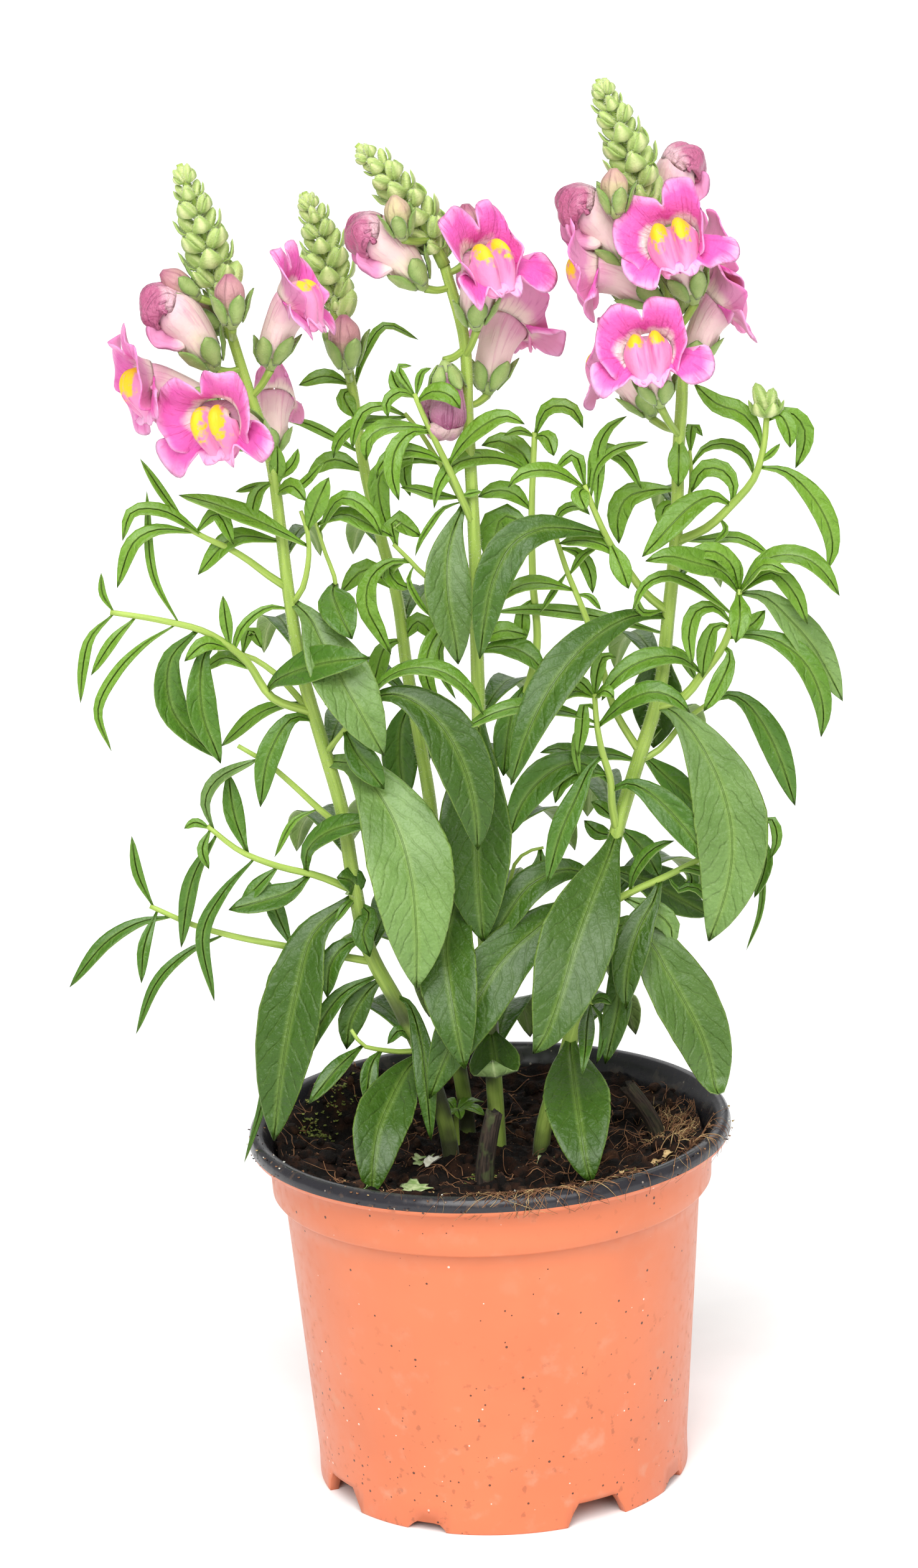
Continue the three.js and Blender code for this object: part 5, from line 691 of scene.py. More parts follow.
class Skin:
    """Gathers sheets and tubes into one mesh, in mm, with what its finish reads at each point.

    place holds a point's own measures (across and along its part in mm, and a share), and tone one number
    that tells a finish how old, deep or bright the part is there; on leaves and stems that also holds
    painted shade, and on leaves painted sheen.
    """

    def __init__(self, name: str) -> None:
        """Args: name: The name of the finished piece."""
        self.name = name
        self.points: list[Array] = []
        self.places: list[Array] = []
        self.tones: list[Array] = []
        self.faces: list[Array] = []
        self.finishes: list[Array] = []
        self.count = 0

    def add(
        self, points: Array, faces: Array, finish: int, place: Array | float = 0.0, tone: Array | float = 0.5
    ) -> None:
        """Adds loose points and the faces between them.

        Args:
            points: Places in mm, one row each.
            faces: Rows of four point numbers. A row that repeats its last number is a triangle.
            finish: Which of the piece's materials the faces take.
            place: A row of three measures for each point.
            tone: One number for each point, or one for all.
        """
        total = len(points)
        self.points.append(np.asarray(points, float))
        self.places.append(np.broadcast_to(np.asarray(place, float), (total, 3)))
        self.tones.append(np.broadcast_to(np.asarray(tone, float), (total,)))
        self.faces.append(np.asarray(faces, int) + self.count)
        self.finishes.append(np.full(len(faces), finish))
        self.count += total

    def sheet(
        self, grid: Array, thickness: float, finishes: tuple[int, int], place: Array, tone: Array | float
    ) -> None:
        """Adds a thin sheet whose two faces meet along its sharp border.

        Args:
            grid: Places of the sheet's middle, as rows of columns.
            thickness: How far the two faces part.
            finishes: The materials of the front and of the back.
            place: Three measures for each place of the grid.
            tone: One number for each place of the grid, or one for all.
        """
        rows, columns = grid.shape[:2]
        normal = unit(np.cross(np.gradient(grid, axis=1), np.gradient(grid, axis=0)))
        inner = np.zeros((rows, columns), bool)
        inner[1:-1, 1:-1] = True
        half = np.where(inner, thickness / 2, 0.0)[..., None]
        front = np.arange(rows * columns).reshape(rows, columns)
        back = front.copy()
        back[inner] = rows * columns + np.arange(inner.sum())
        points = np.vstack([(grid + normal * half).reshape(-1, 3), (grid - normal * half)[inner]])
        wide_place = np.broadcast_to(place, (rows, columns, 3))
        wide_tone = np.broadcast_to(tone, (rows, columns))
        places = np.vstack([wide_place.reshape(-1, 3), wide_place[inner]])
        tones = np.concatenate([wide_tone.reshape(-1), wide_tone[inner]])
        base = self.count
        self.add(points, self._quads(front), finishes[0], places, tones)
        behind = self._quads(back)[:, ::-1] + base
        self.faces.append(behind)
        self.finishes.append(np.full(len(behind), finishes[1]))

    @staticmethod
    def _quads(index: Array) -> Array:
        """Returns the four corners of each cell of a grid of point numbers."""
        corners = (index[:-1, :-1], index[:-1, 1:], index[1:, 1:], index[1:, :-1])
        return np.stack([corner.reshape(-1) for corner in corners], axis=1)

    def tube(
        self,
        rings: Array,
        finish: int,
        place: Array | float = 0.0,
        tone: Array | float = 0.5,
        closed: tuple[bool, bool] = (True, True),
    ) -> None:
        """Adds a skin over a row of rings, and closes its ends.

        Args:
            rings: Places as rings of points that turn anticlockwise seen from the far end.
            finish: Which of the piece's materials it takes.
            place: Three measures for each place of the rings.
            tone: One number for each place of the rings, or one for all.
            closed: Whether the first and the last ring get a cap.
        """
        count, sides = rings.shape[:2]
        index = np.arange(count * sides).reshape(count, sides)
        wrapped = np.hstack([index, index[:, :1]])
        quads = self._quads(wrapped)
        points = rings.reshape(-1, 3)
        places = np.broadcast_to(place, (count, sides, 3)).reshape(-1, 3)
        tones = np.broadcast_to(tone, (count, sides)).reshape(-1)
        caps = []
        for ring, wanted, outward in ((0, closed[0], False), (count - 1, closed[1], True)):
            if not wanted:
                continue
            centre = len(points)
            points = np.vstack([points, rings[ring].mean(axis=0)])
            places = np.vstack([places, places[index[ring]].mean(axis=0)])
            tones = np.append(tones, tones[index[ring]].mean())
            a, b = wrapped[ring, :-1], wrapped[ring, 1:]
            order = (a, b) if outward else (b, a)
            middle = np.full(sides, centre)
            caps.append(np.stack([*order, middle, middle], axis=1))
        self.add(points, np.vstack([quads, *caps]), finish, places, tones)

    def build(self, materials: Sequence[bpy.types.Material]) -> bpy.types.Object:
        """Makes the mesh object, in metres, with its point attributes and materials."""
        points = np.clip(np.vstack(self.points) * MM, *CAD_BOX)
        faces = np.vstack(self.faces)
        triangle = faces[:, 2] == faces[:, 3]
        rows = [tuple(f[:3]) if t else tuple(f) for f, t in zip(faces.tolist(), triangle)]
        mesh = bpy.data.meshes.new(self.name)
        mesh.from_pydata(points.tolist(), [], rows)
        for material in materials:
            mesh.materials.append(material)
        mesh.polygons.foreach_set("material_index", np.concatenate(self.finishes))
        mesh.polygons.foreach_set("use_smooth", np.ones(len(rows), bool))
        place = mesh.attributes.new("place", "FLOAT_VECTOR", "POINT")
        place.data.foreach_set("vector", np.vstack(self.places).astype(np.float32).reshape(-1))
        tone = mesh.attributes.new("tone", "FLOAT", "POINT")
        tone.data.foreach_set("value", np.concatenate(self.tones).astype(np.float32))
        mesh.update()
        return linked(self.name, mesh)


def ring_angles(sides: int) -> Array:
    """Returns the angles of points spread evenly round a ring."""
    return 2 * math.pi * np.arange(sides) / sides


def side_by_side(*numbers: Array | float) -> Array:
    """Returns three measures, spread over one grid, side by side at each of its points."""
    return np.stack(np.broadcast_arrays(*numbers), axis=-1)


def ring_frames(line: SmoothLine, shares: Array, hint: Array) -> tuple[Array, Array, Array]:
    """Returns places along a line with two directions across it at each.

    Args:
        line: The line to follow.
        shares: Shares of its length.
        hint: A direction that the second one leans to.

    Returns:
        The places, the directions to the side, and the directions to the face.
    """
    tangent = line.tangents(shares)
    side = unit(np.cross(np.broadcast_to(hint, tangent.shape), tangent))
    return line.at(shares), side, unit(np.cross(tangent, side))


def rings_round(frames: tuple[Array, Array, Array], angles: Array, reach: Array) -> Array:
    """Returns rings of points round a line.

    Args:
        frames: The rings' places, and the directions to their side and face, as ring_frames gives.
        angles: The angle of each point in a ring.
        reach: How far out each point is, in rows of rings.

    Returns:
        The places, as rings of points.
    """
    centres, side, face = frames
    across = side[:, None] * (np.cos(angles) * reach)[..., None]
    return centres[:, None] + across + face[:, None] * (np.sin(angles) * reach)[..., None]


def place_piece(made: bpy.types.Object, material_slot: str, *nodes: str) -> bpy.types.Object:
    """Seats a finished piece on the body and lets it stand for its CAD nodes.

    Args:
        made: The piece.
        material_slot: Not used.
        nodes: The CAD nodes that it replaces.

    Returns:
        The same piece.
    """
    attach(made, "root")
    if nodes:
        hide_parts(*nodes)
    triangles = sum(len(polygon.vertices) - 2 for polygon in made.data.polygons)
    LOG.info("%s: %d triangles", made.name, triangles)
    return made


# ------------------------------------------------------------------ finishes

# The inputs that a node's values go to, for kinds that don't take them in their own order, and
# the settings that all nodes of a kind share.
INPUTS = {
    "Mix": (0, 6, 7),
    "MapRange": ("Value", "From Min", "From Max"),
    "TexNoise": ("Vector", "Scale", "Detail"),
    "TexVoronoi": ("Vector", "Scale"),
    "HueSaturation": ("Hue", "Saturation", "Value", "Color"),
    "Bump": ("Strength", "Distance", "Height"),
}
SETTINGS = {
    "Mix": {"data_type": "RGBA", "clamp_factor": True},
    "MapRange": {"interpolation_type": "SMOOTHSTEP", "clamp": True},
}
Value = bpy.types.Node | Socket | float | str
Adder = Callable[..., bpy.types.Node]


def linear(hex_colour: str) -> tuple[float, float, float, float]:
    """Turns an sRGB hex colour such as "#4f8a35" into linear RGBA."""
    channels = [int(hex_colour[i : i + 2], 16) / 255 for i in (1, 3, 5)]
    flat = [c / 12.92 if c <= 0.04045 else ((c + 0.055) / 1.055) ** 2.4 for c in channels]
    return (*flat, 1.0)


def per_metre(millimetres: float) -> float:
    """Returns the texture scale whose features are about that many millimetres apart."""
    return 1.0 / (millimetres * MM)


def add_node(
    tree: bpy.types.NodeTree,
    kind: str,
    *values: Value,
    inputs: dict[str, Value] | None = None,
    **settings: object,
) -> bpy.types.Node:
    """Adds one node with its settings and links.

    Args:
        tree: The material's node tree.
        kind: The node's type name without "ShaderNode", or, in capitals, a Math node's operation.
        *values: What its inputs take, in order: a node, a socket, a number or a hex colour.
        inputs: What other inputs take, by name.
        **settings: Properties of the node itself.

    Returns:
        The new node.
    """
    if kind.isupper():
        kind, settings = "Math", {"operation": kind}
    made = tree.nodes.new("ShaderNode" + kind)
    for name, value in {**SETTINGS.get(kind, {}), **settings}.items():
        setattr(made, name, value)
    for key, value in [*zip(INPUTS.get(kind, range(len(values))), values), *(inputs or {}).items()]:
        if isinstance(value, bpy.types.Node):
            value = value.outputs[2 if value.bl_idname == "ShaderNodeMix" else 0]
        if isinstance(value, Socket):
            tree.links.new(value, made.inputs[key])
        else:
            made.inputs[key].default_value = linear(value) if isinstance(value, str) else value
    return made


def measures(add: Adder) -> tuple[Socket, Socket, Socket, Socket]:
    """Returns the three measures and the tone that each point of a mesh carries."""
    place = add("SeparateXYZ", add("Attribute", attribute_name="place").outputs["Vector"])
    return (*place.outputs[:3], add("Attribute", attribute_name="tone").outputs["Fac"])


def cloud(add: Adder, millimetres: float, detail: float = 2.0) -> bpy.types.Node:
    """Returns a soft noise whose patches are about that many millimetres across."""
    return add("TexNoise", add("TexCoord").outputs["Object"], per_metre(millimetres), detail)


def patches(
    add: Adder, millimetres: float, detail: float = 2.0, low: float = 0.3, high: float = 0.7
) -> bpy.types.Node:
    """Returns a share from 0 to 1 that rises where a cloud goes from low to high."""
    return add("MapRange", cloud(add, millimetres, detail), low, high)


def streaks(
    add: Adder, across: Socket, along: Socket, slowness: float, per_mm: float, detail: float = 3.0
) -> bpy.types.Node:
    """Returns a noise drawn out along a part.

    Args:
        add: Adds a node to the material.
        across: Each point's place across the part, in mm.
        along: Its place along the part, in mm.
        slowness: How fast the noise changes along, as a share of how fast it does across.
        per_mm: About how many lines there are in a millimetre.
        detail: How many finer noises lie on it.

    Returns:
        The noise.
    """
    place = add("CombineXYZ", across, add("MULTIPLY", along, slowness))
    return add("TexNoise", place, per_mm, detail)


def layered(add: Adder, ground: Value, *layers: tuple[Value, Value, Value]) -> bpy.types.Node:
    """Lays colours over a ground.

    Args:
        add: Adds a node to the material.
        ground: The lowest colour.
        *layers: Each one's share from 0 to 1, the strength that it is multiplied by, and its colour.

    Returns:
        The mixed colour.
    """
    for share, strength, colour in layers:
        ground = add("Mix", add("MULTIPLY", share, strength), ground, colour)
    return ground


@dataclass(frozen=True)
class Finish:
    """What every finish shares: a name and how it answers light."""

    name: str
    roughness: float = 0.5
    ior: float = 1.45

    def build(self) -> bpy.types.Material:
        """Returns the finish as a material."""
        material = bpy.data.materials.new(self.name)
        material.use_nodes = True
        material.node_tree.nodes.clear()
        add = partial(add_node, material.node_tree)
        looks = {"Roughness": self.roughness, "IOR": self.ior, **self.looks(add)}
        add("OutputMaterial", add("BsdfPrincipled", inputs=looks))
        return material

    def looks(self, add: Adder) -> dict[str, Value]:
        """Lays out the finish.

        Args:
            add: Adds a node to the material.

        Returns:
            What each input of its shader takes.
        """
        raise NotImplementedError


@dataclass(frozen=True)
class LeafSurface(Finish):
    """Leaf cuticle, grown: a thin wax-coated skin over soft green tissue, veined from the midrib.

    The eye reads a soft wide gloss, a sunken midrib that the upper face paints darker as painted shade in
    its groove, with the leaf beside it painted pale as painted highlights, faint side veins that rise to the
    edge, quilting between them, and pale patches of painted sheen on some leaves. The tone sets how dark a
    leaf is painted: up to 1 its age together with painted shade on low and shaded leaves, and from 1 to 2
    the painted sheen.
    """

    young: str = "#6b942c"
    grown: str = "#466e1e"
    old: str = "#385716"
    # Pale patches painted over the green where the tone is above 1: a painted sheen, not the leaf's own
    # colour.
    painted_sheen: str = "#799a53"
    vein: str = "#86a248"
    # On the upper face the midrib takes the rib colour, painted darker than the leaf as painted shade in its
    # sunken groove; on the under face it is the rib's own pale colour.
    rib: str = "#4a6a22"
    rib_share: float = 0.42
    vein_share: float = 0.5
    vein_spacing: float = 6.5
    vein_rise: float = 1.9
    midrib_half: float = 0.22
    quilting: float = 0.55
    sheen: float = 0.0
    wax: float = 0.3

    def looks(self, add: Adder) -> dict[str, Value]:
        """Lays out veins, mottling and quilting. Args: add. Returns: the shader's inputs."""
        across, along, share, tone = measures(add)
        away = add("ABSOLUTE", across)
        lag = add("MULTIPLY_ADD", away, -self.vein_rise, along)
        lag = add("MULTIPLY_ADD", cloud(add, 7.0, 3.0), 9.0, lag)
        phase = add("MULTIPLY", lag, 2 * math.pi / self.vein_spacing)
        wave = add("MULTIPLY_ADD", add("COSINE", phase), 0.5, 0.5)
        side_vein = add("MULTIPLY", add("POWER", wave, 9.0), add("MapRange", away, 0.3, 1.6))
        # The midrib is painted with the rib colour, a painted shade in its groove on the upper face, and the
        # leaf beside it is painted pale, a painted highlight on the groove's sides.
        midrib = add("MapRange", away, self.midrib_half * 1.5, self.midrib_half * 0.5)
        groove_side_highlight = add("MULTIPLY", add("MapRange", away, 1.7, 0.3), add("MapRange", share, 0.5, 0.1))
        # Cloudy patches of painted sheen, laid on leaves whose tone is above 1.
        bloom = add("MULTIPLY_ADD", patches(add, 24.0, 1.0, 0.25, 0.75), 0.5, 0.45)
        cells = patches(add, 0.9, 1.0)
        body = layered(
            add,
            self.young,
            (add("MapRange", tone, 0.0, 0.5), 1.0, self.grown),
            (add("MapRange", tone, 0.5, 1.0), 1.0, self.old),
            (bloom, add("MapRange", tone, 1.0, 1.7), self.painted_sheen),
        )
        darker = add("HueSaturation", 0.505, 1.06, 0.8, body)
        body = layered(add, body, (patches(add, 9.0, 4.0, 0.35, 0.68), 0.6, darker))
        lighter = add("HueSaturation", 0.497, 0.96, 1.12, body)
        colour = layered(
            add,
            body,
            (cells, 0.35, lighter),
            (groove_side_highlight, 0.3, self.vein),
            (add("MapRange", share, 0.93, 1.0), 0.5, self.vein),
            (side_vein, 0.1 * self.vein_share, self.vein),
            (midrib, self.rib_share, self.rib),
        )
        swell = add("MULTIPLY", cloud(add, 4.0, 5.0), 2.4)
        pillows = add("MULTIPLY_ADD", add("MAXIMUM", midrib, side_vein), -0.45, swell)
        height = add("MULTIPLY_ADD", cells, 0.16, pillows)
        return {
            "Base Color": colour,
            "Roughness": add("MULTIPLY_ADD", cells, 0.14, self.roughness - 0.07),
            "Sheen Weight": self.sheen,
            "Sheen Roughness": 0.45,
            "Coat Weight": self.wax,
            "Coat Roughness": 0.24,
            "Specular IOR Level": 0.28,
            "Normal": add("Bump", 1.0, self.quilting * MM, height),
        }


@dataclass(frozen=True)
class StalkSurface(Finish):
    """Young stem skin, grown: pale green, ribbed lengthwise and covered in short clear hairs.

    The eye reads fine lighter and darker lines along the stem and a soft bright rim. Its foot, where the
    tone is high, is painted dark brown: partly the stem's own browning with age, partly painted shade where
    it stands low under the leaves by the soil.
    """

    pale: str = "#b2ca60"
    deep: str = "#759436"
    # The dark brown of the stem's foot: partly its own browning with age, partly painted shade low under the
    # leaves.
    base: str = "#3d4227"
    hair_sheen: float = 0.15
    line_width: float = 0.9

    def looks(self, add: Adder) -> dict[str, Value]:
        """Lays out the ribs, their colour and the hairs. Args: add. Returns: the shader's inputs."""
        across, along, _, tone = measures(add)
        lines = add("MapRange", streaks(add, across, along, 0.05, 1 / self.line_width), 0.34, 0.66)
        mottle = patches(add, 14.0)
        share = add("MULTIPLY_ADD", lines, 0.4, add("MULTIPLY", mottle, 0.22))
        share = add("MULTIPLY_ADD", tone, 0.45, share)
        # Browns the foot where the tone is high: partly age, partly painted shade under the leaves by the
        # soil.
        lowest = add("MapRange", add("MULTIPLY_ADD", mottle, 0.2, tone), 0.62, 0.8)
        height = add("MULTIPLY_ADD", cloud(add, 0.45, 1.0), 0.5, add("MULTIPLY", lines, 0.5))
        return {
            "Base Color": layered(add, self.pale, (share, 1.0, self.deep), (lowest, 1.0, self.base)),
            "Sheen Weight": self.hair_sheen,
            "Sheen Roughness": 0.35,
            "Normal": add("Bump", 1.0, 0.16 * MM, height),
        }


@dataclass(frozen=True)
class BudSurface(Finish):
    """Young bud and sepal skin, grown: yellow-green, thin, and furry with clear gland hairs.

    The eye reads pale painted light on the swollen middle of each sepal, darker green seams and edges where
    it is not laid, and a soft furry rim.
    """

    # Pale painted light laid on the swollen middles of the sepals, away from their seams.
    painted_glow: str = "#e2eaa8"
    body: str = "#bfd280"
    seam: str = "#86a44e"
    fur: float = 0.35

    def looks(self, add: Adder) -> dict[str, Value]:
        """Lays out the glow, seams and fur. Args: add. Returns: the shader's inputs."""
        _, _, share, tone = measures(add)
        spots = add("MULTIPLY_ADD", patches(add, 2.4), 0.4, 0.5)
        # Painted light on the swollen middles, fading out into the darker seams and edges.
        colour = layered(
            add,
            self.body,
            (add("MapRange", tone, 0.0, 1.0), 1.0, self.seam),
            (add("MapRange", share, 0.75, 0.1), spots, self.painted_glow),
        )
        return {
            "Base Color": colour,
            "Sheen Weight": self.fur,
            "Sheen Roughness": 0.3,
            "Subsurface Weight": 0.15,
            "Subsurface Radius": (0.002, 0.003, 0.001),
            "Subsurface Scale": 0.5,
            "Normal": add("Bump", 1.0, 0.2 * MM, cloud(add, 0.5)),
        }


@dataclass(frozen=True)
class PetalSurface(Finish):
    """Petal skin, grown: cells like tiny cones, which make a velvet of deep, even colour.

    The eye reads a pale root, a strong even body and a paler edge, fine veins that fan from the
    root, and a soft velvet light towards the rim. The tone is how much deeper the place is.
    """

    root: str = "#f3cfd9"
    body: str = "#dc559c"
    edge: str = "#ea86bd"
    vein: str = "#c03a80"
    root_end: float = 0.4
    edge_start: float = 0.72
    vein_spacing: float = 1.3
    vein_share: float = 0.25
    velvet: float = 0.06
    gloss: float = 0.0
    crinkle: float = 0.15

    def looks(self, add: Adder) -> dict[str, Value]:
        """Lays out the bands of colour, veins and velvet. Args: add. Returns: the shader's inputs."""
        across, along, share, tone = measures(add)
        wavy = add("MULTIPLY_ADD", add("SUBTRACT", cloud(add, 5.0, 3.0), 0.5), 0.5, share)
        veins = add("MapRange", streaks(add, across, along, 0.12, 1 / self.vein_spacing), 0.52, 0.7)
        colour = layered(
            add,
            self.root,
            (add("MapRange", wavy, 0.08, self.root_end), 1.0, self.body),
            (add("MapRange", wavy, self.edge_start, 1.06), 1.0, self.edge),
            (veins, self.vein_share, self.vein),
        )
        deeper = add("HueSaturation", 0.5, 1.12, 0.86, colour)
        height = add("MULTIPLY_ADD", veins, 0.5, cloud(add, 1.1, 3.0))
        return {
            "Base Color": add("Mix", tone, colour, deeper),
            "Sheen Weight": self.velvet,
            "Sheen Roughness": 0.4,
            "Coat Weight": self.gloss,
            "Coat Roughness": 0.22,
            "Subsurface Weight": 0.12,
            "Subsurface Radius": (0.003, 0.0015, 0.002),
            "Subsurface Scale": 0.5,
            "Normal": add("Bump", 1.0, self.crinkle * MM, height),
        }


@dataclass(frozen=True)
class PalateSurface(PetalSurface):
    """The swollen two-humped mouth of the flower, grown: pink cushions with yellow crowns.

    The eye reads two yellow patches on top of the humps, cream between them, and pink streaks
    that run down the front. Its tone is how yellow the place is.
    """

    crown: str = "#f7d31c"

    def looks(self, add: Adder) -> dict[str, Value]:
        """Adds the crowns to the petal's own looks. Args: add. Returns: the shader's inputs."""
        petal = super().looks(add)
        wander = add("SUBTRACT", cloud(add, 1.7, 3.0), 0.5)
        crowned = add("MapRange", add("MULTIPLY_ADD", wander, 1.7, measures(add)[3]), 0.34, 0.8)
        return {**petal, "Base Color": add("Mix", crowned, petal["Base Color"], self.crown)}


@dataclass(frozen=True)
class PottingPeat(Finish):
    """Potting peat, milled and damp: near-black crumbs with reddish fibres and pale specks.

    The eye reads a dark broken surface with small warm and pale flecks and hardly any gloss.
    """

    dark: str = "#0d0806"
    warm: str = "#2e1a0f"
    fleck: str = "#8d6a4c"

    def looks(self, add: Adder) -> dict[str, Value]:
        """Lays out crumbs, fibres and flecks. Args: add. Returns: the shader's inputs."""
        grit = add("TexVoronoi", add("TexCoord").outputs["Object"], per_metre(1.5))
        colour = layered(
            add,
            self.dark,
            (patches(add, 4.0, 6.0, 0.42, 0.66), 1.0, self.warm),
            (add("MapRange", grit, 0.16, 0.07), patches(add, 3.0, 2.0, 0.5, 0.6), self.fleck),
        )
        height = add("ADD", cloud(add, 2.6, 4.0), cloud(add, 0.9, 5.0))
        return {
            "Base Color": colour,
            "Specular IOR Level": 0.25,
            "Normal": add("Bump", 1.0, 0.9 * MM, height),
        }


@dataclass(frozen=True)
class DryBark(Finish):
    """Dead woody stem, weathered: dark brown, split lengthwise, with a green film of algae.

    The eye reads deep lines along the stem and dull mossy patches, more where the tone is high.
    """

    dark: str = "#1d1611"
    light: str = "#42352a"
    film: str = "#464e2c"
    splits_per_mm: float = 1.3

    def looks(self, add: Adder) -> dict[str, Value]:
        """Lays out splits and the film. Args: add. Returns: the shader's inputs."""
        across, along, _, tone = measures(add)
        splits = streaks(add, across, along, 0.12, self.splits_per_mm, 5.0)
        colour = layered(
            add,
            self.dark,
            (add("MapRange", splits, 0.36, 0.64), 1.0, self.light),
            (patches(add, 4.0, 3.0, 0.48, 0.62), tone, self.film),
        )
        return {"Base Color": colour, "Normal": add("Bump", 1.0, 0.6 * MM, splits)}


@dataclass(frozen=True)
class PotPlastic(Finish):
    """Polypropylene sheet, vacuum-formed: thin and slightly glossy, with flow and handling marks.

    The eye reads an even colour with a soft wide gloss, faint clouds, and dirt specks and a dusty
    bloom where wet peat has touched it. The tone is how dirty the place is.
    """

    base: str = "#d87a52"
    shade: str = "#c86c47"
    dirt: str = "#4a342a"
    dust: str = "#c9b8a4"
    chalk: str = "#ece0d2"
    speck_spacing: float = 2.0
    chalk_spacing: float = 3.4
    speck_share: float = 0.9

    def looks(self, add: Adder) -> dict[str, Value]:
        """Lays out marks, specks and dust. Args: add. Returns: the shader's inputs."""
        tone = measures(add)[3]
        at = add("TexCoord").outputs["Object"]
        fine = add("TexVoronoi", at, per_metre(self.speck_spacing))
        size = add("SeparateColor", fine.outputs["Color"]).outputs
        reach = add("MULTIPLY", add("POWER", size[0], 2.2), 0.22)
        often = add("GREATER_THAN", size[1], add("SUBTRACT", 0.9, tone))
        specks = add("MULTIPLY", add("MapRange", add("SUBTRACT", reach, fine), 0.0, 0.04), often)
        specks = add("MULTIPLY", specks, self.speck_share)
        coarse = add("TexVoronoi", at, per_metre(self.chalk_spacing))
        size = add("SeparateColor", coarse.outputs["Color"]).outputs
        reach = add("MULTIPLY", size[2], 0.12)
        rare = add("GREATER_THAN", size[1], add("SUBTRACT", 0.93, tone))
        pale = add("MULTIPLY", add("MapRange", add("SUBTRACT", reach, coarse), 0.0, 0.03), rare)
        dusty = add("MULTIPLY", patches(add, 7.0, 6.0, 0.55, 0.75), tone)
        smears = add("MULTIPLY", patches(add, 3.0, 9.0, 0.62, 0.7), add("MapRange", tone, 0.2, 0.7))
        colour = layered(
            add,
            self.base,
            (patches(add, 34.0, 3.0), 0.45, self.shade),
            (dusty, 0.28, self.dust),
            (smears, 0.3, self.dirt),
            (pale, 0.8, self.chalk),
            (specks, 1.0, self.dirt),
        )
        rough = add("MULTIPLY_ADD", patches(add, 3.0, 6.0, 0.45, 0.8), 0.16, self.roughness)
        height = add("MULTIPLY_ADD", specks, 0.6, cloud(add, 11.0))
        return {
            "Base Color": colour,
            "Roughness": add("MULTIPLY_ADD", dusty, 0.16, rough),
            "Normal": add("Bump", 1.0, 0.35 * MM, height),
        }


@dataclass(frozen=True)
class PlainMatt(Finish):
    """A dull dry surface with a cloudy change of colour, for litter and the studio floor."""

    low: str = "#f4f4f2"
    high: str = "#ffffff"
    patch: float = 60.0
    height: float = 0.05

    def looks(self, add: Adder) -> dict[str, Value]:
        """Lays out the clouds. Args: add. Returns: the shader's inputs."""
        clouds = patches(add, self.patch, 3.0)
        colour = add("Mix", clouds, self.low, self.high)
        return {"Base Color": colour, "Normal": add("Bump", 1.0, self.height * MM, clouds)}


@dataclass(frozen=True)
class Palette:
    """Every material of the plant and its pot, made once."""

    made: dict[str, bpy.types.Material] = field(default_factory=dict)

    def materials(self, finishes: Sequence[Finish]) -> list[bpy.types.Material]:
        """Returns the material of each finish, and makes those that aren't made yet."""
        for finish in finishes:
            if finish.name not in self.made:
                self.made[finish.name] = finish.build()
        return [self.made[finish.name] for finish in finishes]


LEAF_TOP = LeafSurface("snapdragon leaf, upper face", roughness=0.36)
LEAF_BACK = LeafSurface(
    "snapdragon leaf, under face", roughness=0.6, young="#a0bb62", grown="#86a356", old="#809a5c",
    painted_sheen="#96aa78", rib="#c6d69a", vein="#b3c787", vein_share=0.6, quilting=0.3, sheen=0.08, wax=0.1,
)
STALK = StalkSurface("snapdragon stem skin", roughness=0.48)
BUD_GREEN = BudSurface("snapdragon green bud skin", roughness=0.55)
SEPAL = BudSurface(
    "snapdragon sepal", roughness=0.6, painted_glow="#aabe76", body="#87a353", seam="#66863c", fur=0.3
)
UPPER_INNER = PetalSurface(
    "upper lip, inner face", roughness=0.55, root="#f6e2dc", body="#dd59ab", edge="#f0a0cf",
    vein="#c43886", vein_share=0.42, root_end=0.34, edge_start=0.66, crinkle=0.35,
)
UPPER_OUTER = PetalSurface(
    "upper lip, outer face", roughness=0.6, root="#ead0c8", body="#d78cb4", edge="#e67fbc",
    vein="#b4588f", vein_share=0.4,
)
LOWER_INNER = PetalSurface(
    "lower lip, inner face", roughness=0.55, root="#e060b4", body="#df58ad", edge="#f3aed8",
    vein="#cc4191", vein_share=0.4, edge_start=0.66, crinkle=0.3,
)
LOWER_OUTER = PetalSurface(
    "lower lip, outer face", roughness=0.6, root="#e6bcc0", body="#dc8bb4", edge="#e99ccb"
)
TUBE = PetalSurface(
    "flower tube", roughness=0.6, root="#e6e0b8", body="#ecd0cc", edge="#dfa6bd", vein="#cb7ba0",
    vein_share=0.38, vein_spacing=1.1, root_end=0.5, edge_start=0.6,
)
PALATE = PalateSurface(
    "flower palate", roughness=0.55, root="#f0e2c4", body="#ec94c0", edge="#ee9cc8", vein="#d23f90",
    vein_share=0.75, vein_spacing=1.5, root_end=0.24, crown="#f0c618",
)
BUD_PINK = PetalSurface(
    "closed petal skin", roughness=0.55, root="#ccc78e", body="#c08d8f", edge="#a8607a",
    vein="#8f4463", vein_share=0.5, root_end=0.6, crinkle=0.35,
)
HOOD = PetalSurface(
    "folded hood petal", roughness=0.34, gloss=0.3, root="#dcb0bb", body="#bb6488", edge="#dc9cb8",
    vein="#94406a", vein_share=0.65, vein_spacing=0.8, edge_start=0.8, root_end=0.25, crinkle=0.8,
)
WILTED = PetalSurface(
    "wilted petal", roughness=0.5, root="#c9a9a8", body="#bd86a0", edge="#8f2560", vein="#7d2856",
    vein_share=0.6, root_end=0.3, edge_start=0.55, crinkle=0.5,
)
CLEAR_HAIR = PlainMatt("clear plant hair", roughness=0.35, low="#dde6c2", high="#f3f6e4", patch=2.0)
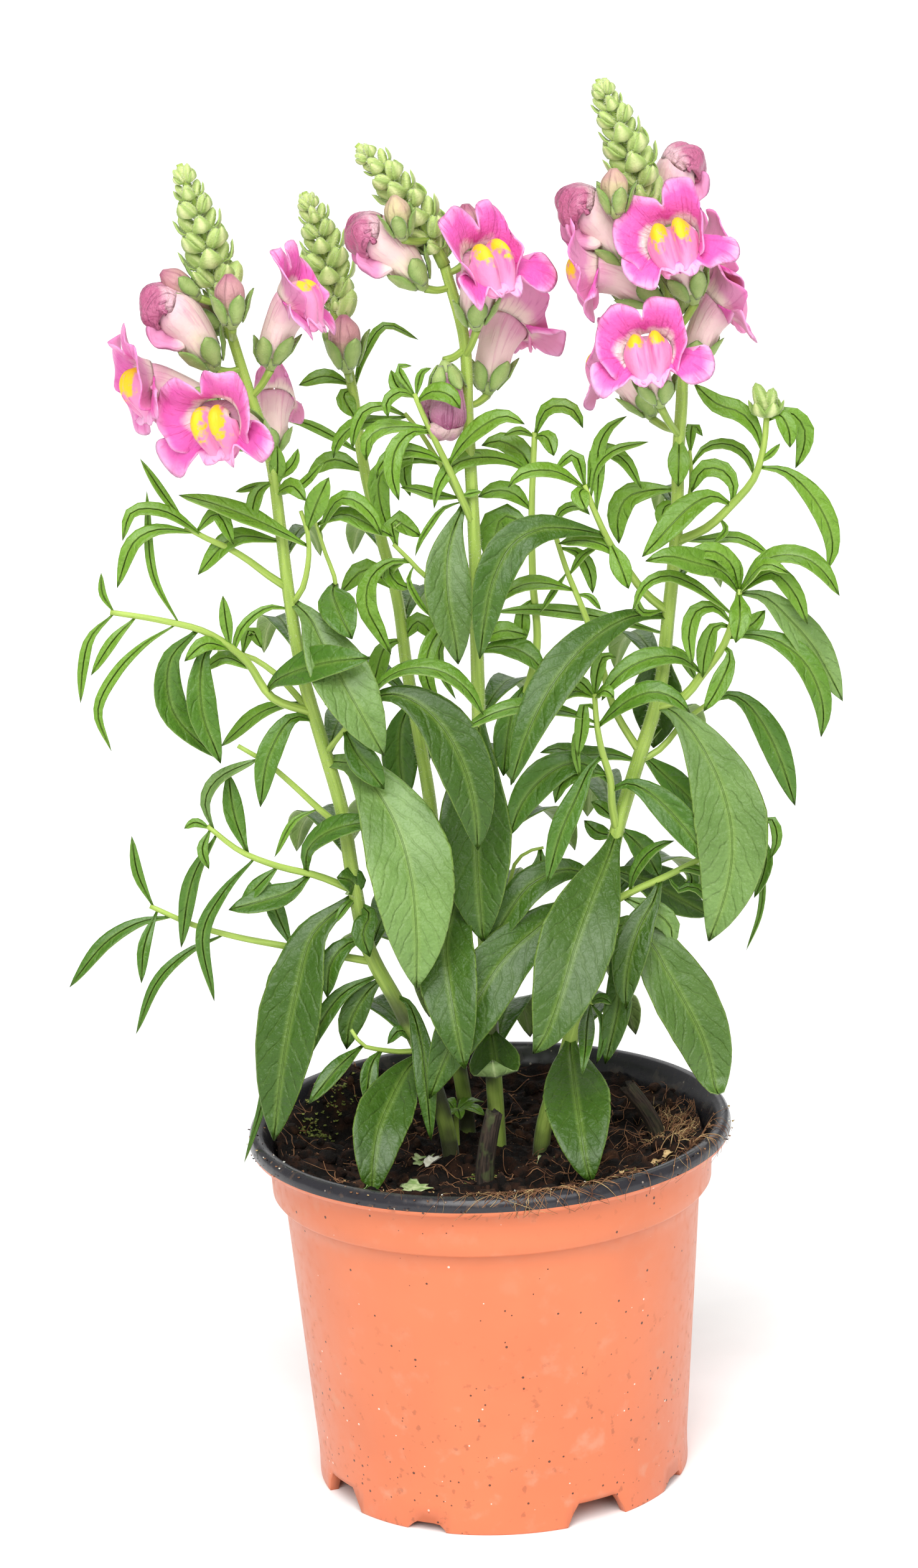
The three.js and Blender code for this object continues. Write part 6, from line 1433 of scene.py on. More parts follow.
PEAT = PottingPeat("potting peat", roughness=0.9)
CRUMB = PottingPeat("dry peat crumb", roughness=0.95, dark="#1f1611", warm="#4a3122", fleck="#97734f")
BARK = DryBark("dry woody stem", roughness=0.85)
POT_OUTSIDE = PotPlastic("terracotta polypropylene, vacuum-formed", roughness=0.34)
POT_INSIDE = PotPlastic(
    "black polypropylene, vacuum-formed", roughness=0.22, base="#2c2b30", shade="#201f22", dirt="#6d5644",
    dust="#857a6e", chalk="#a3978a", speck_share=0.8,
)
ROOT_FIBRE = PlainMatt("root fibre", roughness=0.8, low="#5b3826", high="#9a6f4c", patch=3.0)
MOSS = PlainMatt("moss and algae", roughness=0.9, low="#5c6a2c", high="#9aa050", patch=1.4, height=0.3)
DEAD_LEAF = PlainMatt("decayed leaf", roughness=0.8, low="#7d9a55", high="#c3cf9b", patch=2.2, height=0.3)
STRAW = PlainMatt("straw and bark", roughness=0.8, low="#8a6a42", high="#cdb27e", patch=2.0, height=0.2)
DRY_SCRAP = PlainMatt("dry papery leaf", roughness=0.8, low="#c9c7b4", high="#efeee2", patch=2.0, height=0.2)


# ------------------------------------------------------------------ stems and leaves


# How far a stalk's four ribs stand out, as a share of its radius.
STALK_RIBS = 0.035


@dataclass
class LeafBlade:
    """One lance-shaped leaf: a thin sheet folded a little along its midrib.

    hint tells which way its upper face looks, wave shifts the ripple of its edge, fold is how far
    its edges rise for its width, groove how deep the midrib lies in mm, and curl where its tip
    starts to roll over, as a share of its length, and by how many degrees.
    """

    line: SmoothLine
    width: float
    hint: Callable[[Array, Array], Array]
    age: float
    wave: float
    thickness: float = 0.5
    fold: float = 0.1
    groove: float = 0.22
    curl: tuple[float, float] = (1.0, 0.0)

    ROW_SPACING = 2.3
    FEWEST_AND_MOST_ROWS = (9, 24)
    RIPPLES = 2.3
    RIPPLE_HEIGHT = 0.05
    # Half its width from foot to tip, as a share of the widest, and where its columns lie.
    OUTLINE = (
        (0.0, 0.15), (0.06, 0.19), (0.14, 0.34), (0.25, 0.6), (0.38, 0.86), (0.52, 1.0),
        (0.66, 0.93), (0.8, 0.69), (0.9, 0.42), (0.96, 0.2), (1.0, 0.02),
    )
    COLUMNS = np.array([1.0, 0.95, 0.72, 0.44, 0.2, 0.07, 0.0, -0.07, -0.2, -0.44, -0.72, -0.95, -1.0])

    def rows(self) -> int:
        """Returns how many rows the leaf needs for its length."""
        return int(np.clip(round(self.line.length / self.ROW_SPACING), *self.FEWEST_AND_MOST_ROWS))

    def add_to(self, skin: Skin, finishes: tuple[int, int]) -> None:
        """Adds the leaf to a piece. Args: skin, and finishes, its upper and under materials."""
        shares = np.linspace(0, 1, self.rows())
        centres = self.line.at(shares)
        tangents = self.line.tangents(shares)
        hints = self.hint(centres, tangents)
        side = unit(np.cross(hints, tangents))
        face = unit(np.cross(tangents, side))
        if self.curl[1]:
            centres, face = self.curled(shares, centres, tangents, face)
        outline = np.array(self.OUTLINE)
        half = self.width / 2 * np.interp(shares, outline[:, 0], outline[:, 1])
        u = self.COLUMNS[None, :]
        across = half[:, None] * u
        lift = 2 * half[:, None] * self.fold * np.abs(u) ** 1.25
        lift -= self.groove * bell(u, 0.09) * np.minimum(1, half[:, None] / 2)
        beat = np.sin(2 * math.pi * (shares[:, None] * self.RIPPLES + self.wave) + np.sign(u) * 0.9)
        lift += self.RIPPLE_HEIGHT * half[:, None] * np.abs(u) ** 2 * beat
        grid = centres[:, None] + side[:, None] * across[..., None] + face[:, None] * lift[..., None]
        place = side_by_side(across, (shares * self.line.length)[:, None], np.abs(u))
        skin.sheet(grid, self.thickness, finishes, place, self.age)

    def curled(self, shares: Array, centres: Array, tangents: Array, face: Array) -> tuple[Array, Array]:
        """Rolls the tip over onto the upper face.

        Args:
            shares: How far along the leaf each row is.
            centres: The middle of each row.
            tangents: The way along the leaf at each row.
            face: The way its upper face looks at each row.

        Returns:
            The new middles and faces.
        """
        start, degrees = self.curl
        first = int(np.argmax(shares >= start)) - 1
        rest = 1 - shares[first]
        turn = math.radians(degrees) * np.clip((shares - shares[first]) / rest, 0, 1)[:, None]
        radius = rest * self.line.length / math.radians(degrees)
        ahead, out = tangents[first], face[first]
        rolled = centres[first] + radius * (np.sin(turn) * ahead + (1 - np.cos(turn)) * out)
        tilted = np.cos(turn) * out - np.sin(turn) * ahead
        tip = (shares > shares[first])[:, None]
        return np.where(tip, rolled, centres), np.where(tip, tilted, face)


def facing_eye(flat: float, roll: float) -> Callable[[Array, Array], Array]:
    """Returns the way a leaf's upper face looks.

    Args:
        flat: 0 for a face turned to the eye, 1 for a level one.
        roll: A turn about the midrib, in radians.

    Returns:
        A function of the midrib's places and directions that gives a direction for each.
    """

    def hint(centres: Array, tangents: Array) -> Array:
        """Returns the face's direction at each place of the midrib."""
        to_eye = unit(EYE - centres)
        level = UP - tangents * tangents[:, 2:3]
        return turned(to_eye * (1 - flat) + level * flat, tangents, roll)

    return hint


def facing_up(_: Array, tangents: Array) -> Array:
    """Returns the upward direction square to each tangent."""
    return UP - tangents * tangents[:, 2:3]


@dataclass
class Axis:
    """One stalk's bends, as (across, up, depth), which other parts root on."""

    bends: Array

    def samples(self) -> Array:
        """Returns close places along the straight lengths between the bends."""
        found = []
        for start, end in zip(self.bends[:-1], self.bends[1:]):
            count = math.ceil(float(np.linalg.norm(end - start)) / AXIS_SPACING)
            found.append(start + (end - start) * (np.arange(count) / count)[:, None])
        return np.vstack(found)

    def solid_line(self) -> SmoothLine:
        """Returns the stalk's line in the row frame."""
        return SmoothLine([seen(*bend) for bend in self.bends])


def add_stalk(
    skin: Skin, line: SmoothLine, radii: tuple[float, float], finish: int, age: tuple[float, float]
) -> None:
    """Adds a round tapering stalk.

    Args:
        skin: The piece that it belongs to.
        line: The line that it follows.
        radii: Its radius at the start and at the end.
        finish: Its material.
        age: Its tone at the start and at the end.
    """
    sides = 14 if radii[0] > 1.5 else 9
    count = int(np.clip(line.length / 3.0, 6, 90)) + 1
    shares = np.linspace(0, 1, count)
    angles = ring_angles(sides)
    radius = (radii[0] + (radii[1] - radii[0]) * shares)[:, None]
    ribs = 1 + STALK_RIBS * np.sin(4 * angles)
    rings = rings_round(ring_frames(line, shares, FRONT), angles, radius * ribs)
    around = np.abs(angles - math.pi) * radius + 20
    place = side_by_side(around, (shares * line.length)[:, None], shares[:, None])
    tone = (age[0] + (age[1] - age[0]) * shares)[:, None]
    skin.tube(rings, finish, place, tone)


@dataclass
class Hairs:
    """Short clear hairs, each a slim three-sided spike, that stand out of the skin."""

    length: float = 0.9
    radius: float = 0.055
    unevenness: float = 0.35
    sunk: float = 0.15

    # The points of the four faces: three at the root and the tip.
    SPIKE = np.array([[0, 1, 3, 3], [1, 2, 3, 3], [2, 0, 3, 3], [0, 2, 1, 1]])

    def add_to(
        self, skin: Skin, roots: Array, directions: Array, draw: np.random.Generator, finish: int
    ) -> None:
        """Adds one hair at each root.

        Args:
            skin: The piece that they grow from.
            roots: Places on its surface.
            directions: The way out of the surface at each.
            draw: The seeded source of their lengths and leans.
            finish: Their material.
        """
        total = len(roots)
        lean = draw.normal(0, self.unevenness, (total, 3))
        out = unit(directions + lean)
        aside = unit(np.cross(out, UP + 0.01 * lean))
        other = np.cross(out, aside)
        reach = self.length * draw.uniform(0.55, 1.25, (total, 1))
        base = roots - out * self.sunk
        corners = [
            base + (aside * math.cos(angle) + other * math.sin(angle)) * self.radius
            for angle in ring_angles(3)
        ]
        points = np.stack([*corners, roots + out * reach], axis=1).reshape(-1, 3)
        faces = (4 * np.arange(total)[:, None, None] + self.SPIKE).reshape(-1, 4)
        skin.add(points, faces, finish, tone=0.0)


@dataclass
class LeafyStem:
    """One flowering stem with its shoots, leaves, spike and the cups of its flowers."""

    plan: StemPlan
    seed: int
    skin: Skin = field(init=False)
    axes: list[Array] = field(init=False, default_factory=list)
    finishes: tuple[Finish, ...] = (LEAF_TOP, LEAF_BACK, STALK, BUD_GREEN, SEPAL, CLEAR_HAIR)

    hairs_per_ring: int = 9
    stem_hairs: int = 1800
    furred_from: float = 0.35

    TOP, BACK, STEM, BUD, CUP, FUR = range(6)
    # Half the width of a green bud from its foot to its tip: share of its length, share of its radius.
    BUD_OUTLINE = (
        (0, 0.5), (0.12, 0.82), (0.3, 1.0), (0.55, 1.0), (0.74, 0.86), (0.88, 0.6), (0.96, 0.32), (1, 0.05),
    )
    # The whorls of the spike: share of its length, and how far the buds reach in mm.
    WHORLS = (
        (0.14, 3.4), (0.25, 5.2), (0.37, 5.8), (0.48, 5.5), (0.59, 5.0), (0.7, 4.3), (0.8, 3.5), (0.9, 2.7),
    )
    # The tone of the big leaves, by stem and the height of the tip: under 1 paints them darker, a painted
    # shade, 1 is dark and glossy, and up to 2 lays a pale painted sheen over them.
    PAINTED_SHADE_AND_SHEEN = {
        ("leafy_stem_left", 137): 1.7, ("leafy_stem_left", 174): 0.95, ("leafy_stem_left", 202): 1.5,
        ("leafy_stem_left", 96): 0.9, ("leafy_stem_middle", 226): 1.4, ("leafy_stem_middle", 149): 0.85,
        ("leafy_stem_middle", 114): 0.9, ("leafy_stem_right", 227): 0.8, ("leafy_stem_right", 192): 0.8,
        ("leafy_stem_right", 146): 1.6, ("leafy_stem_right", 106): 0.85, ("leafy_stem_right", 117): 1.15,
        ("leafy_stem_right", 128): 1.0, ("leafy_stem_right", 100): 1.3, ("leafy_stem_right", 211): 1.7,
    }
    # Leaves whose tips roll over, by stem and the height of the tip: where the roll starts, as a
    # share of the leaf, and its degrees.
    CURLED = {("leafy_stem_middle", 102): (0.66, 190.0), ("leafy_stem_right", 100): (0.9, 120.0)}

    def __post_init__(self) -> None:
        """Starts the piece and lays out the stem's own line."""
        self.skin = Skin("dressed_" + self.plan.node)
        self.draw = SeededDraw(self.seed)
        self.scatter = np.random.default_rng(self.seed)
        places = [(a, u, self.depth_at(u)) for a, u in pairs(self.plan.line)]
        self.main = SmoothLine(places).spaced(STEM_BENDS)
        spike = [(a, u, self.plan.depths[1]) for a, u in pairs(self.plan.spike)]
        self.axes.append(Axis(np.vstack([self.main, spike[1:]])).samples())
        self.spike_line = SmoothLine([seen(*place) for place in spike])
        centres = [seen(*bend) for bend in self.main]
        centres[0][2] = SOIL_LEVEL + 4
        foot = centres[0].copy()
        foot[2] = SOIL_LEVEL - HOLE_DEPTH + GAP
        self.centres = np.array([foot, *centres])

    def depth_at(self, up: float) -> float:
        """Returns how deep the stem stands at a height."""
        low, high = self.plan.line[1], self.plan.line[-1]
        share = min(max((up - low) / (high - low), 0.0), 1.0)
        return self.plan.depths[0] + (self.plan.depths[1] - self.plan.depths[0]) * share

    def nearest(self, across: float, up: float, axes: list[Array] | None = None) -> Array:
        """Finds the place on the stem or its shoots that is seen nearest to a given one.

        Args:
            across: The given place, to the right.
            up: The given place, upward.
            axes: The axes to look on, all of the stem's when not given.

        Returns:
            The nearest place as (across, up, depth).
        """
        best = None
        for samples in axes or self.axes:
            away = np.hypot(samples[:, 0] - across, samples[:, 1] - up)
            pick = int(np.argmin(away))
            if best is None or away[pick] < best[0] - 1e-9:
                best = (away[pick], samples[pick])
        return best[1]

    @staticmethod
    def with_depths(places: list[tuple[float, float]], foot: Array, forward: float) -> Array:
        """Gives each place a depth: the parent's at the foot, then forward by a quarter wave.

        Args:
            places: The (across, up) places of a shoot or a midrib.
            foot: The place on its parent that it starts from.
            forward: How far its tip comes forward.

        Returns:
            The places as rows of (across, up, depth).
        """
        flat = np.array(places, float)
        flat[0] = foot[:2]
        runs = np.concatenate([[0.0], np.cumsum(np.linalg.norm(np.diff(flat, axis=0), axis=1))])
        ease = np.sin(runs / runs[-1] * math.pi / 2)
        return np.column_stack([flat, foot[2] - forward * ease])

    def add_shoots(self) -> None:
        """Adds the stem and its side shoots."""
        add_stalk(self.skin, SmoothLine(self.centres), self.plan.radii, self.STEM, (0.75, 0.1))
        for radius, forward, *numbers in self.plan.shoots:
            places = pairs(numbers)
            foot = self.nearest(*places[0])
            line = SmoothLine(self.with_depths(places, foot, forward))
            axis = Axis(line.spaced(min(SHOOT_BENDS, len(places))))
            self.axes.append(axis.samples())
            add_stalk(self.skin, axis.solid_line(), (radius, radius * SHOOT_TAPER), self.STEM, (0.3, 0.0))

    def add_leaves(self) -> None:
        """Adds the leaves whose places are given, and then those behind the stem."""
        for seen_width, forward, flat, *numbers in self.plan.leaves:
            places = pairs(numbers)
            foot = self.nearest(*places[0])
            rows = self.with_depths(places, foot, forward)
            line = SmoothLine([seen(*row) for row in rows])
            roll = (2 * self.draw() - 1) * LEAF_ROLL
            hint = facing_eye(flat, roll)
            width = seen_width / max(LEAST_FACING, self.facing_share(line, hint))
            height = places[len(places) // 2][1]
            key = self.plan.node, round(rows[-1][1])
            # Leaves not listed darken with width and with a low place on the stem: partly their age, partly
            # painted shade for the light that falls from above.
            age = self.PAINTED_SHADE_AND_SHEEN.get(key, float(np.clip((width - 3.5) / 13 + (225 - height) / 170, 0, 1)))
            curl = self.CURLED.get(key, (1.0, 0.0))
            blade = LeafBlade(line, width, hint, age, roll * 7, curl=curl)
            blade.add_to(self.skin, (self.TOP, self.BACK))
        for height, bearing, length, width in self.plan.back_leaves:
            self.add_back_leaf(height, bearing, length, width)

    @staticmethod
    def facing_share(line: SmoothLine, hint: Callable[[Array, Array], Array]) -> float:
        """Works out how far a leaf is turned to the eye at its middle.

        Args:
            line: Its midrib.
            hint: The way its upper face looks.

        Returns:
            The share of its width that the eye sees, from 0 to 1.
        """
        middle = line.at(0.5)
        tangent = line.tangents(np.array([0.5]))
        side = unit(np.cross(hint(middle, tangent), tangent))
        sight = unit(EYE - middle)
        flat = tangent - sight * np.sum(tangent * sight)
        in_view = side - sight * np.sum(side * sight)
        return float(np.linalg.norm(np.cross(unit(flat), in_view)))

    def add_back_leaf(self, height: float, bearing: float, length: float, width: float) -> None:
        """Adds one arched leaf behind the stem. Args: as the stem's plan gives them."""
        above = int(np.argmax(self.centres[:, 2] > height))
        low, high = self.centres[above - 1], self.centres[above]
        foot = low + (high - low) * (height - low[2]) / (high[2] - low[2])
        out = bearing_vector(bearing)
        arch = ((0, 0), (0.28, 0.16), (0.55, 0.2), (0.78, 0.06), (0.9, -0.16))
        line = SmoothLine([foot + out * along * length + UP * rise * length for along, rise in arch])
        blade = LeafBlade(line, width, facing_up, 0.6, bearing / 50)
        blade.add_to(self.skin, (self.TOP, self.BACK))

    def add_green_bud(self, base: Array, tip: Array, radius: float, age: float) -> None:
        """Adds one closed bud wrapped in its five sepals. Args: its ends, its radius and tone."""
        line = SmoothLine([base, (base + tip) / 2, tip])
        shares = np.linspace(0, 1, 10)
        hint = FRONT if abs((tip - base)[2]) > 0.5 * np.linalg.norm(tip - base) else UP
        frames = ring_frames(line, shares, hint)
        angles = ring_angles(15)
        seam = 1 - 0.09 * (1 + np.cos(5 * angles)) * np.sin(math.pi * shares)[:, None]
        reach = radius * np.interp(shares, *np.transpose(self.BUD_OUTLINE))[:, None] * seam
        rings = rings_round(frames, angles, reach)
        groove = np.clip((1 + np.cos(5 * angles)) / 2 + 0.5 * shares[:, None] ** 3, 0, 1)
        place = side_by_side(angles * reach, (shares * line.length)[:, None], groove)
        self.skin.tube(rings, self.BUD, place, age)
        self.add_fur(rings, frames[0])

    def add_fur(self, rings: Array, centres: Array) -> None:
        """Adds hairs to a tube. Args: its rings, and their centres."""
        count, sides = rings.shape[:2]
        rows = np.repeat(np.arange(1, count), self.hairs_per_ring)
        columns = self.scatter.integers(0, sides, len(rows))
        slide = self.scatter.uniform(0, 1, (len(rows), 1))
        roots = rings[rows, columns] * slide + rings[rows - 1, columns] * (1 - slide)
        middle = centres[rows] * slide + centres[rows - 1] * (1 - slide)
        Hairs().add_to(self.skin, roots, unit(roots - middle), self.scatter, self.FUR)

    def add_bract(self, foot: Array, out: Array, up: Array, size: float, age: float) -> None:
        """Adds one small pointed leaf under a bud. Args: its foot, two directions, size, tone."""
        line = SmoothLine(
            [foot, foot + out * 3.5 * size + up * 1.0 * size, foot + out * 4.5 * size + up * 4.4 * size]
        )

        def hint(centres: Array, _: Array) -> Array:
            """Returns the way up at each place of the midrib."""
            return np.broadcast_to(up, centres.shape)

        blade = LeafBlade(line, 4.6 * size, hint, age, 0.0, thickness=0.4, groove=0.05)
        blade.add_to(self.skin, (self.BUD, self.BUD))

    def add_spike(self) -> None:
        """Adds the flower spike: whorls of four buds, each turned from the last, and bigger buds."""
        size = self.plan.spike_size
        add_stalk(self.skin, self.spike_line, (1.7 * size, 0.8 * size), self.STEM, (0.2, 0.0))
        for row, (share, reach) in enumerate(self.WHORLS):
            frames = ring_frames(self.spike_line, np.array([share]), FRONT)
            centre, side, face = (found[0] for found in frames)
            tangent = self.spike_line.tangents(np.array([share]))[0]
            for column in range(4):
                angle = 2 * math.pi * (2 * column + row % 2) / 8 + self.draw.between(-0.22, 0.22)
                out = side * math.cos(angle) + face * math.sin(angle)
                wide = reach * size * self.draw.between(0.8, 1.02)
                base = centre + out * 0.28 * wide - tangent * 0.34 * wide
                rise = self.draw.between(2.3, 3.4) * size + 0.05 * wide
                tip = centre + out * (0.98 * wide) + tangent * rise
                radius = (0.335 * wide + 0.26) * self.draw.between(0.85, 1.12)
                self.add_green_bud(base, tip, radius, 0.35 * self.draw() + 0.15 * (1 - share))
                foot = centre + out * 0.2 * wide - tangent * 0.45 * wide
                self.add_bract(foot, out, tangent, 0.25 * wide, 0.6)
        top = self.spike_line.at(1.0)[0]
        below = self.spike_line.at(0.88)[0]
        self.add_green_bud(below, top, 1.5 * size, 0.1)
        for order, bearing in enumerate(self.plan.spike_buds):
            share = np.array([0.05 + 0.07 * order])
            centre = self.spike_line.at(share)[0]
            tangent = self.spike_line.tangents(share)[0]
            out = bearing_vector(bearing)
            out = unit(out - tangent * float(out @ tangent))
            base = centre + out * 1.6 * size
            tip = centre + out * 6.2 * size + tangent * 7.2 * size
            self.add_green_bud(base, tip, 2.7 * size, 0.4)
            self.add_bract(centre - tangent * size, out, tangent, 1.15 * size, 0.8)

    def add_shoot_buds(self, buds: Sequence[tuple[float, ...]]) -> None:
        """Adds green buds at the end of a shoot. Args: buds, each a seat, a tip and a radius."""
        for across, up, tip_across, tip_up, radius in buds:
            foot = self.nearest(across, up)
            base = seen(*foot)
            self.add_green_bud(base, seen(tip_across, tip_up, foot[2]), radius * 0.85, 0.75)
            for bearing in range(20, 380, 60):
                self.add_bract(base, bearing_vector(bearing), UP, radius * 0.4, 1.0)

    def add_stem_fur(self) -> None:
        """Adds hairs to the upper part of the stem."""
        shares = self.scatter.uniform(self.furred_from, 1.0, self.stem_hairs)
        centres, side, face = ring_frames(SmoothLine(self.centres), shares, FRONT)
        angle = self.scatter.uniform(0, 2 * math.pi, (len(shares), 1))
        out = side * np.cos(angle) + face * np.sin(angle)
        radius = self.plan.radii[0] + (self.plan.radii[1] - self.plan.radii[0]) * shares[:, None]
        Hairs(0.8, 0.04).add_to(self.skin, centres + out * radius, out, self.scatter, self.FUR)

    def build(self, palette: Palette) -> bpy.types.Object:
        """Makes the piece. Args: palette, the materials. Returns: the finished piece."""
        made = self.skin.build(palette.materials(self.finishes))
        return place_piece(made, "leaf_green", self.plan.node)


# ------------------------------------------------------------------ flowers


FRONT_UP = (1.0, 0.0)
UP_ONLY = (0.0, 1.0)


@dataclass(frozen=True)
class Pose:
    """How one flower stands beside its plain place: turns in degrees and shifts in mm.

    The ruffle is how wavy the lips are, and the crown how far down the palate the yellow runs.
    The openness is how wide the lips stand, or how far a bud has turned from green to pink. The
    last three are for the lobes on the right and the left of the flower itself, which are seen the
    other way round: how widely the upper and the lower lobes spread, and how far the upper ones sag.
    """

    turn: float = 0.0
    lean: float = 0.0
    roll: float = 0.0
    aside: float = 0.0
    lift: float = 0.0
    ruffle: float = 0.9
    crown: float = 0.17
    openness: float = 1.0
    upper: tuple[float, float] = (1.0, 1.0)
    lower: tuple[float, float] = (1.0, 1.0)
    sag: tuple[float, float] = (0.0, 0.0)


POSES = {
    "bloom_left_front": Pose(
        36, -4, -12, -1.4, 2.2, 1.8, 0.3, 1.1, upper=(1.2, 1.1), lower=(1.1, 0.9), sag=(3.0, 1.0)
    ),
    "bloom_left_side": Pose(34, 0, -16, -5.5, 2.5, 1.9, 0.24, 1.25, upper=(1.3, 1.2), sag=(2.5, 0)),
    "bloom_left_inner": Pose(-6, 0, 6, 0.5, 3, 1.3, 0.1, 1, upper=(0.9, 0.9), lower=(1.1, 0.8)),
    "bloom_left_back": Pose(lift=-2, openness=0.6, upper=(0.6, 0.8), sag=(4, 4)),
    "bloom_middle_front": Pose(18, 0, -6, 0, 3.6, 1.4, 0.2, 1, upper=(1.0, 0.75), lower=(0.8, 1.08)),
    "bloom_middle_back": Pose(upper=(1, 1.5), ruffle=1.4),
    "bloom_right_upper": Pose(
        0, 0, -15, 0.4, 3.9, 1.4, 0.24, 1, upper=(1.22, 0.8), lower=(0.85, 0.98), sag=(3.5, 0)
    ),
    "bloom_right_lower": Pose(
        10, 0, -8, 0, 4.2, 1.6, 0.12, 1, upper=(1.15, 1.0), lower=(1.0, 1.1), sag=(3.5, 1.5)
    ),
    "bloom_right_side": Pose(2, -6, 0, 1.5, 4.5, 1.7, 0.15, 1.2, lower=(0.85, 0.85)),
    "bloom_right_outer": Pose(lean=-20, aside=-2, lift=1.5, ruffle=1.5),
    "bloom_right_back": Pose(turn=10, aside=-1, ruffle=1.5),
    "coloured_bud_right_front": Pose(openness=0.45),
    "coloured_bud_middle_front": Pose(openness=0.4),
    "half_open_bud_left": Pose(lean=-20, aside=-2.5),
    "half_open_bud_middle": Pose(lean=-15, aside=-2),
    "half_open_bud_right": Pose(lean=-12, aside=-1.5),
}


@dataclass
class Flower:
    """One flower or bud, in its own directions: ahead out of its mouth, left, and up its tube."""

    name: str
    kind: Bloom
    stem: LeafyStem
    across: float
    up: float
    forward: float
    bearing: float
    lean: float
    size: float
    pose: Pose = Pose()
    skin: Skin = field(init=False)
    finishes: tuple[Finish, ...] = (
        TUBE, PALATE, UPPER_INNER, UPPER_OUTER, LOWER_INNER, LOWER_OUTER, BUD_PINK, HOOD, WILTED, CLEAR_HAIR,
    )

    rings_to_mouth: int = 19
    tube_hairs: int = 170
    sepal_hairs: int = 22
    petal_thickness: float = 0.5

    TUBE, PALATE, UPPER_IN, UPPER_OUT, LOWER_IN, LOWER_OUT, CLOSED, FOLDED, WILTED, FUR = range(10)

    # Forward place, height, tip forward in degrees, half width, half depth and groove.
    ROWS = {
        Bloom.OPEN: (
            (0.1, 0.3, 0, 2.2, 2.2, 0), (1.2, 3.8, 14, 4.3, 4.2, 0), (3.4, 10, 24, 4.9, 4.7, 0.03),
            (7, 15.4, 46, 6.4, 6, 0.1), (11.4, 17.8, 74, 7, 6.2, 0.26), (14.6, 18, 84, 4.4, 3.4, 0.42),
        ),
        Bloom.HALF: (
            (0, 0.3, 0, 2.2, 2.2, 0), (0, 3.8, 0, 4.3, 4.2, 0), (0.2, 10, 4, 5.3, 5.1, 0),
            (1.2, 15.6, 24, 6.2, 6.0, 0.08), (3, 19.6, 40, 4.6, 4.4, 0.2),
        ),
        Bloom.BUD: (
            (0, 0.3, 0, 2, 2, 0), (0, 3.2, 0, 3.3, 3.3, 0), (0, 7.6, 0, 3.5, 3.5, 0), (0, 11, 0, 1, 1, 0),
        ),
    }
    ROWS[Bloom.WITHERED] = ROWS[Bloom.HALF]

    # Half of the upper lip, from the cleft outward: bearing of its root round the mouth (0 at the
    # back), then how far ahead, aside and up its edge stands, and how far it bulges forward.
    UPPER_LIP = (
        (0, 6.6, 0.0, 25.6, 0.6), (7, 5.6, 1.2, 28.6, 2.4), (18, 4.2, 3.8, 31.0, 4.0),
        (34, 3.6, 7.2, 31.4, 4.6),
        (50, 4.4, 10.2, 29.4, 4.4), (66, 7.0, 11.6, 25.8, 4.0), (82, 10.2, 11.2, 21.4, 3.4),
        (98, 12.6, 9.8, 17.4, 2.4), (112, 13.4, 8.4, 14.0, 1.4), (124, 12.8, 7.2, 11.6, 0.8),
    )
    # Half of the lower lip, from the middle outward: bearing of its root (0 at the front), then how
    # far ahead, aside and up its edge stands, and how far it arches up.
    LOWER_LIP = (
        (0, 14.9, 0.0, 9.4, 1.6), (9, 15.4, 2.2, 8.4, 1.8), (19, 15.0, 4.2, 8.8, 1.4),
        (28, 13.2, 5.6, 10.4, 0.6),
        (37, 14.4, 8.0, 8.0, 1.4), (48, 15.4, 11.0, 7.4, 2.0), (60, 15.0, 14.0, 9.0, 2.2),
        (71, 13.0, 16.2, 11.8, 1.6), (82, 11.0, 15.4, 14.2, 0.8), (93, 9.8, 12.4, 14.4, 0.6),
        (104, 9.2, 9.6, 13.4, 0.5), (112, 8.8, 7.6, 12.7, 0.3),
    )
    # The palate from the throat over its crest to its foot: ahead, up, half width, how far its
    # sides lie back.
    PALATE_ROWS = (
        (4.6, 17.4, 4.0, 1.6), (6.4, 20.0, 5.0, 2.6), (9.0, 21.0, 5.8, 3.8), (11.4, 20.0, 6.3, 4.8),
        (13.0, 17.6, 6.5, 5.2), (13.6, 14.9, 6.3, 5.0), (13.7, 12.4, 5.8, 4.4), (14.0, 10.4, 4.6, 3.0),
        (15.0, 9.2, 3.0, 1.2),
    )
    # The folded lips over a half-open mouth, from the back over the top to the lower edge, and the
    # lower lip that is tucked in under them.
    HOOD_ROWS = (
        (-3.0, 19.6, 5.9, 5.6), (-0.6, 22.6, 6.9, 6.8), (3.4, 23.8, 7.4, 7.4), (7.0, 22.2, 7.3, 7.2),
        (8.9, 18.6, 6.7, 6.2), (8.6, 15.2, 5.5, 4.6), (6.9, 13.4, 4.2, 3.0), (5.2, 14.2, 3.0, 1.4),
    )
    TUCKED_ROWS = (
        (2.4, 10.6, 3.8, 3.8), (4.4, 11.2, 4.3, 4.0), (5.9, 12.6, 4.4, 4.0), (6.4, 14.2, 4.0, 3.4),
        (5.6, 15.8, 3.0, 2.2),
    )

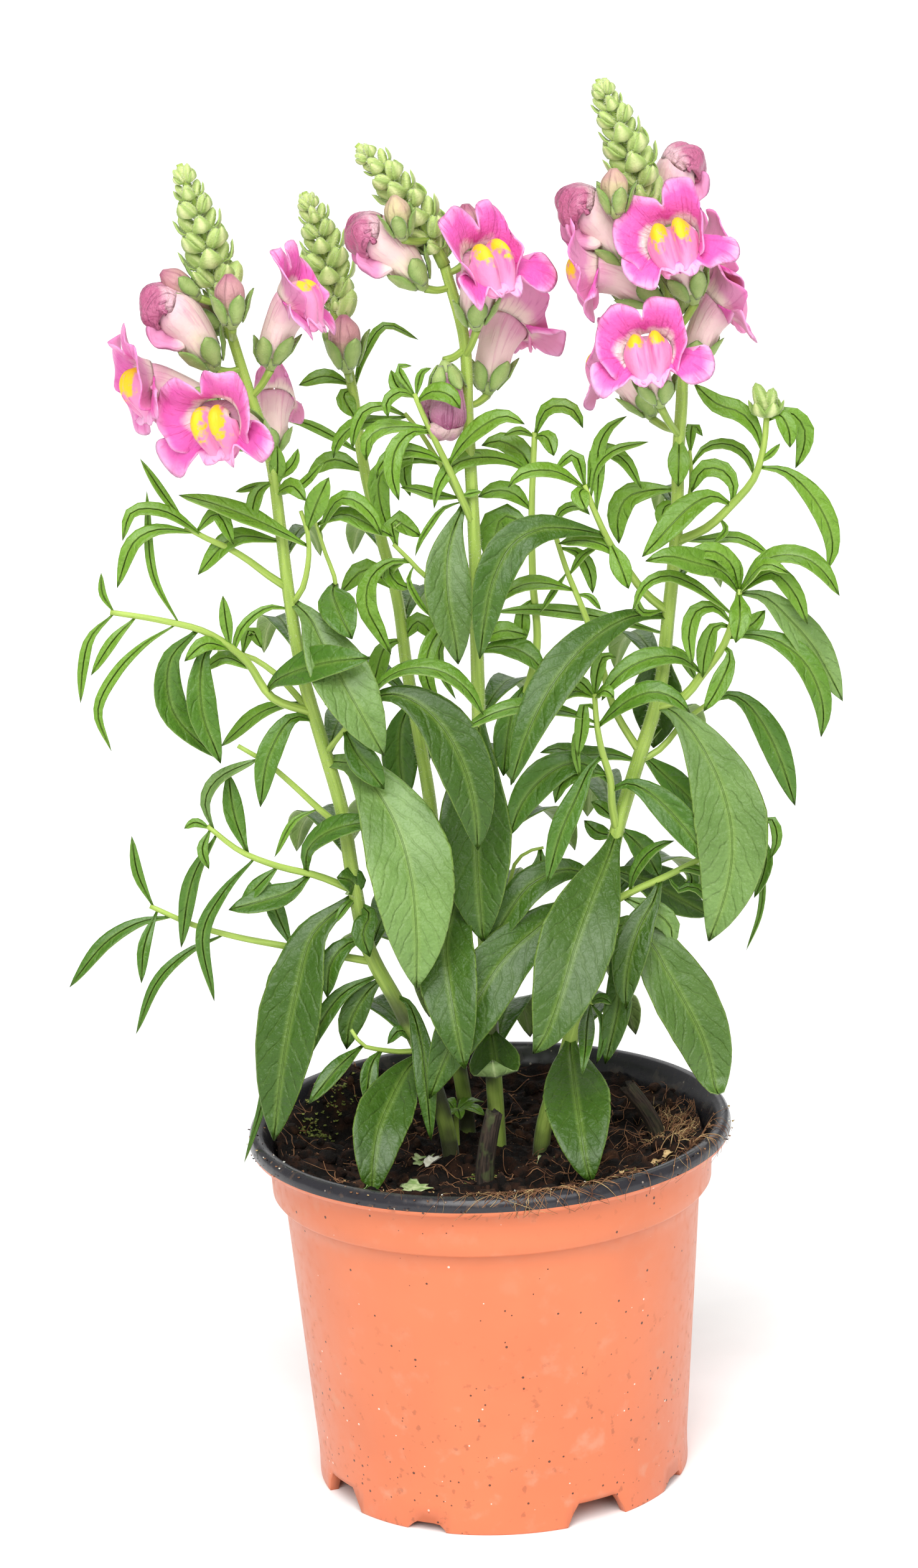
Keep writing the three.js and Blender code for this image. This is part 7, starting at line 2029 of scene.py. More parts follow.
    def __post_init__(self) -> None:
        """Works out the flower's seat and directions."""
        self.skin = Skin("dressed_" + self.name)
        self.draw = np.random.default_rng(len(self.name) * 97 + int(abs(self.across) * 13 + self.up))
        pose, depth = self.pose, self.stem.depth_at(self.up) - self.forward
        self.seat = seen(self.across + pose.aside, self.up + pose.lift, depth)
        lean = math.radians(self.lean + pose.lean)
        forward = bearing_vector(self.bearing + pose.turn)
        self.upward = UP * math.cos(lean) + forward * math.sin(lean)
        self.ahead = forward * math.cos(lean) - UP * math.sin(lean)
        left = np.cross(self.upward, self.ahead)
        roll = math.radians(pose.roll)
        self.upward, self.left = (
            self.upward * math.cos(roll) + left * math.sin(roll),
            left * math.cos(roll) - self.upward * math.sin(roll),
        )
        self.phase = self.draw.uniform(0, 2 * math.pi, 4)

    def at(self, x: Array | float, y: Array | float, z: Array | float) -> Array:
        """Turns places in the flower's own directions into places in the row frame.

        Args:
            x: How far ahead of its seat, in mm of a flower of size 1.
            y: How far to its left.
            z: How far up.

        Returns:
            The places in mm, in the shape that x, y and z spread to.
        """
        x, y, z = np.broadcast_arrays(x, y, z)
        directions = np.stack([self.ahead, self.left, self.upward])
        return self.seat + np.stack([x, y, z], axis=-1) @ directions * self.size

    def tube_rings(self, count: int, sides: int) -> tuple[Array, Array, Array]:
        """Lays the flower's body.

        Args:
            count: How many rings.
            sides: How many places in each.

        Returns:
            The rings, a column of each one's share along the body, and each place's angle.
        """
        rows = smooth_rows(self.ROWS[self.kind], count)
        x, z, tip, wide, deep, groove = (rows[:, k : k + 1] for k in range(6))
        angles = ring_angles(sides)
        dent = 1 - groove * np.exp(-((np.sin(angles) / 0.42) ** 2))
        flute = 1 + 0.02 * np.cos(5 * angles + 0.6)
        ahead = np.cos(angles) * deep * dent * flute
        lean = np.radians(tip)
        rings = self.at(x + ahead * np.cos(lean), np.sin(angles) * wide * flute, z - ahead * np.sin(lean))
        return rings, np.linspace(0, 1, count)[:, None], angles

    def add_open(self) -> None:
        """Adds an open flower: its tube, its humped palate and its two lips."""
        rings, shares, angles = self.tube_rings(31, 36)
        rings, shares = rings[: self.rings_to_mouth], shares[: self.rings_to_mouth]
        place = side_by_side(self.from_front(angles) * 5.5, shares * 24, np.clip(shares / 0.62, 0, 1))
        self.skin.tube(rings, self.TUBE, place, 0.3 * (1 + np.cos(angles + math.pi)))
        self.add_tube_fur(rings)
        self.add_dome(self.PALATE_ROWS, 25, 25, self.PALATE)
        self.add_lip(self.UPPER_LIP, 180, (self.UPPER_IN, self.UPPER_OUT), FRONT_UP)
        self.add_lip(self.LOWER_LIP, 0, (self.LOWER_IN, self.LOWER_OUT), UP_ONLY)

    @staticmethod
    def from_front(angles: Array) -> Array:
        """Returns how far round from the front each angle is, from 0 to pi."""
        return np.abs(((angles + math.pi) % (2 * math.pi)) - math.pi)

    def add_tube_fur(self, rings: Array) -> None:
        """Adds the short clear hairs of the tube. Args: rings, the tube's rings."""
        count, sides = rings.shape[:2]
        rows = self.draw.integers(2, count, self.tube_hairs)
        columns = self.draw.integers(0, sides, self.tube_hairs)
        roots = rings[rows, columns]
        out = unit(roots - rings[rows].mean(axis=1))
        Hairs(0.55, 0.04).add_to(self.skin, roots, out, self.draw, self.FUR)

    @staticmethod
    def mouth_ring(degrees: Array) -> tuple[Array, Array, Array]:
        """Returns how far ahead, aside and up the mouth's rim is at bearings, 0 at the front."""
        turn = np.radians(degrees)
        return 7 + 4.2 * np.cos(turn), 6.5 * np.sin(turn), 15.4 - 4.3 * np.cos(turn)

    def add_lip(
        self,
        half: Sequence[Sequence[float]],
        back: float,
        finishes: tuple[int, int],
        bulge: tuple[float, float],
    ) -> None:
        """Adds one lip, curved from the mouth's rim out to a ruffled edge.

        Args:
            half: One half of its edge, as UPPER_LIP and LOWER_LIP give it.
            back: The bearing of its middle round the mouth, in degrees.
            finishes: Its inner and outer materials.
            bulge: The direction it bulges in, as ahead and up.
        """
        upper = back > 90
        right = np.array(half, float)
        left = right[:0:-1] * (-1, 1, -1, 1, 1)
        rows = smooth_rows(np.vstack([left, right]), 69)[None, :]
        turn, ahead, aside, high, bow = (rows[..., k] for k in range(5))
        s = np.linspace(0, 1, 15)[:, None]
        root = self.mouth_ring(back - turn if upper else turn)
        wander = self.draw.uniform(-1, 1, 3)
        skew = self.pose.openness + 0.05 * np.sign(turn) * wander[0] * np.minimum(1, np.abs(turn) / 30)
        spread = self.pose.upper if upper else self.pose.lower
        skew = skew * np.where(aside < 0, *spread)
        hang = np.where(aside < 0, *self.pose.sag) * np.clip(np.abs(aside) / 8, 0, 1) * upper
        edge = (ahead, aside * skew, high - hang + 0.9 * wander[1] * np.sin(np.radians(turn)))
        swell = (bow * bulge[0], 0.35 * np.sign(aside) * bow, bow * bulge[1])
        control = [(a + b) / 2 + c for a, b, c in zip(root, edge, swell)]
        curves = zip(root, edge, control)
        x, y, z = ((1 - s) ** 2 * a + 2 * s * (1 - s) * c + s**2 * b for a, b, c in curves)
        angle, phase = np.radians(turn), self.phase
        wave = np.sin(angle * 6 + phase[0]) + 0.6 * np.sin(angle * 11 + phase[1])
        wave = wave * s**2.5 * np.minimum(1, np.abs(turn) / 12) * self.pose.ruffle
        tip = np.sin(angle * 9 + phase[2]) * s**3 * 0.5
        if upper:
            x, z = x + wave * 0.75, z + tip
            y = y + 0.3 * wave * np.sign(turn)
        else:
            x, z = x + tip, z + wave * 0.85
        paler = 0.0 if upper else 0.45 * np.exp(-((turn / 26) ** 4))
        place = side_by_side(turn * 0.22, s * 17, s + paler)
        tone = 0.5 * np.exp(-((turn / 9) ** 2)) * (1 - s) if upper else 0.0
        order = slice(None, None, 1 if upper else -1)
        grid = self.at(x, y, z)[:, order]
        self.skin.sheet(grid, self.petal_thickness, finishes, place[:, order], tone)

    def add_dome(self, profile: Sequence[Sequence[float]], along: int, wide: int, finish: int) -> None:
        """Adds a swollen sheet over the mouth: the palate or the folded hood.

        Args:
            profile: Its middle line, as PALATE_ROWS and HOOD_ROWS give it.
            along: How many rows of points it has.
            wide: How many points each row has.
            finish: Its material.
        """
        palate = finish == self.PALATE
        rows = smooth_rows(profile, along)
        slope = unit(np.gradient(rows[:, :2], axis=0))
        x, z, half, back = (rows[:, k : k + 1] for k in range(4))
        normal_x, normal_z = -slope[:, 1:2], slope[:, 0:1]
        s = np.linspace(0, 1, along)[:, None]
        u = np.linspace(-1, 1, wide)[None, :]
        turn = u * math.pi / 2
        if palate:
            groove = bell(u, 0.11) * np.clip(np.sin(math.pi * (0.1 + 0.85 * s)), 0, 1)
            hump = bell(np.abs(u) - 0.36, 0.2) * np.sin(math.pi * np.clip(s * 1.1, 0, 1))
            fold = (0.3 * np.sin(13 * u + self.phase[0] + 3 * s) + 0.25 * np.sin(8 * u - 9 * s)) * s
            relief = -3.0 * groove + 1.5 * hump + fold
            crown = bell(np.abs(u) - 0.34, 0.27) * bell(s - 0.33, self.pose.crown)
            tone = np.clip(crown * 1.15, 0, 1)
        else:
            crease = bell(u - 0.15 + 0.3 * s, 0.08) * np.clip(s * 2, 0, 1)
            crinkle = 0.45 * np.sin(8 * u + 9 * s + self.phase[0])
            crinkle = crinkle + 0.35 * np.sin(7 * u - 15 * s + self.phase[1])
            relief = -1.5 * crease + crinkle * np.sin(math.pi * s)
            tone = 0.4 * bell(u, 0.5) * (finish == self.FOLDED) + 0 * s
        lie = back * (1 - np.cos(turn)) - relief
        grid = self.at(x - normal_x * lie, -half * np.sin(turn), z - normal_z * lie)
        place = side_by_side(u * 7, s * 16, s)
        self.skin.sheet(grid[::-1], self.petal_thickness, (finish, finish), place[::-1], tone[::-1])

    def add_half_open(self) -> None:
        """Adds a half-open flower: a widening tube under a folded, crinkled hood."""
        rings, shares, angles = self.tube_rings(25, 32)
        wilted = self.kind is Bloom.WITHERED
        place = side_by_side(self.from_front(angles) * 5, shares * 22, shares)
        tone = 0.25 * (1 + np.cos(angles + math.pi))
        self.skin.tube(rings, self.WILTED if wilted else self.TUBE, place, tone)
        self.add_tube_fur(rings)
        self.add_dome(self.TUCKED_ROWS, 17, 19, self.WILTED if wilted else self.UPPER_OUT)
        self.add_dome(self.HOOD_ROWS, 25, 25, self.WILTED if wilted else self.FOLDED)

    def add_bud(self) -> None:
        """Adds a coloured bud, closed, with one petal wrapped over the other."""
        rings, shares, angles = self.tube_rings(19, 22)
        swirl = (angles + 1.6 * shares + self.phase[0]) % (2 * math.pi)
        lap = bell(swirl, 0.5) * 0.05 * np.sin(math.pi * shares)
        centre = rings.mean(axis=1, keepdims=True)
        rings = centre + (rings - centre) * (1 + lap[..., None])
        place = side_by_side(angles * 3, shares * 11, shares * self.pose.openness)
        self.skin.tube(rings, self.CLOSED, place, bell(swirl - 0.25, 0.22) * shares)

    def add_cup(self) -> None:
        """Adds the green cup under the flower and its short stalk to the stem's own piece."""
        rows = self.ROWS[self.kind]
        drop = PEDICEL_DROP * math.cos(math.radians(self.lean))
        near = self.stem.nearest(self.across, self.up - drop, self.stem.axes[:1])
        root, low = seen(*near), self.at(0.0, 0.0, -2.2)
        knee = (root + low) / 2 - UP * 0.6
        skin = self.stem.skin
        add_stalk(skin, SmoothLine([root, knee, low]), (0.85, 1.1), LeafyStem.STEM, (0.3, 0.5))
        spread = rows[1][3] + 0.55
        angles = ring_angles(12)
        shape = ((-2.4, 1.0), (-1.4, 1.7), (-0.4, 2.6), (0.8, 3.0), (1.6, 3.0))
        rings = np.stack([self.at(np.cos(angles) * r, np.sin(angles) * r, z) for z, r in shape])
        skin.tube(rings, LeafyStem.CUP)
        v = np.linspace(0, 1, 8)[:, None]
        w = np.linspace(-1, 1, 9)[None, :]
        outline = np.interp(v, (0, 0.25, 0.5, 0.75, 0.92, 1), (0.6, 0.9, 1, 0.74, 0.36, 0.05))
        shift = rows[1][0] / rows[1][1]
        for middle in ring_angles(5) + math.pi / 5:
            angle = middle + 0.6 * outline * w
            radius = 2.7 + (spread + 0.35 - 2.7) * np.minimum(1, 2.2 * v) + 1.7 * v**3 - 0.25 * w**2
            radius = radius + 0.12 * bell(w, 0.15)
            height = -1.0 + 8.2 * v
            x = shift * np.maximum(height, 0) + np.cos(angle) * radius
            grid = self.at(x, np.sin(angle) * radius, height)
            place = side_by_side(3 * w * outline, 8 * v, np.abs(w) * 0.8)
            skin.sheet(grid, 0.45, (LeafyStem.CUP, LeafyStem.CUP), place, 0.15 + 0.5 * v)
            scatter = self.stem.scatter
            rows_hit = scatter.integers(0, len(v), self.sepal_hairs)
            roots = grid[rows_hit, scatter.integers(0, w.size, self.sepal_hairs)]
            out = unit(roots - self.at(0.0, 0.0, 2.0))
            Hairs(0.7, 0.045).add_to(skin, roots, out, scatter, LeafyStem.FUR)

    def build(self, palette: Palette) -> bpy.types.Object:
        """Makes the flower. Args: palette, the materials. Returns: the finished piece."""
        makers = {
            Bloom.OPEN: self.add_open,
            Bloom.HALF: self.add_half_open,
            Bloom.BUD: self.add_bud,
            Bloom.WITHERED: self.add_half_open,
        }
        slots = {Bloom.OPEN: "petal_pink", Bloom.WITHERED: "withered_petal"}
        makers[self.kind]()
        made = self.skin.build(palette.materials(self.finishes))
        return place_piece(made, slots.get(self.kind, "bud_pink"), self.name)


# ------------------------------------------------------------------ pot, soil and litter


@dataclass
class Pot:
    """The thin round nursery pot: terracotta outside, black rim and inside."""

    sides: int = 192
    wall_foot: float = 8.0
    notch_ramp: float = 2.8
    finishes: tuple[Finish, ...] = (POT_OUTSIDE, POT_INSIDE)

    # Bearing of a notch's middle, half its width in degrees, and its height.
    NOTCHES = tuple(
        (first + 90 * quarter, half, rise)
        for first, half, rise in ((29, 8.6, 6.5), (65, 5.2, 2.6))
        for quarter in range(4)
    )

    def outside(self) -> list[tuple[float, float, float]]:
        """Lays out the terracotta side of the pot's section.

        Returns:
            Rows of radius, height and dirt share, from the middle of the foot up to the rim.
        """
        underside = [
            (CENTRE_PAD_RADIUS * 0.5, 0.0, 0.3), (CENTRE_PAD_RADIUS, 0.0, 0.3),
            (CHANNEL_INNER, FLOOR_UNDERSIDE, 0.3), (CHANNEL_OUTER, FLOOR_UNDERSIDE, 0.3),
            (FOOT_RADIUS - 2.6, 0.0, 0.7), (FOOT_RADIUS - 0.3, 0.0, 0.8),
            (FOOT_RADIUS - 0.05, 0.6, 0.8),
        ]
        low, high = self.wall_foot, BAND_BOTTOM
        wall = []
        for share in np.linspace(0, 1, 15):
            radius = FOOT_RADIUS + (WALL_TOP_RADIUS - FOOT_RADIUS) * share
            wall.append((radius, low + (high - low) * share, 0.75 * (1 - share) + 0.14))
        band = [
            (WALL_TOP_RADIUS + 0.3, BAND_BOTTOM + 0.15, 0.2),
            (BAND_RADIUS - 0.5, BAND_BOTTOM + 0.9, 0.2),
            (BAND_RADIUS, BAND_BOTTOM + 1.6, 0.3), (BAND_RADIUS + 0.2, BAND_BOTTOM + 5.0, 0.3),
            (BAND_RADIUS + 0.4, BAND_TOP - 4.0, 0.4), (BAND_RADIUS + 0.6, BAND_TOP - 0.6, 0.5),
            (BAND_RADIUS + 1.4, BAND_TOP + 0.1, 0.5), (RIM_RADIUS - 1.7, BAND_TOP + 0.55, 0.4),
            (RIM_RADIUS - 0.5, BAND_TOP + 1.2, 0.5),
        ]
        return underside + wall + band

    @staticmethod
    def inside() -> list[tuple[float, float, float]]:
        """Lays out the black side of the pot's section.

        Returns:
            Rows of radius, height and dirt share, from the rim over its roll and down to the floor.
        """
        floor = FLOOR_UNDERSIDE + FLOOR_THICKNESS
        return [
            (RIM_RADIUS, BAND_TOP + 2.3, 0.6), (RIM_RADIUS - 0.05, BAND_TOP + 3.6, 0.7),
            (RIM_RADIUS - 0.5, POT_HEIGHT - 0.9, 0.8),
            (RIM_RADIUS - 1.3, POT_HEIGHT - 0.25, 0.9), (RIM_RADIUS - 2.3, POT_HEIGHT, 0.95),
            (RIM_RADIUS - 3.3, POT_HEIGHT - 0.35, 1.0), (RIM_RADIUS - 4.1, POT_HEIGHT - 1.4, 1.0),
            (BAND_RADIUS - POT_WALL + 0.9, BAND_TOP + 1.4, 1.0),
            (BAND_RADIUS - POT_WALL + 0.2, BAND_TOP - 2, 1.0),
            (BAND_RADIUS - POT_WALL, BAND_BOTTOM + 2.2, 1.0),
            (WALL_TOP_RADIUS - POT_WALL, BAND_BOTTOM + 0.4, 1.0),
            (FOOT_RADIUS - POT_WALL, floor, 1.0), (CHANNEL_INNER - 0.6, floor, 1.0),
            (CENTRE_PAD_RADIUS - 0.6, FLOOR_THICKNESS, 1.0),
            (CENTRE_PAD_RADIUS * 0.5, FLOOR_THICKNESS, 1.0),
        ]

    def notch_height(self, bearings: Array) -> Array:
        """Returns how high the foot is cut away at each bearing (0 at the front)."""
        height = np.zeros_like(bearings)
        for middle, half, rise in self.NOTCHES:
            away = np.abs((bearings - middle + 180) % 360 - 180)
            ramp = np.clip((half + self.notch_ramp / 2 - away) / self.notch_ramp, 0, 1)
            height = np.maximum(height, rise * ramp * ramp * (3 - 2 * ramp))
        return height

    def build(self, palette: Palette) -> bpy.types.Object:
        """Makes the pot. Args: palette, the materials. Returns: the finished piece."""
        outside, inside = self.outside(), self.inside()
        angles = ring_angles(self.sides)
        cut = self.notch_height(np.degrees(angles) + 90)
        rings, tones = [], []
        for radius, height, dirt in outside + inside:
            z = np.full(self.sides, height)
            if radius > CHANNEL_OUTER and height < FLOOR_UNDERSIDE:
                z = np.maximum(z, cut)
            elif radius >= FOOT_RADIUS and height <= self.wall_foot:
                z = np.maximum(z, cut + 0.6)
            rings.append(np.column_stack([np.cos(angles) * radius, np.sin(angles) * radius, z]))
            tones.append([dirt])
        rings, tones = np.stack(rings), np.array(tones)
        skin = Skin("dressed_pot")
        place = side_by_side(angles * 60, rings[..., 2], tones)
        low, high = slice(len(outside) + 1), slice(len(outside), None)
        skin.tube(rings[low], 0, place[low], tones[low], closed=(True, False))
        skin.tube(rings[high], 1, place[high], tones[high], closed=(False, True))
        made = skin.build(palette.materials(self.finishes))
        self.drill(made)
        return place_piece(made, "pot_plastic", "pot")

    @staticmethod
    def drill(made: bpy.types.Object) -> None:
        """Cuts the four drain holes through the floor. Args: made, the pot."""
        merge = bmesh.new()
        merge.from_mesh(made.data)
        bmesh.ops.remove_doubles(merge, verts=merge.verts, dist=1e-6)
        merge.to_mesh(made.data)
        merge.free()
        middle = (CHANNEL_INNER + CHANNEL_OUTER) / 2 * MM
        for quarter in range(4):
            angle = math.radians(45 + 90 * quarter)
            height = (FLOOR_UNDERSIDE + FLOOR_THICKNESS / 2) * MM
            where = Vector((math.cos(angle) * middle, math.sin(angle) * middle, height))
            cutter_mesh = bpy.data.meshes.new("drain_cutter")
            cutter = bmesh.new()
            bmesh.ops.create_cone(
                cutter, cap_ends=True, segments=24, radius1=DRAIN_RADIUS * MM, radius2=DRAIN_RADIUS * MM,
                depth=6 * MM, matrix=Matrix.Translation(where),
            )
            cutter.to_mesh(cutter_mesh)
            cutter.free()
            tool = linked("drain_cutter", cutter_mesh)
            cut = made.modifiers.new("drain", "BOOLEAN")
            cut.operation, cut.object, cut.solver = "DIFFERENCE", tool, "EXACT"
            with bpy.context.temp_override(object=made, active_object=made):
                bpy.ops.object.modifier_apply(modifier=cut.name)
            bpy.data.objects.remove(tool)


def soil_height(x: Array, y: Array) -> Array:
    """Lays out the soil's top: long ripples and a heap at the back on the left.

    Args:
        x: Places to the right of the pot's axis.
        y: Places behind it.

    Returns:
        The height at each place.
    """
    broad = np.sin(x * 0.21 + 1.3) * np.cos(y * 0.17 - 0.6)
    slanting = 0.6 * np.sin(x * 0.09 - y * 0.31)
    fine = 0.5 * np.sin(x * 0.47 + y * 0.29 + 2)
    heap = 9 * np.exp(-((x + 38) ** 2 + (y - 34) ** 2) / 160)
    return SOIL_LEVEL + SOIL_LUMP * 0.6 * (broad + slanting + fine) + heap


def lumps(points: Array, millimetres: float, octaves: int) -> Array:
    """Returns a rough noise, about -1 to 1, for each place. Args: lump size in mm, and octaves."""
    return np.array([noise.fractal(Vector(p) / millimetres, 0.9, 2.1, octaves) for p in points])


@dataclass
class Soil:
    """The peat ball: a broken, fibrous top and a plain side against the pot's wall."""

    rings: int = 84
    sides: int = 230
    litter_reach: float = 56.0
    seed: int = 5
    edge: float = BAND_RADIUS - POT_WALL - 0.5
    crumbs: int = 420
    fibres: int = 300
    moss_flakes: int = 70
    tuft_fibres: int = 130
    rim_fibres: int = 140
    rim_grit: int = 130
    finishes: tuple[Finish, ...] = (PEAT, CRUMB, ROOT_FIBRE, MOSS, DEAD_LEAF, DRY_SCRAP, STRAW)

    PEAT, CRUMB, FIBRE, MOSS, LEAF, SCRAP, STRAW = range(7)

    @staticmethod
    def top_height(x: Array, y: Array) -> Array:
        """Breaks up the soil's top, and heaps it a little against the wall.

        Args:
            x: Places to the right of the pot's axis.
            y: Places behind it.

        Returns:
            The height at each place.
        """
        flat = np.column_stack([x.reshape(-1), y.reshape(-1), np.zeros(x.size)])
        rough = lumps(flat, 7.0, 5) * 1.7 + np.abs(lumps(flat + 40, 3.0, 3)) * 1.1
        near_edge = np.clip((np.hypot(x, y) - 36) / 20, 0, 1) ** 1.4
        heaped = near_edge * (5.6 - 1.6 * x / 57 - 1.2 * y / 57)
        height = soil_height(x, y) + rough.reshape(x.shape) + heaped - 0.3
        low = POT_HEIGHT - 1.4
        return np.where(height > low, low + (height - low) * np.where(y > 18, 1.0, 0.12), height)

    def on_top(self, x: float, y: float, above: float) -> Array:
        """Finds a place over the soil.

        Args:
            x: How far to the right of the pot's axis it is.
            y: How far behind it.
            above: How far above the soil.

        Returns:
            The place.
        """
        height = float(self.top_height(np.array([x]), np.array([y]))[0])
        return np.array([x, y, height + above])

    def build(self, palette: Palette) -> bpy.types.Object:
        """Makes the soil with its crumbs and fibres. Args: palette. Returns: the piece."""
        skin = Skin("dressed_soil")
        angles = ring_angles(self.sides)
        floor = FLOOR_UNDERSIDE + FLOOR_THICKNESS + GAP
        below = [
            (CENTRE_PAD_RADIUS - 1.2, FLOOR_THICKNESS + GAP), (CHANNEL_INNER - 1.2, floor),
            (FOOT_RADIUS - POT_WALL - 0.7, floor), (WALL_TOP_RADIUS - POT_WALL - 0.8, BAND_BOTTOM),
            (self.edge, BAND_BOTTOM + 3.4),
        ]
        top = self.edge * (1 - np.linspace(0, 1, self.rings) ** 1.15 * 0.995)
        radii = np.concatenate([[radius for radius, _ in below], top])[:, None]
        x, y = np.cos(angles) * radii, np.sin(angles) * radii
        sunk = np.array([height for _, height in below])[:, None]
        count = len(below)
        z = np.vstack([np.broadcast_to(sunk, x[:count].shape), self.top_height(x[count:], y[count:])])
        skin.tube(side_by_side(x, y, z), self.PEAT)
        self.add_crumbs(skin)
        self.add_fibres(skin)
        self.add_litter(skin)
        return place_piece(skin.build(palette.materials(self.finishes)), "peat_soil", "soil")

    def add_crumbs(self, skin: Skin) -> None:
        """Scatters broken lumps of peat over the top. Args: skin, the soil's."""
        draw = np.random.default_rng(self.seed)
        base = bmesh.new()
        bmesh.ops.create_icosphere(base, subdivisions=2, radius=1.0)
        ball = np.array([v.co[:] for v in base.verts])
        faces = np.array([[v.index for v in f.verts] + [f.verts[2].index] for f in base.faces])
        base.free()
        for _ in range(self.crumbs):
            radius = self.edge * math.sqrt(draw.uniform(0.02, 0.98))
            angle = draw.uniform(0, 2 * math.pi)
            x, y = math.cos(angle) * radius, math.sin(angle) * radius
            size = 0.5 + 1.9 * draw.uniform() ** 2.4
            stretch = draw.uniform(0.6, 1.3, 3)
            shape = ball * (1 + 0.35 * lumps(ball * 5 + draw.uniform(0, 90, 3), 3.0, 2))[:, None]
            points = shape * stretch * size + self.on_top(x, y, 0.2 * size)
            points[:, 2] = np.minimum(points[:, 2], SOIL_LEVEL + 14)
            finish = self.CRUMB if draw.uniform() < 0.35 else self.PEAT
            skin.add(points, faces, finish, tone=draw.uniform())

    # What lies on the soil: place, length, width, turn in degrees, curl, raggedness and finish.
    FLAKES = (
        (-20.7, -32.6, 10.0, 8.0, 20, 0.6, 0.34, LEAF), (-18.6, -10.0, 7.0, 5.0, 70, 0.8, 0.4, LEAF),
        (-15.6, -14.5, 8.5, 3.0, 62, 1.4, 0.12, SCRAP), (-33.8, -39.8, 5.0, 2.4, 100, 0.8, 0.2, LEAF),
        (14.5, -12.6, 7.0, 4.0, 60, 2.4, 0.08, LEAF), (47.5, -19.5, 8.0, 2.0, 62, 0.7, 0.15, STRAW),
        (44.0, -22.0, 7.0, 1.7, 48, 0.9, 0.15, STRAW), (44.2, 8.8, 4.0, 2.0, 20, 0.6, 0.2, STRAW),
        (-18.0, -24.0, 3.2, 1.4, 10, 0.5, 0.2, STRAW), (10.0, -46.0, 3.0, 1.2, 130, 0.5, 0.2, STRAW),
        (-40.0, -22.0, 2.6, 1.2, 40, 0.4, 0.2, SCRAP), (34.0, -40.0, 2.6, 1.3, 80, 0.4, 0.2, STRAW),
    )
    # The way over the pot's rim from inside to outside: radius and height.
    OVER_RIM = ((57.6, 96.2), (60.6, 100.1), (62.9, 100.35), (64.8, 99.2), (65.5, 96.6), (64.6, 94.2))
    # Mossy places: middle and reach.
    MOSSY = ((38.3, -29.1, 4.5), (-41.5, 24.4, 8.0), (-48.0, 12.0, 5.0), (-2.0, -22.0, 4.0))

    def add_litter(self, skin: Skin) -> None:
        """Adds moss, decayed leaves, straw and a mat of fibres. Args: skin, the soil's."""
        draw = np.random.default_rng(self.seed + 2)
        for x, y, *flake in self.FLAKES:
            add_flake(skin, self.on_top(x, y, 0.8), *flake, draw)
        for x, y, reach in self.MOSSY:
            for _ in range(self.moss_flakes):
                at = np.array([x, y]) + draw.normal(0, reach / 2, 2)
                if np.hypot(*at) > self.litter_reach:
                    continue
                size = draw.uniform(0.3, 0.8)
                turn = draw.uniform(0, 180)
                add_flake(skin, self.on_top(*at, 0.3), size * 2, size * 1.4, turn, 0.3, 0.3, self.MOSS, draw)
        for _ in range(self.tuft_fibres):
            at = np.array([47.5, -4.0]) + draw.normal(0, 1, 2) * (3.5, 9.0)
            heading = draw.uniform(0.2, 2.2)
            places = []
            for step in range(6):
                heading += draw.normal(0, 0.45)
                at = at + draw.uniform(1.0, 2.4) * np.array([math.cos(heading), math.sin(heading)])
                at = at * min(1.0, (self.litter_reach + 0.5) / float(np.hypot(*at)))
                above = 1.0 + 1.6 * math.sin(step) ** 2 + draw.uniform(0, 0.9)
                places.append(self.on_top(*at, above))
            thick = draw.uniform(0.06, 0.16)
            add_fibre(skin, places, thick, self.STRAW if draw.uniform() < 0.4 else self.FIBRE)
        self.add_rim_grit(skin, draw)

    def add_rim_grit(self, skin: Skin, draw: np.random.Generator) -> None:
        """Adds the fibres and grit that lie over the pot's rim. Args: skin, and draw, the source."""
        for _ in range(self.rim_fibres):
            in_front = draw.uniform() < 0.75
            bearing = math.radians(draw.normal(14, 12) if in_front else draw.uniform(50, 80))
            drift = draw.normal(0, 0.035)
            last = int(draw.integers(3, 7))
            places = []
            for step, (radius, height) in enumerate(self.OVER_RIM[:last]):
                turn = bearing + drift * step + draw.normal(0, 0.01)
                away = radius + draw.uniform(0.0, 0.25)
                front = max(-math.cos(turn) * away, 0.3 - RIM_RADIUS)
                places.append([math.sin(turn) * away, front, height + draw.uniform(0, 0.3)])
            thick = draw.uniform(0.06, 0.17)
            add_fibre(skin, places, thick, self.STRAW if draw.uniform() < 0.22 else self.FIBRE)
        for _ in range(self.rim_grit):
            bearing = draw.uniform(-1.6, 1.6)
            radius, height = self.OVER_RIM[int(draw.integers(1, 5))]
            centre = np.array([math.sin(bearing) * radius, -math.cos(bearing) * radius, height + 0.15])
            size = draw.uniform(0.2, 0.65)
            kinds = (self.PEAT, self.FIBRE, self.STRAW, self.SCRAP)
            finish = int(draw.choice(kinds, p=[0.35, 0.35, 0.2, 0.1]))
            add_flake(skin, centre, size * 1.6, size, draw.uniform(0, 180), 0.2, 0.3, finish, draw)

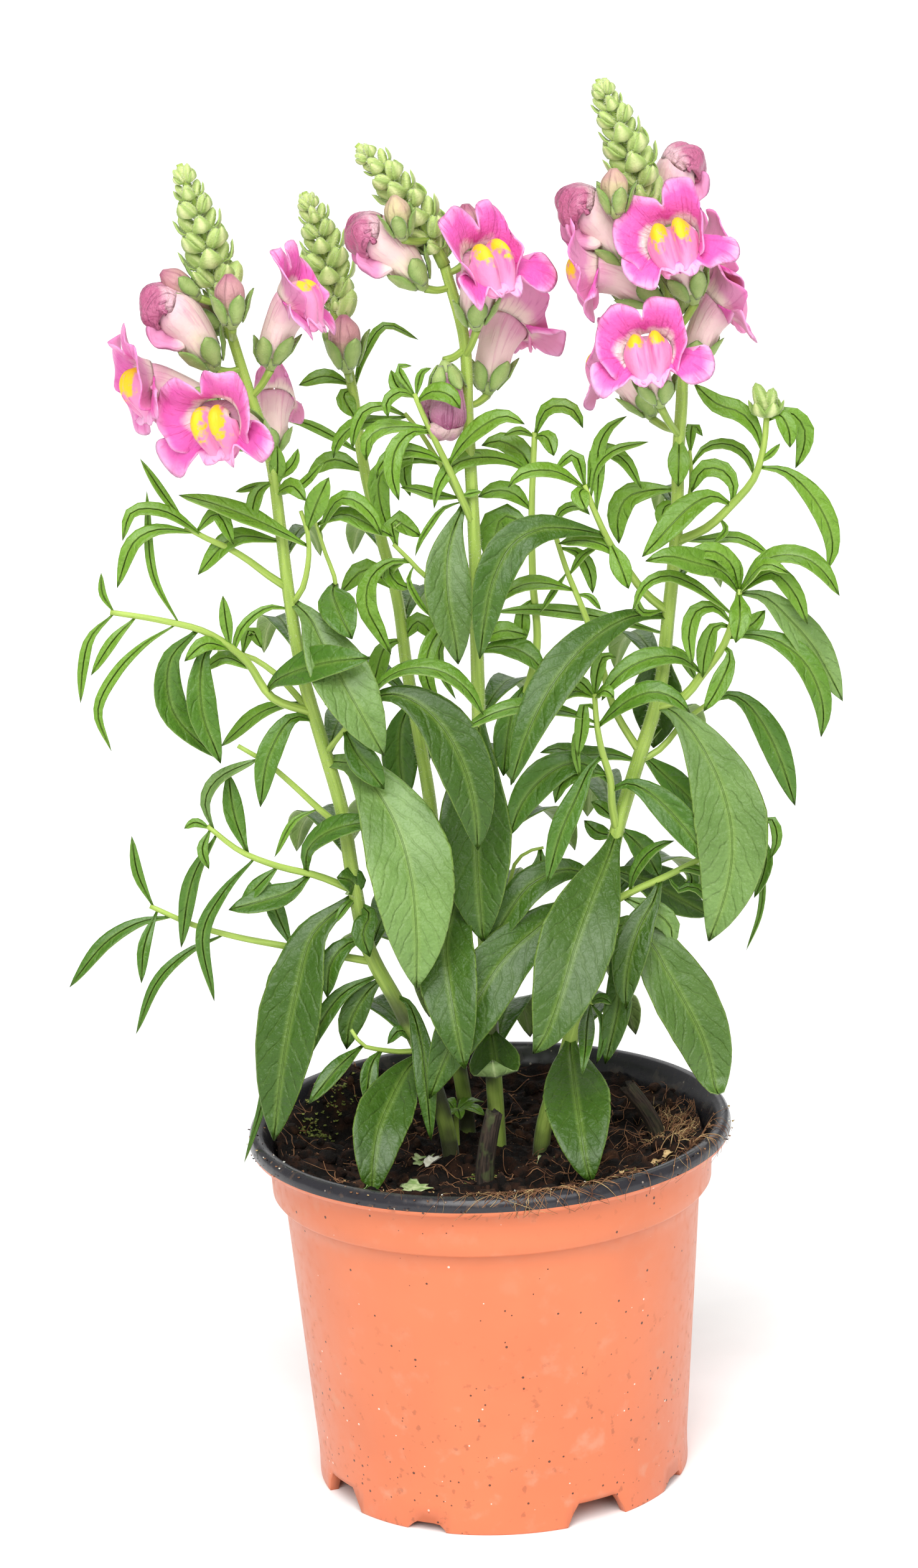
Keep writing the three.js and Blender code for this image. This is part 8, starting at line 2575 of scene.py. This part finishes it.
    def add_fibres(self, skin: Skin) -> None:
        """Scatters thin root fibres over the soil. Args: skin, the soil's."""
        draw = np.random.default_rng(self.seed + 1)
        for _ in range(self.fibres):
            radius = self.edge * math.sqrt(draw.uniform(0.05, 0.97))
            angle = draw.uniform(0, 2 * math.pi)
            heading = draw.uniform(0, 2 * math.pi)
            step = draw.uniform(1.2, 3.2)
            at = np.array([math.cos(angle) * radius, math.sin(angle) * radius])
            places = []
            for _ in range(6):
                heading += draw.normal(0, 0.5)
                at = at + step * np.array([math.cos(heading), math.sin(heading)])
                reach = float(np.linalg.norm(at))
                if reach > self.edge - 0.5:
                    at = at * (self.edge - 0.5) / reach
                places.append(self.on_top(*at, draw.uniform(0.1, 1.2)))
            add_fibre(skin, places, draw.uniform(0.07, 0.2), self.FIBRE)


def add_flake(
    skin: Skin,
    centre: Array,
    length: float,
    width: float,
    turn: float,
    curl: float,
    ragged: float,
    finish: int,
    draw: np.random.Generator,
) -> None:
    """Adds a thin dry flake that lies on the soil.

    Args:
        skin: The piece that it belongs to.
        centre: Its middle.
        length: Its length in mm.
        width: Its width in mm.
        turn: The bearing of its length, in degrees.
        curl: How far its rim lifts, in mm.
        ragged: How uneven its rim is.
        finish: Its material.
        draw: The seeded source of its unevenness.
    """
    angles = ring_angles(22 if length > 2 else 8)
    waves = np.sin(3 * angles + draw.uniform(0, 6)) + np.sin(7 * angles + draw.uniform(0, 6))
    bite = 1 + ragged * waves / 1.6
    along, aside = np.cos(angles) * length / 2 * bite, np.sin(angles) * width / 2 * bite
    heading = math.radians(turn)
    x = along * math.cos(heading) - aside * math.sin(heading)
    y = along * math.sin(heading) + aside * math.cos(heading)
    rings = []
    rows = (0.03, -0.15), (0.5, -0.15), (0.85, -0.1), (1.0, 0.0), (0.85, 0.1), (0.5, 0.15), (0.03, 0.15)
    for share, height in rows if length > 2 else rows[::3]:
        lift = curl * (share * aside / max(width, 0.1) * 2) ** 2 + height
        lift = lift + 0.15 * np.sin(5 * angles) * share
        rings.append(centre + np.column_stack([x * share, y * share, lift]))
    skin.tube(np.stack(rings), finish)


def add_fibre(skin: Skin, places: Sequence[Sequence[float]], thick: float, finish: int) -> None:
    """Adds one thin root fibre. Args: skin, its places in mm, its radius and its material."""
    shares = np.linspace(0, 1, 12)
    radius = thick * (1 - 0.6 * shares)[:, None]
    skin.tube(rings_round(ring_frames(SmoothLine(places), shares, UP), ring_angles(4), radius), finish)


@dataclass
class WoodyStub:
    """A dry stub of an older stem, broken off slanting."""

    name: str
    places: tuple[tuple[float, float, float], ...]
    radii: tuple[float, float]
    film: float

    def build(self, palette: Palette) -> bpy.types.Object:
        """Makes the stub. Args: palette, the materials. Returns: the finished piece."""
        skin = Skin("dressed_" + self.name)
        line = SmoothLine(self.places)
        shares = np.concatenate([np.linspace(0, 0.97, 22), [0.985, 1.0]])
        angles = ring_angles(20)
        radius = (self.radii[0] + (self.radii[1] - self.radii[0]) * shares)[:, None]
        rough = lumps(side_by_side(np.cos(angles) * 2, np.sin(angles) * 2, 0.0), 1.2, 3)
        rings = rings_round(ring_frames(line, shares, FRONT), angles, radius * (0.94 + 0.09 * rough))
        jag = 0.9 * np.sin(3 * angles + 1) + 0.5 * np.sin(7 * angles)
        rings[-1] += line.tangents(np.array([1.0])) * (jag - 1.2)[:, None]
        rings[-2] += line.tangents(np.array([1.0])) * (jag - 1.3)[:, None]
        place = side_by_side(angles * 2.5, (shares * line.length)[:, None], 0.0)
        skin.tube(rings, 0, place, self.film)
        return place_piece(skin.build(palette.materials([BARK])), "dry_wood", self.name)


STUBS = (
    WoodyStub(
        "woody_stub_front", ((-2, -25, 76), (-2, -25, 92), (-0.5, -24.5, 102), (1.5, -23.5, 110)),
        radii=(2.9, 2.4), film=0.8,
    ),
    WoodyStub(
        "woody_stub_right", ((45, 3, 76), (45, 3, 92), (42.4, 2.4, 98.5), (37, 1.6, 107)),
        radii=(2.6, 2.2), film=0.2,
    ),
)


@dataclass
class Seedling:
    """A small rosette of young leaves that has come up in the soil."""

    place: tuple[float, float] = (-9.0, 7.0)
    height: float = 10.0
    root: float = 8.0
    leaves: tuple[tuple[float, float], ...] = ((-80, 10), (-150, 9), (10, 7), (60, 9), (130, 10), (-25, 8))

    def build(self, palette: Palette) -> bpy.types.Object:
        """Makes the seedling. Args: palette, the materials. Returns: the finished piece."""
        skin = Skin("dressed_seedling")
        foot = np.array([*self.place, SOIL_LEVEL - self.root])
        crown = np.array([*self.place, SOIL_LEVEL + self.height])
        add_stalk(skin, SmoothLine([foot, (foot + crown) / 2, crown]), (0.8, 0.7), 2, (0.2, 0.0))
        for bearing, length in self.leaves:
            out = bearing_vector(bearing)
            line = SmoothLine(
                [crown - UP * 1.2, crown + out * length * 0.5 + UP * 0.8, crown + out * length - UP * 0.8]
            )
            blade = LeafBlade(line, length * 0.55, facing_up, 0.1, bearing / 40, thickness=0.4)
            blade.add_to(skin, (0, 1))
        made = skin.build(palette.materials((LEAF_TOP, LEAF_BACK, STALK)))
        return place_piece(made, "seedling_green", "seedling")


# ------------------------------------------------------------------ studio


@dataclass
class Studio:
    """A pale floor, soft lamps and the camera."""

    floor_half: float = 9.0
    sky_strength: float = 0.38
    floor_colour: PlainMatt = PlainMatt("pale studio floor", roughness=0.9, low="#f6f6f5", height=0.0)
    # Each lamp's name, the direction it stands in, its strength, and how wide its light is in degrees.
    lamps: tuple[tuple[str, tuple[float, float, float], float, float], ...] = (
        ("left panel", (-0.25, -0.87, 0.72), 1.68, 34.0),
        ("right panel", (0.34, -0.83, 0.7), 1.14, 36.0),
        ("top panel", (-0.05, -0.45, 0.95), 1.15, 26.0),
        ("back panel", (0.1, 0.8, 0.9), 0.9, 60.0),
    )

    def build(self) -> None:
        """Makes the floor, the lamps and the camera."""
        self.add_floor()
        for lamp in self.lamps:
            self.add_lamp(*lamp)
        self.add_world()
        self.add_camera()

    def add_floor(self) -> None:
        """Makes the floor that the pot stands on."""
        half = self.floor_half
        places = [(-half, -half, 0), (half, -half, 0), (half, half, 0), (-half, half, 0)]
        mesh = bpy.data.meshes.new("studio_floor")
        mesh.from_pydata(places, [], [(0, 1, 2, 3)])
        mesh.materials.append(self.floor_colour.build())
        linked("studio_floor", mesh)

    @staticmethod
    def add_lamp(name: str, stands: tuple[float, float, float], strength: float, width: float) -> None:
        """Adds a wide far panel of light. Args: its name, direction, strength and width in degrees."""
        lamp = bpy.data.lights.new(name, "SUN")
        lamp.energy, lamp.angle = strength, math.radians(width)
        linked(name, lamp).rotation_euler = (-Vector(stands)).to_track_quat("-Z", "Y").to_euler()

    def add_world(self) -> None:
        """Makes the even white light all round."""
        world = bpy.data.worlds.new("studio")
        world.use_nodes = True
        background = world.node_tree.nodes["Background"]
        background.inputs[0].default_value = (1.0, 1.0, 1.0, 1.0)
        background.inputs[1].default_value = self.sky_strength
        bpy.context.scene.world = world
        bpy.context.scene.view_settings.view_transform = "Standard"

    @staticmethod
    def add_camera() -> None:
        """Stands the camera at the eye, looking a little down on the plant."""
        level_reach = math.cos(PITCH_DOWN)
        ahead = Vector((math.sin(YAW) * level_reach, math.cos(YAW) * level_reach, -math.sin(PITCH_DOWN)))
        level = Vector((math.cos(YAW), -math.sin(YAW), 0.0))
        above = level.cross(ahead)
        right = math.cos(ROLL) * level + math.sin(ROLL) * above
        top = -math.sin(ROLL) * level + math.cos(ROLL) * above
        camera = bpy.data.cameras.new("camera")
        camera.lens, camera.sensor_width = LENS, SENSOR
        made = linked("camera", camera)
        turn = Matrix((right, top, -ahead)).transposed().to_4x4()
        made.matrix_world = Matrix.Translation(Vector(EYE * MM)) @ turn
        bpy.context.scene.camera = made


# ------------------------------------------------------------------ making it


def main() -> None:
    """Builds the whole plant in its pot, and the studio round it."""
    logging.basicConfig(level=logging.INFO, format="%(message)s")
    palette = Palette()
    Studio().build()
    plans = (LEFT, BACK_LEFT, MIDDLE, RIGHT)
    stems = {plan.node: LeafyStem(plan, 11 + order) for order, plan in enumerate(plans)}
    for stem in stems.values():
        stem.add_shoots()
        stem.add_leaves()
        stem.add_spike()
        stem.add_stem_fur()
    stems[RIGHT.node].add_shoot_buds(SHOOT_BUDS)
    for name, kind, plan, *stance in FLOWERS:
        flower = Flower(name, kind, stems[plan.node], *stance, POSES.get(name, Pose()))
        flower.add_cup()
        flower.build(palette)
    for stem in stems.values():
        stem.build(palette)
    Pot().build(palette)
    Soil().build(palette)
    for stub in STUBS:
        stub.build(palette)
    Seedling().build(palette)


if __name__ == "__main__":
    main()
